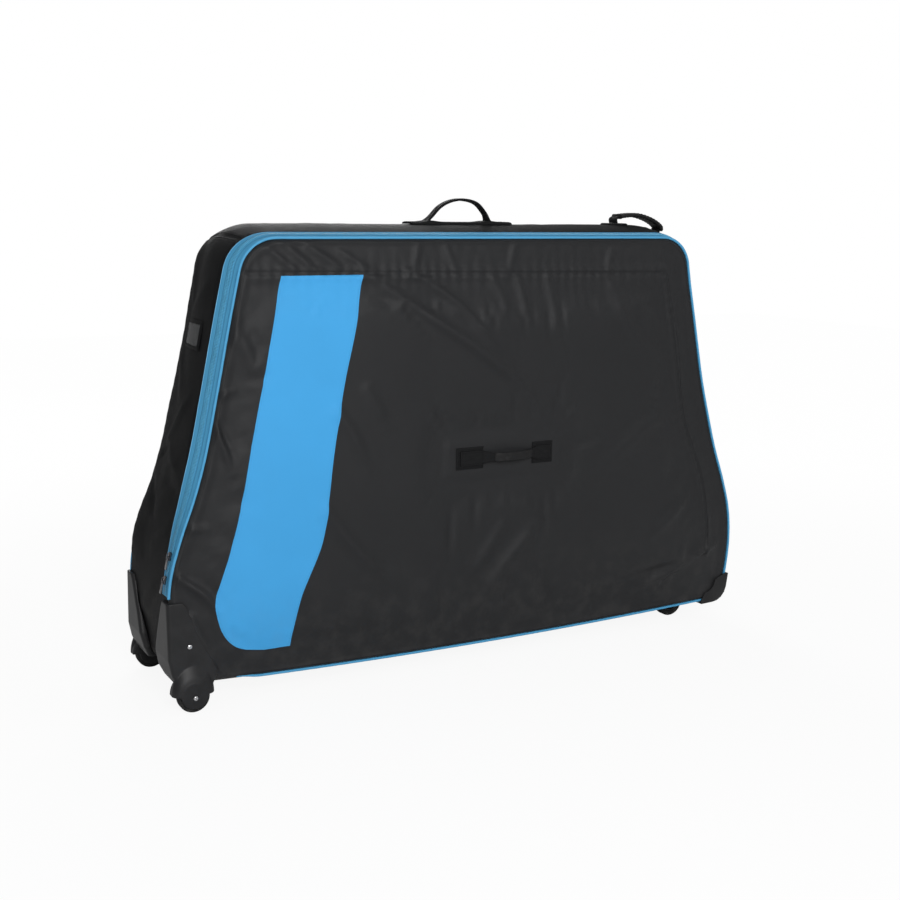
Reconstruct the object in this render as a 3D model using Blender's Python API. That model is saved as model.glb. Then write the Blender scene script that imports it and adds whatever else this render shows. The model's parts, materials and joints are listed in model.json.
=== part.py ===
"""Soft bike travel bag: a padded fabric shell on a stiff base, with an opening flap,
two wheels in corner guards, two swivel casters and an inner stand for the bike.

Metres, +Z up. +X runs along the bag towards the casters and -Y faces the flap.
The origin is on the ground under the middle of the bag.
"""

import math
from collections import namedtuple

import bmesh
import bpy
from mathutils import Matrix, Vector

# Clearances
GAP = 0.0003
SKIN_GAP = 0.0005
CUT_OVERRUN = 0.020

# Sides of round pieces, and the angle past which an edge stays sharp
PIN_SIDES = 16
KINGPIN_SIDES = 24
WHEEL_SIDES = 32
FENDER_SIDES = 40
WELL_STEPS = 24
CORNER_STEPS = 3
SEAT_STEPS = 10
SHARP_ANGLE = math.radians(40)
HEAD_DOME_SHARE = 0.6

# Outline of the bag, seen from the front
HALF_LENGTH = 0.650
BASE_Z = 0.049
TOP_Z = 0.858
BOTTOM_SAG = 0.012
LOWER_CORNER_R = 0.030
UPPER_CORNER_R = 0.072
# Share of the outline's height, then share of the half length
FLANK_SHARES = (
    (0.000, 0.973),
    (0.070, 0.989),
    (0.160, 1.000),
    (0.250, 0.991),
    (0.337, 0.960),
    (0.428, 0.918),
    (0.517, 0.885),
    (0.650, 0.849),
    (0.830, 0.803),
    (1.000, 0.756),
)
BOTTOM_STEPS = 5
LOWER_CORNER_STEPS = 4
FLANK_STEPS = 9
UPPER_CORNER_STEPS = 6
TOP_STEPS = 4

# Panels and gussets
HALF_DEPTH = 0.127
PANEL_T = 0.006
FRONT_CROWN = 0.018
BACK_CROWN = 0.012
CROWN_POWER = 4
PANEL_RING_SHARES = (1.0, 0.93, 0.82, 0.66, 0.40)
GUSSET_T = 0.005
TOP_CROWN = 0.020
END_CROWN = 0.010
CROWN_START_Z = 0.25
CROWN_FULL_Z = 0.45
GUSSET_STEPS = 6
PADDING_T = 0.008
PADDING_RING_SHARES = (0.92, 0.70, 0.40)
PADDING_FOLD_MARGIN = 0.020
BASE_SKIN_T = 0.002
BASE_SKIN_INSET = 0.039
BASE_SKIN_LEFT = HALF_LENGTH - BASE_SKIN_INSET
EDGE_Y = HALF_DEPTH - PANEL_T / 2 - GAP

# Fold line of the flap
FOLD_Z = 0.215
FOLD_PROUD = 0.0198
FOLD_Y = HALF_DEPTH + FOLD_PROUD
ZIP_END_RISE = 0.0015

# Piping and zip
PIPING_R = 0.0027
PIPING_SIDES = 8
PIPING_END_INSET = 0.095
PIPING_LEFT_END = HALF_LENGTH - PIPING_END_INSET
TAPE_W = 0.0105
TAPE_T = 0.0012
COIL_W = 0.0045
COIL_T = 0.0030
STRIP_GAP = 0.0008
SIDE_TILT = math.radians(38)
TOP_TILT = math.radians(16)
SLIDER_HEIGHTS = (0.288, 0.245)
SLIDER_L = 0.015
SLIDER_W = 0.010
SLIDER_T = 0.0035
SLIDER_LIFT = 0.0008
BRIDGE_L = 0.010
BRIDGE_W = 0.0022
BRIDGE_RISE = 0.0030
BRIDGE_T = 0.0012
PULL_L = 0.026
PULL_W = 0.0075
PULL_T = 0.0014
PULL_BAR = 0.0014
PULL_EYE_L = 0.0055
PULL_EYE_W = 0.0034

# Stripe on the front
STRIPE_T = 0.0010
STRIPE_TOP_Z = 0.791
STRIPE_FOOT_Z = 0.0955
STRIPE_MIDDLE_SHARE = -0.534
STRIPE_MIDDLE_X = HALF_LENGTH * STRIPE_MIDDLE_SHARE
STRIPE_WIDTH_SHARE = 0.2615
STRIPE_W = HALF_LENGTH * STRIPE_WIDTH_SHARE
# Share of the stripe's height, then left and right edges as shares of its width
STRIPE_SHARES = (
    (0.000, -0.740, -0.430),
    (0.010, -0.970, -0.428),
    (0.030, -1.110, -0.420),
    (0.065, -1.215, -0.390),
    (0.110, -1.272, -0.345),
    (0.150, -1.290, -0.295),
    (0.280, -1.122, -0.062),
    (0.400, -0.985, 0.020),
    (0.520, -0.885, 0.085),
    (0.720, -0.712, 0.222),
    (0.880, -0.585, 0.367),
    (1.000, -0.485, 0.462),
)
STRIPE_ROWS = 14

# Base
BOARD_T = 0.008
BOARD_INSET = 0.008
BOARD_HALF_W = HALF_DEPTH - BOARD_INSET
BOARD_END_INSET = 0.055
BOARD_LEFT = HALF_LENGTH - BOARD_END_INSET

# Corner guards that carry the wheels
WHEEL_R = 0.030
WHEEL_W = 0.020
HUB_R = 0.0195
AXLE_R = 0.0030
AXLE_HEAD_R = 0.0046
AXLE_HEAD_T = 0.0024
BORE_CLEARANCE = 0.0004
WHEEL_INSET = 0.038
WHEEL_X = HALF_LENGTH - WHEEL_INSET
FENDER_Z = 0.034
FENDER_R = 0.040
FENDER_PROUD = 0.0255
FENDER_FACE_Y = HALF_DEPTH + FENDER_PROUD
OUTER_WALL = 0.0045
INNER_WALL = 0.0040
WHEEL_SIDE_GAP = 0.0012
WHEEL_TOP_GAP = 0.0020
HOOD_DEPTH = 0.020
# The hood over the wheel: share of its depth, then its half width and its height over the
# fender's foot as shares of the fender's radius
HOOD_SHARES = (
    (0.000, 0.6125, 0.6125),
    (0.030, 0.7000, 0.7125),
    (0.125, 0.8125, 0.8625),
    (0.275, 0.9000, 1.0000),
    (0.475, 0.9625, 1.2000),
    (0.675, 1.0000, 1.4000),
    (1.000, 1.0000, 1.5000),
)
HOOD_FOOT = 0.0010
CORE_INSET = 0.0005
CORE_FACE_INSET = 0.0120
PLATE_R = 0.0255
PLATE_PROUD = 0.0008
PLATE_CHAMFER = 0.0010
PLATE_LAP = 0.0020
GUARD_TOP_Z = 0.207
GUARD_FOOT_Z = 0.050
GUARD_W = 0.094
GUARD_DEPTH = 0.100
GUARD_TOP_PROUD = 0.0075
GUARD_FOOT_PROUD = 0.0150
GUARD_TOP_FACE_Y = HALF_DEPTH + GUARD_TOP_PROUD
GUARD_FOOT_FACE_Y = HALF_DEPTH + GUARD_FOOT_PROUD
GUARD_TUCK = 0.016
GUARD_ROUND = 0.007
# Share of the guard's height, of its width, of its depth and of its tuck at the foot
GUARD_SHARES = (
    (0.00, 0.90, 0.92, 1.0),
    (0.13, 1.00, 1.00, 0.4),
    (0.32, 0.88, 0.92, 0.0),
    (0.55, 0.69, 0.77, 0.0),
    (0.92, 0.46, 0.46, 0.0),
    (1.00, 0.38, 0.36, 0.0),
)
WALL_CLEARANCE = 0.0006
RIVET_INSET = 0.034
RIVET_X = HALF_LENGTH - RIVET_INSET
RIVET_Z = 0.124
RIVET_R = 0.0043
RIVET_T = 0.0018

# Corner guards at the caster end
CORNER_GUARD_T = 0.0030
CORNER_GUARD_REACH_X = 0.074
CORNER_GUARD_REACH_Z = 0.055
CORNER_GUARD_DEPTH = 0.034
CORNER_GUARD_STEPS = 4

# Casters and their tray
CASTER_INSET = 0.099
CASTER_X = HALF_LENGTH - CASTER_INSET
CASTER_Y_SHARE = 0.457
CASTER_Y = HALF_DEPTH * CASTER_Y_SHARE
CASTER_TRAIL = 0.012
CASTER_WHEEL_R = 0.0325
CASTER_WHEEL_W = 0.022
FORK_T = 0.003
FORK_SIDE_GAP = 0.0015
FORK_TOP_GAP = 0.0030
FORK_CROWN_T = 0.004
FORK_LEG_HALF_W = 0.009
RACE_R = 0.014
RACE_T = 0.0065
KINGPIN_R = 0.005
KINGPIN_HEAD_R = 0.009
KINGPIN_HEAD_T = 0.003
TRAY_WALL = 0.004
TRAY_CEILING_T = 0.004
TRAY_LEFT_REACH = 0.0535
TRAY_RIGHT_REACH = 0.0525
TRAY_LEFT_X = CASTER_X - TRAY_LEFT_REACH
TRAY_RIGHT_X = CASTER_X + TRAY_RIGHT_REACH
TRAY_SIDE_LIP = 0.0025
TRAY_HALF_W = BOARD_HALF_W - TRAY_SIDE_LIP
FLANGE_REACH = 0.0095

# Handles
HANDLE_W = 0.036
STRAP_T = 0.0028
TOP_BASE_LEFT = -0.107
TOP_BASE_RIGHT = 0.123
TOP_BASE_T = 0.005
TOP_LOOP_LEFT = -0.060
TOP_LOOP_RIGHT = 0.074
TOP_LOOP_H = 0.043
TOP_LOOP_SHARES = (
    (0.00, 0.00),
    (0.03, 0.20),
    (0.20, 0.72),
    (0.38, 0.96),
    (0.55, 1.00),
    (0.78, 0.84),
    (0.95, 0.42),
    (1.00, 0.00),
)
END_FOOT_L = 0.046
END_FOOT_T = 0.003
END_FOOT_SHARE = 0.609
END_FOOT_X = HALF_LENGTH * END_FOOT_SHARE
END_SHOULDER_SHARE = 0.48
END_LOOP_H = 0.036
# Share of the way between the feet, then share of the loop's height above that line
END_LOOP_SHARES = (
    (0.00, 0.00),
    (0.00, 0.40),
    (0.16, 0.76),
    (0.45, 1.19),
    (0.75, 1.22),
    (1.00, 0.90),
    (1.02, 0.42),
    (1.00, 0.00),
)
END_GRIP_SHARES = (0.22, 0.78)
GRIP_WALL = 0.0028
SIDE_HANDLE_Z = 0.428
SIDE_PATCH_H = 0.044
SIDE_PATCH_T = 0.0015
SIDE_PATCHES = ((-0.072, -0.010), (0.104, 0.152))
SIDE_STRAP_W = 0.030
SIDE_STRAP_ENDS = (-0.064, 0.146)
SIDE_STRAP_LIFT = 0.014
SIDE_FLANK_SHARE = 0.25
SIDE_GRIP_SHARES = (0.36, 0.70)
STRAP_STEPS = 16
STRIP_STEPS = 4

# Card pocket on the left end
POCKET_LOW_Z = 0.648
POCKET_HIGH_Z = 0.702
POCKET_HALF_W = 0.054
POCKET_T = 0.0020
WINDOW_MARGIN = 0.008
WINDOW_T = 0.0008

# Inner stand for the bike
RAIL_HALF_W = 0.020
RAIL_H = 0.014
RAIL_WALL = 0.003
RAIL_SHARES = (-0.615, 0.662)
RAIL_LEFT, RAIL_RIGHT = (HALF_LENGTH * share for share in RAIL_SHARES)
SADDLE_L = 0.070
SADDLE_T = 0.005
SADDLE_DROP = 0.009
SADDLE_CLEARANCE = 0.0005
FORK_POST_SHARE = -0.446
FORK_POST_X = HALF_LENGTH * FORK_POST_SHARE
FORK_POST_H = 0.105
FORK_POST_L = 0.020
FORK_POST_W = 0.099
FORK_POST_FRAME = 0.012
FORK_AXLE_R = 0.0045
FORK_AXLE_HALF_L = 0.0565
FORK_AXLE_DROP = 0.014
CRADLE_SHARE = 0.092
CRADLE_X = HALF_LENGTH * CRADLE_SHARE
CRADLE_POST_H = 0.150
CRADLE_POST_L = 0.028
CRADLE_POST_W = 0.030
CRADLE_PAD_L = 0.070
CRADLE_PAD_W = 0.056
CRADLE_PAD_H = 0.034
CRADLE_SEAT_R = 0.022

# Colour, roughness and metallic value
FABRIC = ((0.030, 0.030, 0.032), 0.70, 0.0)
DARK_FABRIC = ((0.012, 0.012, 0.013), 0.75, 0.0)
BLUE = ((0.075, 0.370, 0.740), 0.55, 0.0)
BLUE_TEETH = ((0.050, 0.240, 0.480), 0.45, 0.0)
LINING = ((0.050, 0.050, 0.055), 0.85, 0.0)
PLASTIC = ((0.020, 0.020, 0.021), 0.38, 0.0)
RUBBER = ((0.012, 0.012, 0.012), 0.60, 0.0)
STEEL = ((0.600, 0.600, 0.610), 0.28, 1.0)
ALUMINIUM = ((0.520, 0.530, 0.540), 0.38, 1.0)
CLEAR = ((0.300, 0.310, 0.320), 0.20, 0.0)

Place = namedtuple("Place", "point normal")


def clear_scene():
    for obj in list(bpy.data.objects):
        bpy.data.objects.remove(obj, do_unlink=True)


def make_finish(name, finish):
    """A material of its own for one piece."""
    colour, roughness, metallic = finish
    material = bpy.data.materials.new(name)
    material.use_nodes = True
    shader = material.node_tree.nodes["Principled BSDF"]
    shader.inputs["Base Color"].default_value = (*colour, 1.0)
    shader.inputs["Roughness"].default_value = roughness
    shader.inputs["Metallic"].default_value = metallic
    return material


def make_object(name, mesh_data, finish, origin=(0.0, 0.0, 0.0), smooth=False):
    """Turn a bmesh into an object whose own origin lies at the given point."""
    bmesh.ops.recalc_face_normals(mesh_data, faces=mesh_data.faces)
    bmesh.ops.translate(mesh_data, vec=-Vector(origin), verts=mesh_data.verts)
    mesh = bpy.data.meshes.new(name)
    mesh_data.to_mesh(mesh)
    mesh_data.free()
    if smooth:
        mesh.shade_smooth()
        mesh.set_sharp_from_angle(angle=SHARP_ANGLE)
    if finish:
        mesh.materials.append(make_finish(name, finish))
    obj = bpy.data.objects.new(name, mesh)
    obj.location = origin
    bpy.context.scene.collection.objects.link(obj)
    return obj


def make_pivot(name, place):
    """An empty on a joint's axis, which carries the pieces that move together."""
    pivot = bpy.data.objects.new(name, None)
    pivot.location = place
    bpy.context.scene.collection.objects.link(pivot)
    return pivot


def hang_on(pivot, pieces):
    for piece in pieces:
        piece.parent = pivot
        piece.matrix_parent_inverse = Matrix.Translation(-pivot.location)


def apply_boolean(obj, other, operation):
    """Add a Boolean with another object, which then only serves as a guide."""
    modifier = obj.modifiers.new(f"{operation.title()} {other.name}", "BOOLEAN")
    modifier.operation = operation
    modifier.object = other
    other.hide_render = True
    other.display_type = "WIRE"


def join_rings(mesh_data, rings, closed_path=False):
    """Faces between rings of equal count, with flat ends unless the path closes."""
    count = len(rings[0])
    pairs = list(zip(rings, rings[1:]))
    if closed_path:
        pairs.append((rings[-1], rings[0]))
    for first, second in pairs:
        for i in range(count):
            j = (i + 1) % count
            mesh_data.faces.new((first[i], first[j], second[j], second[i]))
    if not closed_path:
        mesh_data.faces.new(rings[0])
        mesh_data.faces.new(rings[-1])


def loft(name, rings, finish, origin=(0.0, 0.0, 0.0), closed_path=False, smooth=False):
    """A solid through rings of points."""
    mesh_data = bmesh.new()
    made = [[mesh_data.verts.new(point) for point in ring] for ring in rings]
    join_rings(mesh_data, made, closed_path)
    return make_object(name, mesh_data, finish, origin, smooth)


def loft_sleeve(name, outer_rings, inner_rings, finish):
    """A tube with open ends between an outer and an inner set of rings."""
    mesh_data = bmesh.new()
    outer = [[mesh_data.verts.new(point) for point in ring] for ring in outer_rings]
    inner = [[mesh_data.verts.new(point) for point in ring] for ring in inner_rings]
    count = len(outer[0])
    for rings in (outer, inner):
        for first, second in zip(rings, rings[1:]):
            for i in range(count):
                j = (i + 1) % count
                mesh_data.faces.new((first[i], first[j], second[j], second[i]))
    for end in (0, -1):
        for i in range(count):
            j = (i + 1) % count
            mesh_data.faces.new((outer[end][i], outer[end][j], inner[end][j], inner[end][i]))
    return make_object(name, mesh_data, finish)


def extrude_outline(name, points, axis, low, high, finish, origin=(0.0, 0.0, 0.0)):
    """A prism: points in the plane across the axis, carried from low to high along it."""
    others = [i for i in range(3) if i != axis]
    rings = []
    for level in (low, high):
        ring = []
        for point in points:
            place = [0.0, 0.0, 0.0]
            place[axis] = level
            place[others[0]], place[others[1]] = point
            ring.append(place)
        rings.append(ring)
    return loft(name, rings, finish, origin)


def box(name, low, high, finish, origin=(0.0, 0.0, 0.0)):
    corners = ((low[0], low[1]), (high[0], low[1]), (high[0], high[1]), (low[0], high[1]))
    return extrude_outline(name, corners, 2, low[2], high[2], finish, origin)


def circle_points(centre, radius, sides):
    """Points round a circle, one of them straight below the centre."""
    return [
        (
            centre[0] + radius * math.sin(2 * math.pi * i / sides),
            centre[1] - radius * math.cos(2 * math.pi * i / sides),
        )
        for i in range(sides)
    ]


def turn(name, profile, centre, axis, sides, finish, ring=False, smooth=True):
    """Turn a profile of (radius, distance along the axis) pairs about an axis at a centre."""
    mesh_data = bmesh.new()
    others = [i for i in range(3) if i != axis]
    rings = []
    for radius, along in profile:
        if radius == 0.0:
            place = Vector(centre)
            place[axis] += along
            rings.append([mesh_data.verts.new(place)])
            continue
        points = []
        for u, v in circle_points((0.0, 0.0), radius, sides):
            place = Vector(centre)
            place[axis] += along
            place[others[0]] += u
            place[others[1]] += v
            points.append(mesh_data.verts.new(place))
        rings.append(points)
    pairs = list(zip(rings, rings[1:]))
    if ring:
        pairs.append((rings[-1], rings[0]))
    for first, second in pairs:
        for i in range(sides):
            j = (i + 1) % sides
            if len(first) == 1:
                mesh_data.faces.new((first[0], second[j], second[i]))
            elif len(second) == 1:
                mesh_data.faces.new((first[i], first[j], second[0]))
            else:
                mesh_data.faces.new((first[i], first[j], second[j], second[i]))
    return make_object(name, mesh_data, finish, centre, smooth)


def mix(a, b, share):
    return a + (b - a) * share


def bow(share):
    """A bow that is nothing at both ends and one in the middle."""
    return 4 * share * (1 - share)


def smooth_step(low, high, value):
    share = min(max((value - low) / (high - low), 0.0), 1.0)
    return share * share * (3 - 2 * share)


def smooth_table(table, key, column=1):
    """Value at key of the smooth curve through a table's points."""
    count = len(table)
    i = max(k for k in range(count - 1) if k == 0 or table[k][0] <= key)
    width = table[i + 1][0] - table[i][0]

    def slope(k):
        low, high = max(k - 1, 0), min(k + 1, count - 1)
        return (table[high][column] - table[low][column]) / (table[high][0] - table[low][0])

    t = min(max((key - table[i][0]) / width, 0.0), 1.0)
    start, end = table[i][column], table[i + 1][column]
    return (
        (2 * t**3 - 3 * t**2 + 1) * start
        + (t**3 - 2 * t**2 + t) * width * slope(i)
        + (3 * t**2 - 2 * t**3) * end
        + (t**3 - t**2) * width * slope(i + 1)
    )


def smooth_path(points, steps):
    """A smooth run of points through the given ones, ends included."""
    path = [Vector(point) for point in points]
    run = []
    spans = len(path) - 1
    for k in range(steps + 1):
        place = k * spans / steps
        i = min(int(place), spans - 1)
        t = place - i
        before, after = path[max(i - 1, 0)], path[min(i + 2, spans)]
        start, end = path[i], path[i + 1]
        run.append(
            (2 * t**3 - 3 * t**2 + 1) * start
            + (t**3 - 2 * t**2 + t) * (end - before) / 2
            + (3 * t**2 - 2 * t**3) * end
            + (t**3 - t**2) * (after - start) / 2
        )
    return run


def fillet(before, corner, after, radius, steps):
    """Points of the arc that rounds a corner between two straight runs."""
    first = (before - corner).normalized()
    second = (after - corner).normalized()
    half = first.angle(second) / 2
    centre = corner + (first + second).normalized() * radius / math.sin(half)
    start = corner + first * radius / math.tan(half) - centre
    end = corner + second * radius / math.tan(half) - centre
    angles = [math.atan2(arm.y, arm.x) for arm in (start, end)]
    if angles[1] < angles[0]:
        angles[1] += 2 * math.pi
    points = []
    for i in range(steps + 1):
        angle = mix(*angles, i / steps)
        points.append(centre + radius * Vector((math.cos(angle), math.sin(angle))))
    return points


def flank_point(z):
    share = (z - BASE_Z) / (TOP_Z - BASE_Z)
    return Vector((HALF_LENGTH * smooth_table(FLANK_SHARES, share), z))


class Outline:
    """The closed outline in the XZ plane, from the bottom middle round by the right."""

    def __init__(self):
        half, self.shoulder_index = self.half_points()
        self.points = half + [Vector((-p.x, p.y)) for p in reversed(half[1:-1])]
        self.lengths = [0.0]
        for a, b in zip(self.points, self.points[1:]):
            self.lengths.append(self.lengths[-1] + (b - a).length)
        self.perimeter = self.lengths[-1] + (self.points[0] - self.points[-1]).length
        count = len(self.points)
        self.normals = []
        for i in range(count):
            along = (self.points[(i + 1) % count] - self.points[i - 1]).normalized()
            self.normals.append(Vector((along.y, -along.x)))

    @staticmethod
    def half_points():
        low_arc = fillet(
            Vector((0.0, BASE_Z)), flank_point(BASE_Z), flank_point(BASE_Z + 2 * LOWER_CORNER_R),
            LOWER_CORNER_R, LOWER_CORNER_STEPS,
        )
        high_arc = fillet(
            flank_point(TOP_Z - UPPER_CORNER_R), flank_point(TOP_Z), Vector((0.0, TOP_Z)),
            UPPER_CORNER_R, UPPER_CORNER_STEPS,
        )
        points = []
        for i in range(BOTTOM_STEPS):
            share = i / BOTTOM_STEPS
            points.append(Vector((low_arc[0].x * share, BASE_Z - BOTTOM_SAG * (1 - share**2))))
        points += low_arc
        for i in range(1, FLANK_STEPS):
            points.append(flank_point(mix(low_arc[-1].y, high_arc[0].y, i / FLANK_STEPS)))
        shoulder = len(points) + UPPER_CORNER_STEPS // 2
        points += high_arc
        for i in range(1, TOP_STEPS + 1):
            points.append(Vector((high_arc[-1].x * (1 - i / TOP_STEPS), TOP_Z)))
        return points, shoulder

    def at(self, length):
        """The place at a running length, which may pass either end of the loop."""
        length %= self.perimeter
        i = max(k for k, value in enumerate(self.lengths) if value <= length)
        j = (i + 1) % len(self.points)
        end = self.lengths[j] if j else self.perimeter
        share = (length - self.lengths[i]) / (end - self.lengths[i])
        normal = self.normals[i].lerp(self.normals[j], share).normalized()
        return Place(self.points[i].lerp(self.points[j], share), normal)

    def crossing(self, axis, value, after=0.0):
        """The first running length past a start at which a coordinate takes a value."""
        ends = self.lengths[1:] + [self.perimeter]
        for i, (start, end) in enumerate(zip(self.lengths, ends)):
            a, b = self.points[i][axis], self.points[(i + 1) % len(self.points)][axis]
            if start >= after and a != b and (a - value) * (b - value) <= 0:
                return start + (end - start) * (value - a) / (b - a)
        raise ValueError("the outline never takes that value")

    def run(self, start, end, *extra):
        """Places from start to end: both ends, the outline's own points and any extra ones."""
        turns = (-self.perimeter, 0.0, self.perimeter)
        own = [length + turn_length for turn_length in turns for length in self.lengths]
        inner = [v for v in [*own, *extra] if start + GAP < v < end - GAP]
        return [self.at(length) for length in sorted([start, *inner, end])]

    def edge_share(self, x, z):
        """How far a point lies from the outline's centre, as a share of the way to its edge."""
        centre = outline_centre()
        arm = Vector((x, z)) - centre
        if arm.length < GAP:
            return 0.0
        for i, a in enumerate(self.points):
            b = self.points[(i + 1) % len(self.points)]
            side = b - a
            cross = arm.x * side.y - arm.y * side.x
            if cross == 0:
                continue
            reach = ((a - centre).x * side.y - (a - centre).y * side.x) / cross
            along = ((a - centre).x * arm.y - (a - centre).y * arm.x) / cross
            if reach > 0 and -GAP <= along <= 1 + GAP:
                return 1 / reach
        raise ValueError("the point's ray misses the outline")


def outline_centre():
    return Vector((0.0, (BASE_Z + TOP_Z) / 2))


def top_share(place):
    """Near one on the top of the outline, near nothing on its ends."""
    return max(place.normal.y, 0.0) ** 2


def end_share(place):
    """Grows from nothing at the wheels to one higher up."""
    return smooth_step(CROWN_START_Z, CROWN_FULL_Z, place.point.y)


def zip_tilt(place):
    share = top_share(place)
    return mix(SIDE_TILT * end_share(place), TOP_TILT, share)


def zip_point(place, along, rise):
    """A point of the zip band: along its width from the piping, and out from its inner face."""
    tilt = zip_tilt(place)
    return (
        along * math.sin(tilt) + rise * math.cos(tilt),
        -EDGE_Y + along * math.cos(tilt) - rise * math.sin(tilt),
    )


def zip_width():
    return 2 * (TAPE_W + COIL_W) + 4 * STRIP_GAP


def gusset_front(place):
    """Where the gusset's outer face begins: behind the zip, or at the piping below the fold."""
    if place.point.y > FOLD_Z + GAP / 2:
        return zip_point(place, zip_width(), 0.0)
    return 0.0, -EDGE_Y


def gusset_out(place, y):
    """How far the gusset's outer face stands out of the outline at a depth y."""
    front_out, front_y = gusset_front(place)
    share = (y - front_y) / (EDGE_Y - front_y)
    crown = mix(END_CROWN * end_share(place), TOP_CROWN, top_share(place))
    return front_out * (1 - share) + crown * bow(share)


def world(place, out, y):
    spot = place.point + place.normal * out
    return Vector((spot.x, y, spot.y))


def sweep(name, places, section, finish, smooth=False):
    """Carry a section of (out, y) points along places of the outline."""
    rings = [[world(place, out, y) for out, y in section(place)] for place in places]
    return loft(name, rings, finish, smooth=smooth)


def panel_face(side, crown, share):
    """Depth of a panel's outer face at a share of the way to its edge."""
    return side * (HALF_DEPTH + PANEL_T / 2 + crown * (1 - share**CROWN_POWER))


def panel_rings(outline, side, crown, shares, depth_in, inset, every=1):
    """Rings of one face of a crowned panel, from its edge to its middle."""
    centre = outline_centre()
    rings = []
    for share in shares:
        y = panel_face(side, crown, share) - side * depth_in
        ring = []
        for i in range(0, len(outline.points), every):
            edge = outline.points[i] - outline.normals[i] * inset
            spot = centre + (edge - centre) * share
            ring.append(Vector((spot.x, y, spot.y)))
        rings.append(ring)
    middle = Vector((centre.x, panel_face(side, crown, 0.0) - side * depth_in, centre.y))
    return rings, middle


def crowned_panel(outline, side, crown, shares, depth_out, depth_in, inset=GAP, every=1):
    """A crowned plate between two depths under a panel's outer face."""
    mesh_data = bmesh.new()
    faces = []
    for depth in (depth_out, depth_in):
        rings, middle = panel_rings(outline, side, crown, shares, depth, inset, every)
        made = [[mesh_data.verts.new(point) for point in ring] for ring in rings]
        pole = mesh_data.verts.new(middle)
        faces.append(made)
        count = len(made[0])
        for i in range(count):
            j = (i + 1) % count
            for first, second in zip(made, made[1:]):
                mesh_data.faces.new((first[i], first[j], second[j], second[i]))
            mesh_data.faces.new((made[-1][i], made[-1][j], pole))
    outer, inner = faces[0][0], faces[1][0]
    for i in range(len(outer)):
        j = (i + 1) % len(outer)
        mesh_data.faces.new((outer[i], outer[j], inner[j], inner[i]))
    return mesh_data


def keep_side(mesh_data, height, above):
    """Cut a solid level at a height and close it, keeping one side."""
    direction = 1.0 if above else -1.0
    geometry = mesh_data.verts[:] + mesh_data.edges[:] + mesh_data.faces[:]
    bmesh.ops.bisect_plane(
        mesh_data, geom=geometry, plane_co=(0.0, 0.0, height), plane_no=(0.0, 0.0, direction),
        clear_inner=True,
    )
    rim = [edge for edge in mesh_data.edges if edge.is_boundary]
    bmesh.ops.contextual_create(mesh_data, geom=rim)
    return mesh_data


def arch(centre_x, centre_z, radius, foot_z):
    """A round-topped upright shape in the XZ plane."""
    points = [(centre_x + radius, foot_z)]
    for i in range(WELL_STEPS + 1):
        angle = math.pi * i / WELL_STEPS
        points.append((centre_x + radius * math.cos(angle), centre_z + radius * math.sin(angle)))
    points.append((centre_x - radius, foot_z))
    return points


def fender_inner_y():
    return FENDER_FACE_Y - OUTER_WALL - 2 * WHEEL_SIDE_GAP - WHEEL_W - INNER_WALL


def side_span(side, inner, outer):
    """A span of depths on the front (side -1) or back (side 1), lowest first."""
    return sorted((side * inner, side * outer))


def fender_clearances():
    """The space that the two wheel housings need in the bag's corners."""
    cutters = {}
    for side in (-1, 1):
        cutters[side] = extrude_outline(
            f"fender_clearance_{side_name(side)}",
            arch(-WHEEL_X, FENDER_Z, FENDER_R + WALL_CLEARANCE, -CUT_OVERRUN),
            1,
            *side_span(side, fender_inner_y() - WALL_CLEARANCE, FENDER_FACE_Y + CUT_OVERRUN),
            None,
        )
    return cutters


def side_name(side):
    return "front" if side < 0 else "rear"


def build_panels(outline, clearances):
    """The back, the fixed strip of the front and the flap, with their padding."""
    back = make_object(
        "back_panel", crowned_panel(outline, 1, BACK_CROWN, PANEL_RING_SHARES, 0.0, PANEL_T), FABRIC
    )
    apply_boolean(back, clearances[1], "DIFFERENCE")
    whole = crowned_panel(outline, -1, FRONT_CROWN, PANEL_RING_SHARES, 0.0, PANEL_T)
    upper = whole.copy()
    flap = make_object("flap_panel", keep_side(upper, FOLD_Z + GAP, True), FABRIC)
    strip = make_object("front_lower_panel", keep_side(whole, FOLD_Z - GAP, False), FABRIC)
    apply_boolean(strip, clearances[-1], "DIFFERENCE")
    depths = (PANEL_T + SKIN_GAP, PANEL_T + SKIN_GAP + PADDING_T)
    padding = crowned_panel(outline, 1, BACK_CROWN, PADDING_RING_SHARES, *depths, every=2)
    make_object("back_padding", padding, LINING)
    padding = crowned_panel(outline, -1, FRONT_CROWN, PADDING_RING_SHARES, *depths, every=2)
    flap_padding = make_object(
        "flap_padding", keep_side(padding, FOLD_Z + PADDING_FOLD_MARGIN, True), LINING
    )
    return [flap, flap_padding]


def gusset_section(place):
    """The section of a gusset: its outer face from front to back, then its inner face."""
    front_y = gusset_front(place)[1]
    depths = [mix(front_y, EDGE_Y, i / GUSSET_STEPS) for i in range(GUSSET_STEPS + 1)]
    outer = [(gusset_out(place, y), y) for y in depths]
    inner = [(out - GUSSET_T, y) for out, y in reversed(outer)]
    return outer + inner


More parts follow.
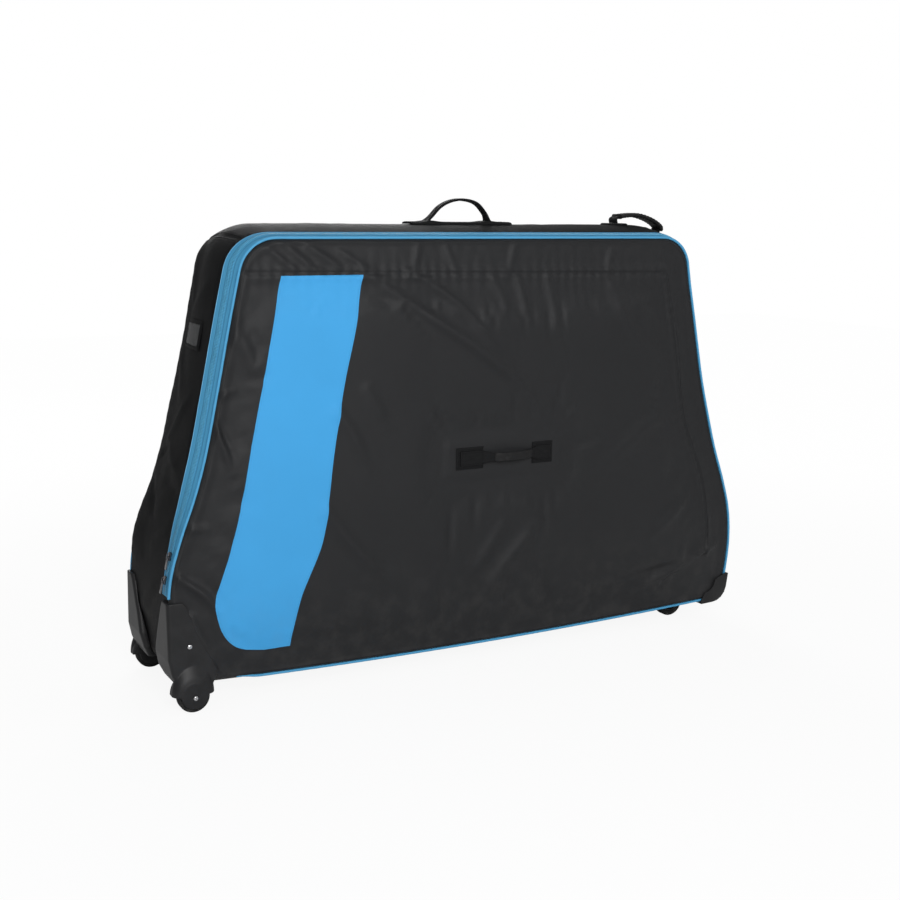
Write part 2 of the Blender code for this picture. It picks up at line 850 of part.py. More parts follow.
def build_gussets(outline, clearances):
    """Left end, top and right end, which meet on the two shoulders."""
    shoulder = outline.lengths[outline.shoulder_index]
    right_start = outline.crossing(0, TRAY_RIGHT_X + GAP)
    left_end = outline.perimeter - outline.crossing(0, BASE_SKIN_LEFT + SKIN_GAP)
    right_fold = outline.crossing(1, FOLD_Z)
    left_fold = outline.perimeter - right_fold
    runs = {
        "right_gusset": (right_start, shoulder - GAP / 2, right_fold, right_fold + GAP),
        "top_gusset": (shoulder + GAP / 2, outline.perimeter - shoulder - GAP / 2),
        "left_gusset": (outline.perimeter - shoulder + GAP / 2, left_end, left_fold - GAP, left_fold),
    }
    for name, lengths in runs.items():
        gusset = sweep(name, outline.run(*lengths), gusset_section, DARK_FABRIC, smooth=True)
        if name == "left_gusset":
            for cutter in clearances.values():
                apply_boolean(gusset, cutter, "DIFFERENCE")


def build_base(outline, clearances):
    """The bottom fabric, which sags, and the flat board that stiffens it."""
    left = -outline.crossing(0, BASE_SKIN_LEFT)
    right = outline.crossing(0, TRAY_LEFT_X - FLANGE_REACH - GAP)
    skin = sweep(
        "base_skin",
        outline.run(left, right),
        lambda place: ((0.0, -EDGE_Y), (0.0, EDGE_Y), (-BASE_SKIN_T, EDGE_Y), (-BASE_SKIN_T, -EDGE_Y)),
        DARK_FABRIC,
    )
    for cutter in clearances.values():
        apply_boolean(skin, cutter, "DIFFERENCE")
    box(
        "base_board",
        (-BOARD_LEFT, -BOARD_HALF_W, board_z()),
        (TRAY_LEFT_X - GAP, BOARD_HALF_W, board_z() + BOARD_T),
        PLASTIC,
    )


def board_z():
    return BASE_Z + BASE_SKIN_T + GAP


def piping_section(side):
    def section(place):
        return [
            (PIPING_R + GAP + u, side * HALF_DEPTH + v)
            for u, v in circle_points((0.0, 0.0), PIPING_R, PIPING_SIDES)
        ]

    return section


def build_piping(outline):
    """Blue piping round the back, the flap and the fixed strip of the front."""
    left_end = outline.perimeter - outline.crossing(0, PIPING_LEFT_END)
    start = left_end - outline.perimeter
    guard_top = outline.perimeter - outline.crossing(1, GUARD_TOP_Z + SKIN_GAP)
    fold_low = outline.crossing(1, FOLD_Z - GAP)
    fold_high = outline.crossing(1, FOLD_Z + GAP)
    sweep("back_piping", outline.run(start, guard_top), piping_section(1), BLUE, smooth=True)
    sweep("lower_piping", outline.run(start, fold_low), piping_section(-1), BLUE, smooth=True)
    flap_run = outline.run(fold_high, outline.perimeter - fold_high)
    return [sweep("flap_piping", flap_run, piping_section(-1), BLUE, smooth=True)]


def band_section(start, width, thickness):
    """A strip of the zip band, from a start across the band's width."""

    def section(place):
        return [
            zip_point(place, start, 0.0),
            zip_point(place, start + width, 0.0),
            zip_point(place, start + width, thickness),
            zip_point(place, start, thickness),
        ]

    return section


def build_zip(outline):
    """Two tapes and two rows of teeth, from the fold over the top to the fold."""
    start = outline.crossing(1, FOLD_Z + ZIP_END_RISE)
    seats = []
    for height in SLIDER_HEIGHTS:
        middle = slider_length(outline, height)
        seats += [middle - SLIDER_L, middle + SLIDER_L]
    places = outline.run(start, outline.perimeter - start, *seats)
    strips = (
        ("flap_zip_tape", TAPE_W, TAPE_T, BLUE),
        ("flap_zip_teeth", COIL_W, COIL_T, BLUE_TEETH),
        ("body_zip_teeth", COIL_W, COIL_T, BLUE_TEETH),
        ("body_zip_tape", TAPE_W, TAPE_T, BLUE),
    )
    along = 0.0
    made = []
    for name, width, thickness, finish in strips:
        made.append(sweep(name, places, band_section(along, width, thickness), finish))
        along += width + STRIP_GAP
    return made[:2]


def slider_length(outline, height):
    return outline.crossing(1, height, after=outline.perimeter / 2)


class SliderSeat:
    """The frame of a zip slider on the left end: outwards, up along the teeth and across."""

    def __init__(self, outline, height):
        length = slider_length(outline, height)
        middle = zip_width() / 2
        above, centre, below = (
            self.on_teeth(outline.at(length + step), middle)
            for step in (-SLIDER_L / 2, 0.0, SLIDER_L / 2)
        )
        side = self.on_teeth(outline.at(length), middle + SLIDER_W / 2)
        self.up = (above - below).normalized()
        self.out = self.up.cross(side - centre).normalized()
        self.across = self.out.cross(self.up)
        self.foot = centre + self.out * SLIDER_LIFT

    @staticmethod
    def on_teeth(place, along):
        return world(place, *zip_point(place, along, COIL_T))

    def point(self, out, up, across):
        return self.foot + self.out * out + self.up * up + self.across * across

    def block(self, name, out, up, across, finish, origin=(0.0, 0.0, 0.0)):
        """A block from low to high along each of the seat's directions."""
        rings = []
        for level in out:
            corners = ((up[0], across[0]), (up[1], across[0]), (up[1], across[1]), (up[0], across[1]))
            rings.append([self.point(level, *corner) for corner in corners])
        return loft(name, rings, finish, origin)

    def eye_out(self):
        """Height of the bar that the pull turns on, in the middle of the bridge's opening."""
        return SLIDER_T + BRIDGE_RISE / 2


def build_sliders(outline):
    """Two zip sliders, each a body with a bridge, and the pull that hangs in the bridge."""
    pulls = []
    for level, height in zip(("upper", "lower"), SLIDER_HEIGHTS):
        seat = SliderSeat(outline, height)
        half_l, half_w = SLIDER_L / 2, SLIDER_W / 2
        top = SLIDER_T + BRIDGE_RISE + BRIDGE_T
        slider = seat.block(
            f"{level}_slider", (0.0, SLIDER_T), (-half_l, half_l), (-half_w, half_w), STEEL
        )
        bridge = seat.block(
            f"{level}_bridge", (SLIDER_T / 2, top), (-BRIDGE_L / 2, BRIDGE_L / 2),
            (-BRIDGE_W / 2, BRIDGE_W / 2), None,
        )
        tunnel = seat.block(
            f"{level}_tunnel", (SLIDER_T, SLIDER_T + BRIDGE_RISE),
            (-BRIDGE_L / 2 + BRIDGE_T, BRIDGE_L / 2 - BRIDGE_T), (-SLIDER_W, SLIDER_W), None,
        )
        apply_boolean(slider, bridge, "UNION")
        apply_boolean(slider, tunnel, "DIFFERENCE")
        eye = seat.eye_out()
        pivot = seat.point(eye, 0.0, 0.0)
        pull = seat.block(
            f"{level}_pull", (eye - PULL_T / 2, eye + PULL_T / 2), (PULL_BAR / 2 - PULL_L, PULL_BAR / 2),
            (-PULL_W / 2, PULL_W / 2), STEEL, pivot,
        )
        hole = seat.block(
            f"{level}_eye", (eye - PULL_T, eye + PULL_T),
            (-PULL_BAR / 2 - PULL_EYE_L, -PULL_BAR / 2), (-PULL_EYE_W / 2, PULL_EYE_W / 2), None,
        )
        apply_boolean(pull, hole, "DIFFERENCE")
        pulls.append(pull)
    return pulls


def stripe_outline(low, high):
    """The stripe's outline between two heights, in the XZ plane."""
    edges = []
    for column in (1, 2):
        edge = []
        for i in range(STRIPE_ROWS + 1):
            z = mix(low, high, i / STRIPE_ROWS)
            share = (z - STRIPE_FOOT_Z) / (STRIPE_TOP_Z - STRIPE_FOOT_Z)
            x = STRIPE_MIDDLE_X + STRIPE_W * smooth_table(STRIPE_SHARES, share, column)
            edge.append((x, z))
        edges.append(edge)
    left, right = edges
    return right + left[::-1]


def build_stripe(outline, name, low, high):
    """A skin on the front's outer face, between two heights of the stripe."""
    skin = crowned_panel(
        outline, -1, FRONT_CROWN, PANEL_RING_SHARES, -SKIN_GAP - STRIPE_T, -SKIN_GAP
    )
    stripe = make_object(name, skin, BLUE)
    reach = HALF_DEPTH + FRONT_CROWN + CUT_OVERRUN
    shape = extrude_outline(f"{name}_shape", stripe_outline(low, high), 1, -reach, 0.0, None)
    apply_boolean(stripe, shape, "INTERSECT")
    return stripe


def rounded_rectangle(low_x, high_x, low_y, high_y, radius):
    points = []
    corners = (
        (high_x - radius, high_y - radius, 0),
        (low_x + radius, high_y - radius, 1),
        (low_x + radius, low_y + radius, 2),
        (high_x - radius, low_y + radius, 3),
    )
    for x, y, quarter in corners:
        for i in range(CORNER_STEPS + 1):
            angle = math.pi / 2 * (quarter + i / CORNER_STEPS)
            points.append((x + radius * math.cos(angle), y + radius * math.sin(angle)))
    return points


def body_envelope(outline):
    """The bag's outer form near its lower corners, grown by a clearance, for the guards to fit."""
    rings = []
    middles = []
    for side, crown in ((-1, FRONT_CROWN), (1, BACK_CROWN)):
        made, middle = panel_rings(outline, side, crown, PANEL_RING_SHARES, -SKIN_GAP, -SKIN_GAP)
        rings.append(made)
        middles.append(middle)
    mesh_data = bmesh.new()
    chain = rings[0][::-1] + rings[1]
    made = [[mesh_data.verts.new(point) for point in ring] for ring in chain]
    poles = [mesh_data.verts.new(middle) for middle in middles]
    count = len(made[0])
    for first, second in zip(made, made[1:]):
        for i in range(count):
            j = (i + 1) % count
            mesh_data.faces.new((first[i], first[j], second[j], second[i]))
    for i in range(count):
        j = (i + 1) % count
        mesh_data.faces.new((made[0][i], made[0][j], poles[0]))
        mesh_data.faces.new((made[-1][i], made[-1][j], poles[1]))
    return make_object("body_envelope", mesh_data, None)


def guard_block(side):
    """The outer shape of a wheel guard before the bag is cut out of it."""
    reach = HALF_LENGTH + 2 * PIPING_R + GAP
    rings = []
    for height, width, depth, tuck in GUARD_SHARES:
        z = mix(GUARD_FOOT_Z, GUARD_TOP_Z, height)
        face = mix(GUARD_FOOT_FACE_Y, GUARD_TOP_FACE_Y, height)
        left = -reach + GUARD_TUCK * tuck
        span = side_span(side, face - GUARD_DEPTH * depth, face)
        ring = rounded_rectangle(left, -reach + GUARD_W * width, *span, GUARD_ROUND)
        rings.append([(x, y, z) for x, y in ring])
    return loft(f"wheel_guard_{side_name(side)}", rings, PLASTIC, smooth=True)


def hood_arch(half_width, rise, foot):
    """A half oval over the fender's middle, with its foot a little lower, as (x, z) pairs."""
    points = [(-WHEEL_X + half_width, FENDER_Z - foot)]
    for i in range(WELL_STEPS + 1):
        angle = math.pi * i / WELL_STEPS
        x = -WHEEL_X + half_width * math.cos(angle)
        points.append((x, FENDER_Z + rise * math.sin(angle)))
    points.append((-WHEEL_X - half_width, FENDER_Z - foot))
    return points


def wheel_hood(side):
    """The rounded hood over the wheel, which swells out of the guard's face."""
    rings = []
    for behind_share, width_share, rise_share in HOOD_SHARES:
        y = side * (FENDER_FACE_Y - HOOD_DEPTH * behind_share)
        ring = hood_arch(FENDER_R * width_share, FENDER_R * rise_share, HOOD_FOOT)
        rings.append([(x, y, z) for x, z in ring])
    return loft(f"wheel_hood_{side_name(side)}", rings, None)


def round_plate(name, side, inner, outer, chamfer):
    """A round plate that carries an end of the axle, with one edge chamfered."""
    rings = []
    for radius, y in ((PLATE_R, inner), (PLATE_R, outer - chamfer), (PLATE_R - chamfer, outer)):
        ring = circle_points((-WHEEL_X, FENDER_Z), radius, FENDER_SIDES)
        rings.append([(x, side * y, z) for x, z in ring])
    return loft(f"{name}_{side_name(side)}", rings, None)


def build_wheel_guard(side, envelope):
    """A moulded corner guard: plates on two faces of the bag and a hooded housing for the wheel."""
    guard = guard_block(side)
    well_outer = FENDER_FACE_Y - OUTER_WALL
    well_inner = fender_inner_y() + INNER_WALL
    name = side_name(side)
    core_r = FENDER_R - CORE_INSET
    core = extrude_outline(
        f"fender_core_{name}", hood_arch(core_r, core_r, HOOD_FOOT - GAP), 1,
        *side_span(side, fender_inner_y(), FENDER_FACE_Y - CORE_FACE_INSET), None,
    )
    outer_plate = round_plate(
        "outer_plate", side, well_outer - PLATE_LAP, FENDER_FACE_Y + PLATE_PROUD, PLATE_CHAMFER
    )
    inner_plate = round_plate(
        "inner_plate", side, fender_inner_y() + GAP, well_inner + PLATE_LAP, PLATE_CHAMFER
    )
    well = extrude_outline(
        f"wheel_well_{name}",
        arch(-WHEEL_X, WHEEL_R, WHEEL_R + WHEEL_TOP_GAP, -CUT_OVERRUN), 1,
        *side_span(side, well_inner, well_outer), None,
    )
    bore = extrude_outline(
        f"axle_bore_{name}",
        circle_points((-WHEEL_X, WHEEL_R), AXLE_R + BORE_CLEARANCE, PIN_SIDES), 1,
        *side_span(side, fender_inner_y() - CUT_OVERRUN, FENDER_FACE_Y + CUT_OVERRUN), None,
    )
    apply_boolean(guard, wheel_hood(side), "UNION")
    apply_boolean(guard, envelope, "DIFFERENCE")
    for added in (core, outer_plate, inner_plate):
        apply_boolean(guard, added, "UNION")
    for cutter in (well, bore):
        apply_boolean(guard, cutter, "DIFFERENCE")


def build_wheel(side):
    """A tyre on its hub, turning on a riveted axle through both walls of the housing."""
    name = side_name(side)
    wheel_y = side * (FENDER_FACE_Y - OUTER_WALL - WHEEL_SIDE_GAP - WHEEL_W / 2)
    centre = (-WHEEL_X, wheel_y, WHEEL_R)
    rim = tyre_profile(HUB_R + GAP, WHEEL_R, WHEEL_W)
    tyre = turn(f"tyre_{name}", rim, centre, 1, WHEEL_SIDES, RUBBER, ring=True)
    hub = turn(f"hub_{name}", hub_profile(HUB_R), centre, 1, WHEEL_SIDES, PLASTIC, ring=True)
    grip_end = FENDER_FACE_Y + PLATE_PROUD + GAP
    pin = pin_profile(AXLE_R, AXLE_HEAD_R, AXLE_HEAD_T, fender_inner_y() - GAP, grip_end)
    profile = [(radius, side * y - wheel_y) for radius, y in pin]
    turn(f"wheel_axle_{name}", profile, centre, 1, PIN_SIDES, STEEL)
    return [tyre, hub]


def tyre_profile(inner, outer, width):
    """A tyre's section, with rounded shoulders."""
    half = width / 2
    shoulder = (outer - inner) / 3
    return [
        (inner, -half),
        (outer - shoulder, -half),
        (outer, -half + shoulder),
        (outer, half - shoulder),
        (outer - shoulder, half),
        (inner, half),
    ]


def hub_profile(outer):
    """A hub's section: a rim, a thin web and a boss round the bore."""
    half = WHEEL_W / 2
    bore = AXLE_R + BORE_CLEARANCE
    boss = bore + AXLE_R
    rim = outer - AXLE_R
    web = half / 2
    return [
        (bore, -half), (boss, -half), (boss, -web), (rim, -web), (rim, -half), (outer, -half),
        (outer, half), (rim, half), (rim, web), (boss, web), (boss, half), (bore, half),
    ]


def pin_profile(radius, head_radius, head_thickness, low, high):
    """A pin with a head past each end of its grip, as (radius, distance) pairs."""
    return [
        (0.0, low - head_thickness),
        (head_radius * HEAD_DOME_SHARE, low - head_thickness),
        (head_radius, low - head_thickness / 2),
        (head_radius, low),
        (radius, low),
        (radius, high),
        (head_radius, high),
        (head_radius, high + head_thickness / 2),
        (head_radius * HEAD_DOME_SHARE, high + head_thickness),
        (0.0, high + head_thickness),
    ]


def build_guard_rivet(side):
    """A rivet head on the guard's outer plate."""
    height = (RIVET_Z - GUARD_FOOT_Z) / (GUARD_TOP_Z - GUARD_FOOT_Z)
    face = mix(GUARD_FOOT_FACE_Y, GUARD_TOP_FACE_Y, height)
    lean = (GUARD_FOOT_FACE_Y - GUARD_TOP_FACE_Y) / (GUARD_TOP_Z - GUARD_FOOT_Z) * RIVET_R
    base = face + lean + GAP
    profile = [
        (0.0, side * base),
        (RIVET_R, side * base),
        (RIVET_R, side * (base + RIVET_T / 2)),
        (RIVET_R * HEAD_DOME_SHARE, side * (base + RIVET_T)),
        (0.0, side * (base + RIVET_T)),
    ]
    centre = (-RIVET_X, 0.0, RIVET_Z)
    turn(f"guard_rivet_{side_name(side)}", profile, centre, 1, PIN_SIDES, STEEL)


def build_corner_guard(outline, side, envelope):
    """A thin cap over the lower corner at the caster end, cut to fit the bag and its piping."""
    start = outline.crossing(0, HALF_LENGTH - CORNER_GUARD_REACH_X)
    end = outline.crossing(1, BASE_Z + CORNER_GUARD_REACH_Z)
    proud = 2 * PIPING_R + 2 * GAP + CORNER_GUARD_T
    edge = [tuple(place.point + place.normal * proud) for place in outline.run(start, end)]
    first, last = outline.at(start).point, outline.at(end).point
    inwards = Vector((-GUARD_ROUND, GUARD_ROUND))
    inner = []
    for i in range(CORNER_GUARD_STEPS + 1):
        share = i / CORNER_GUARD_STEPS
        inner.append(tuple(last.lerp(first, share) + inwards * bow(share)))
    face = HALF_DEPTH + PANEL_T / 2 + CORNER_GUARD_T
    guard = extrude_outline(
        f"corner_guard_{side_name(side)}", edge + inner, 1,
        *side_span(side, face - CORNER_GUARD_DEPTH, face), PLASTIC,
    )
    grown = [
        [world(place, PIPING_R + GAP + u, side * HALF_DEPTH + v)
         for u, v in circle_points((0.0, 0.0), PIPING_R + SKIN_GAP, PIPING_SIDES)]
        for place in outline.run(start - CUT_OVERRUN, end + CUT_OVERRUN)
    ]
    piping = loft(f"piping_clearance_{side_name(side)}", grown, None)
    apply_boolean(guard, envelope, "DIFFERENCE")
    apply_boolean(guard, piping, "DIFFERENCE")


def tray_ceiling_z():
    """Underside of the tray's ceiling, just over the caster's race."""
    return 2 * CASTER_WHEEL_R + FORK_TOP_GAP + FORK_CROWN_T + RACE_T + GAP


def build_caster_tray():
    """The moulded tray that lets the casters up into the base."""
    flange_low = BASE_Z
    flange_top = BASE_Z + BASE_SKIN_T
    ceiling = tray_ceiling_z()
    tray = box(
        "caster_tray",
        (TRAY_LEFT_X - FLANGE_REACH, -BOARD_HALF_W, flange_low),
        (TRAY_RIGHT_X, BOARD_HALF_W, flange_top),
        PLASTIC,
    )
    shell = box(
        "tray_shell",
        (TRAY_LEFT_X, -TRAY_HALF_W, flange_low),
        (TRAY_RIGHT_X, TRAY_HALF_W, ceiling + TRAY_CEILING_T),
        None,
    )
    hollow = box(
        "tray_hollow",
        (TRAY_LEFT_X + TRAY_WALL, TRAY_WALL - TRAY_HALF_W, flange_low - CUT_OVERRUN),
        (TRAY_RIGHT_X - TRAY_WALL, TRAY_HALF_W - TRAY_WALL, ceiling),
        None,
    )
    apply_boolean(tray, shell, "UNION")
    apply_boolean(tray, hollow, "DIFFERENCE")
    for side in (-1, 1):
        bore = extrude_outline(
            f"kingpin_bore_{side_name(side)}",
            circle_points((CASTER_X, side * CASTER_Y), KINGPIN_R + BORE_CLEARANCE, KINGPIN_SIDES), 2,
            ceiling - CUT_OVERRUN, ceiling + CUT_OVERRUN, None,
        )
        apply_boolean(tray, bore, "DIFFERENCE")


def build_caster(side):
    """A swivel caster: a fork with its kingpin, a wheel and its axle, trailing towards -X."""
    name = side_name(side)
    wheel_x = CASTER_X - CASTER_TRAIL
    y = side * CASTER_Y
    crown_low = 2 * CASTER_WHEEL_R + FORK_TOP_GAP
    crown_top = crown_low + FORK_CROWN_T
    inner = CASTER_WHEEL_W / 2 + FORK_SIDE_GAP
    outer = inner + FORK_T
    foot = CASTER_WHEEL_R - FORK_LEG_HALF_W
    side_view = [
        (wheel_x - FORK_LEG_HALF_W, crown_top),
        (wheel_x - FORK_LEG_HALF_W, foot),
        (wheel_x + FORK_LEG_HALF_W, foot),
        (CASTER_X + RACE_R, crown_low),
        (CASTER_X + RACE_R, crown_top),
    ]
    pivot = (CASTER_X, y, crown_top)
    fork = extrude_outline(f"caster_fork_{name}", side_view, 1, y - outer, y + outer, STEEL, pivot)
    slot = box(
        f"fork_slot_{name}",
        (wheel_x - RACE_R - CASTER_TRAIL, y - inner, foot - CUT_OVERRUN),
        (CASTER_X + RACE_R + CUT_OVERRUN, y + inner, crown_low),
        None,
    )
    ceiling = tray_ceiling_z()
    grip_top = ceiling + TRAY_CEILING_T + GAP
    kingpin_profile = [
        (0.0, -FORK_CROWN_T / 2),
        (RACE_R, -FORK_CROWN_T / 2),
        (RACE_R, RACE_T),
        (KINGPIN_R, RACE_T),
        (KINGPIN_R, grip_top - crown_top),
        (KINGPIN_HEAD_R, grip_top - crown_top),
        (KINGPIN_HEAD_R, grip_top - crown_top + KINGPIN_HEAD_T),
        (0.0, grip_top - crown_top + KINGPIN_HEAD_T),
    ]
    kingpin = turn(f"kingpin_{name}", kingpin_profile, pivot, 2, KINGPIN_SIDES, None)
    bore = extrude_outline(
        f"caster_bore_{name}",
        circle_points((wheel_x, CASTER_WHEEL_R), AXLE_R + BORE_CLEARANCE, PIN_SIDES), 1,
        y - outer - CUT_OVERRUN, y + outer + CUT_OVERRUN, None,
    )
    apply_boolean(fork, slot, "DIFFERENCE")
    apply_boolean(fork, bore, "DIFFERENCE")
    apply_boolean(fork, kingpin, "UNION")
    centre = (wheel_x, y, CASTER_WHEEL_R)
    profile = tyre_profile(AXLE_R + BORE_CLEARANCE, CASTER_WHEEL_R, CASTER_WHEEL_W)
    wheel = turn(f"caster_wheel_{name}", profile, centre, 1, WHEEL_SIDES, RUBBER, ring=True)
    pin = pin_profile(AXLE_R, AXLE_HEAD_R, AXLE_HEAD_T, -outer - GAP, outer + GAP)
    axle = turn(f"caster_axle_{name}", pin, centre, 1, PIN_SIDES, STEEL)
    hang_on(make_pivot(f"caster_pivot_{name}", pivot), [fork, wheel, axle])


def strap_rings(path, across, width, thickness, lift=0.0):
    """Rectangular rings along a path, with their width along a fixed direction."""
    across = Vector(across)
    rings = []
    last = len(path) - 1
    for i, point in enumerate(path):
        along = (path[min(i + 1, last)] - path[max(i - 1, 0)]).normalized()
        out = along.cross(across).normalized()
        top = lift + thickness
        corners = ((-width / 2, lift), (width / 2, lift), (width / 2, top), (-width / 2, top))
        rings.append([point + across * a + out * b for a, b in corners])
    return rings


def surface_strip(name, outline, start, end, half_width, thickness, lift, finish):
    """A flat strip on the gusset's outer face between two running lengths."""
    depths = [half_width * (2 * i / STRIP_STEPS - 1) for i in range(STRIP_STEPS + 1)]

    def section(place):
        low = [(gusset_out(place, y) + lift, y) for y in depths]
        return low + [(out + thickness, y) for out, y in reversed(low)]

    return sweep(name, outline.run(start, end), section, finish)


def build_top_handle(outline):
    """A sewn base strip on the top and the webbing loop that stands on it."""
    start, end = (
        outline.crossing(0, x, after=outline.lengths[outline.shoulder_index])
        for x in (TOP_BASE_RIGHT, TOP_BASE_LEFT)
    )
    surface_strip(
        "top_handle_base", outline, start, end, HANDLE_W / 2 + GUSSET_T, TOP_BASE_T, SKIN_GAP, DARK_FABRIC
    )
    middle = outline.at(outline.perimeter / 2)
    foot = TOP_Z + gusset_out(middle, 0.0) + SKIN_GAP + TOP_BASE_T + GAP
    path = smooth_path(
        [
            (mix(TOP_LOOP_LEFT, TOP_LOOP_RIGHT, along), 0.0, foot + TOP_LOOP_H * up)
            for along, up in TOP_LOOP_SHARES
        ],
        STRAP_STEPS,
    )
    rings = strap_rings(path, (0.0, 1.0, 0.0), HANDLE_W, STRAP_T)
    level_ends(rings, 2)
    loft("top_handle", rings, DARK_FABRIC, smooth=True)


def level_ends(rings, axis):
    """Flatten the first and last ring so that the strap stands flat on what carries it."""
    for ring in (rings[0], rings[-1]):
        level = min(point[axis] for point in ring)
        level = max(level, ring[0][axis])
        for point in ring:
            point[axis] = level


def build_end_handle(outline):
    """A grip on the shoulder at the caster end: two sewn feet, a webbing loop and its sleeve."""
    shoulder = outline.lengths[outline.shoulder_index]
    inner_foot = outline.crossing(0, END_FOOT_X, after=shoulder)
    corner_start = outline.lengths[outline.shoulder_index - UPPER_CORNER_STEPS // 2]
    corner_end = outline.lengths[outline.shoulder_index + UPPER_CORNER_STEPS // 2]
    outer_foot = mix(corner_start, corner_end, END_SHOULDER_SHARE)
    ends = []
    for name, length in (("inner", inner_foot), ("outer", outer_foot)):
        surface_strip(
            f"end_handle_foot_{name}", outline, length - END_FOOT_L / 2, length + END_FOOT_L / 2,
            HANDLE_W / 2, END_FOOT_T, SKIN_GAP, DARK_FABRIC,
        )
        place = outline.at(length)
        lift = gusset_out(place, 0.0) + SKIN_GAP + END_FOOT_T + SKIN_GAP
        ends.append((world(place, lift, 0.0), Vector((place.normal.x, 0.0, place.normal.y))))
    (start, start_normal), (end, end_normal) = ends
    points = []
    for along, up in END_LOOP_SHARES:
        outwards = start_normal.lerp(end_normal, min(along, 1.0)).normalized()
        points.append(start.lerp(end, along) + outwards * END_LOOP_H * up)
    path = smooth_path(points, STRAP_STEPS)
    rings = strap_rings(path, (0.0, 1.0, 0.0), HANDLE_W - 2 * GRIP_WALL, STRAP_T)
    loft("end_handle_strap", rings, DARK_FABRIC, smooth=True)
    build_sleeve("end_handle_grip", path, (0.0, 1.0, 0.0), HANDLE_W - 2 * GRIP_WALL, END_GRIP_SHARES)


def build_sleeve(name, path, across, width, shares):
    """A padded sleeve round the middle of a strap."""
    first, last = (round(share * STRAP_STEPS) for share in shares)
    part = path[first : last + 1]
    inner = strap_rings(part, across, width + 2 * GAP, STRAP_T + 2 * GAP, -GAP)
    wall = 2 * (GAP + GRIP_WALL)
    outer = strap_rings(part, across, width + wall, STRAP_T + wall, -wall / 2)
    return loft_sleeve(name, outer, inner, RUBBER)


def build_side_handle():
    """A flat handle on the flap: two sewn patches, a slack strap and its wrap."""
    face = panel_face(-1, FRONT_CROWN, 0.0) - SKIN_GAP
    low, high = SIDE_HANDLE_Z - SIDE_PATCH_H / 2, SIDE_HANDLE_Z + SIDE_PATCH_H / 2
    made = []
    for name, (left, right) in zip(("left", "right"), SIDE_PATCHES):
        made.append(
            box(f"side_patch_{name}", (left, face - SIDE_PATCH_T, low), (right, face, high), DARK_FABRIC)
        )
    flat = face - SIDE_PATCH_T - GAP
    left, right = SIDE_STRAP_ENDS
    inner_left, inner_right = SIDE_PATCHES[0][1], SIDE_PATCHES[1][0]
    middle = (inner_left + inner_right) / 2
    quarter = (inner_right - inner_left) / 4
    lifted = flat - SIDE_STRAP_LIFT
    flank = mix(flat, lifted, bow(SIDE_FLANK_SHARE))
    points = [
        (left, flat), ((left + inner_left) / 2, flat), (inner_left, flat),
        (middle - quarter, flank), (middle, lifted), (middle + quarter, flank),
        (inner_right, flat), ((right + inner_right) / 2, flat), (right, flat),
    ]
    path = smooth_path([(x, y, SIDE_HANDLE_Z) for x, y in points], STRAP_STEPS)
    for point in path:
        point.y = min(point.y, flat)
    across = (0.0, 0.0, 1.0)
    rings = strap_rings(path, across, SIDE_STRAP_W, STRAP_T)
    made.append(loft("side_strap", rings, DARK_FABRIC, smooth=True))
    made.append(build_sleeve("side_grip", path, across, SIDE_STRAP_W, SIDE_GRIP_SHARES))
    return made


def build_card_pocket(outline):
    """A card pocket on the left end with a clear window."""
    half = outline.perimeter / 2
    high = outline.crossing(1, POCKET_HIGH_Z, after=half)
    low = outline.crossing(1, POCKET_LOW_Z, after=half)
    surface_strip(
        "card_pocket", outline, high, low, POCKET_HALF_W, POCKET_T, SKIN_GAP, DARK_FABRIC
    )
    lift = SKIN_GAP + POCKET_T + GAP
    surface_strip(
        "card_window", outline, high + WINDOW_MARGIN, low - WINDOW_MARGIN,
        POCKET_HALF_W - WINDOW_MARGIN, WINDOW_T, lift, CLEAR,
    )


def rail_z():
    return board_z() + BOARD_T + GAP


def saddle(name, middle_x, post_l, post_w, post_h, origin):
    """A saddle that slides on the rail, with an upright post on it."""
    top = rail_z() + RAIL_H + SADDLE_CLEARANCE
    inner = RAIL_HALF_W + SADDLE_CLEARANCE
    outer = inner + SADDLE_T
    low, high = top - SADDLE_DROP, top + SADDLE_T
    section = [
        (-outer, low), (-inner, low), (-inner, top), (inner, top),
        (inner, low), (outer, low), (outer, high), (-outer, high),
    ]
    foot = extrude_outline(
        name, section, 0, middle_x - SADDLE_L / 2, middle_x + SADDLE_L / 2, ALUMINIUM, origin
    )
    post = box(
        f"{name}_upright",
        (middle_x - post_l / 2, -post_w / 2, top + SADDLE_T / 2),
        (middle_x + post_l / 2, post_w / 2, top + post_h),
        None,
    )
    apply_boolean(foot, post, "UNION")
    return foot, top + post_h


def build_stand():
    """The rail on the board, the fork mount and the frame cradle that slide on it."""
    z = rail_z()
    top = z + RAIL_H
    web = z + RAIL_WALL
    outer, inner = RAIL_HALF_W, RAIL_HALF_W - RAIL_WALL
    section = [
        (-outer, z), (outer, z), (outer, top), (inner, top),
        (inner, web), (-inner, web), (-inner, top), (-outer, top),
    ]
    extrude_outline("stand_rail", section, 0, RAIL_LEFT, RAIL_RIGHT, ALUMINIUM)
    build_fork_mount((FORK_POST_X, 0.0, z))
    build_frame_cradle((CRADLE_X, 0.0, z))


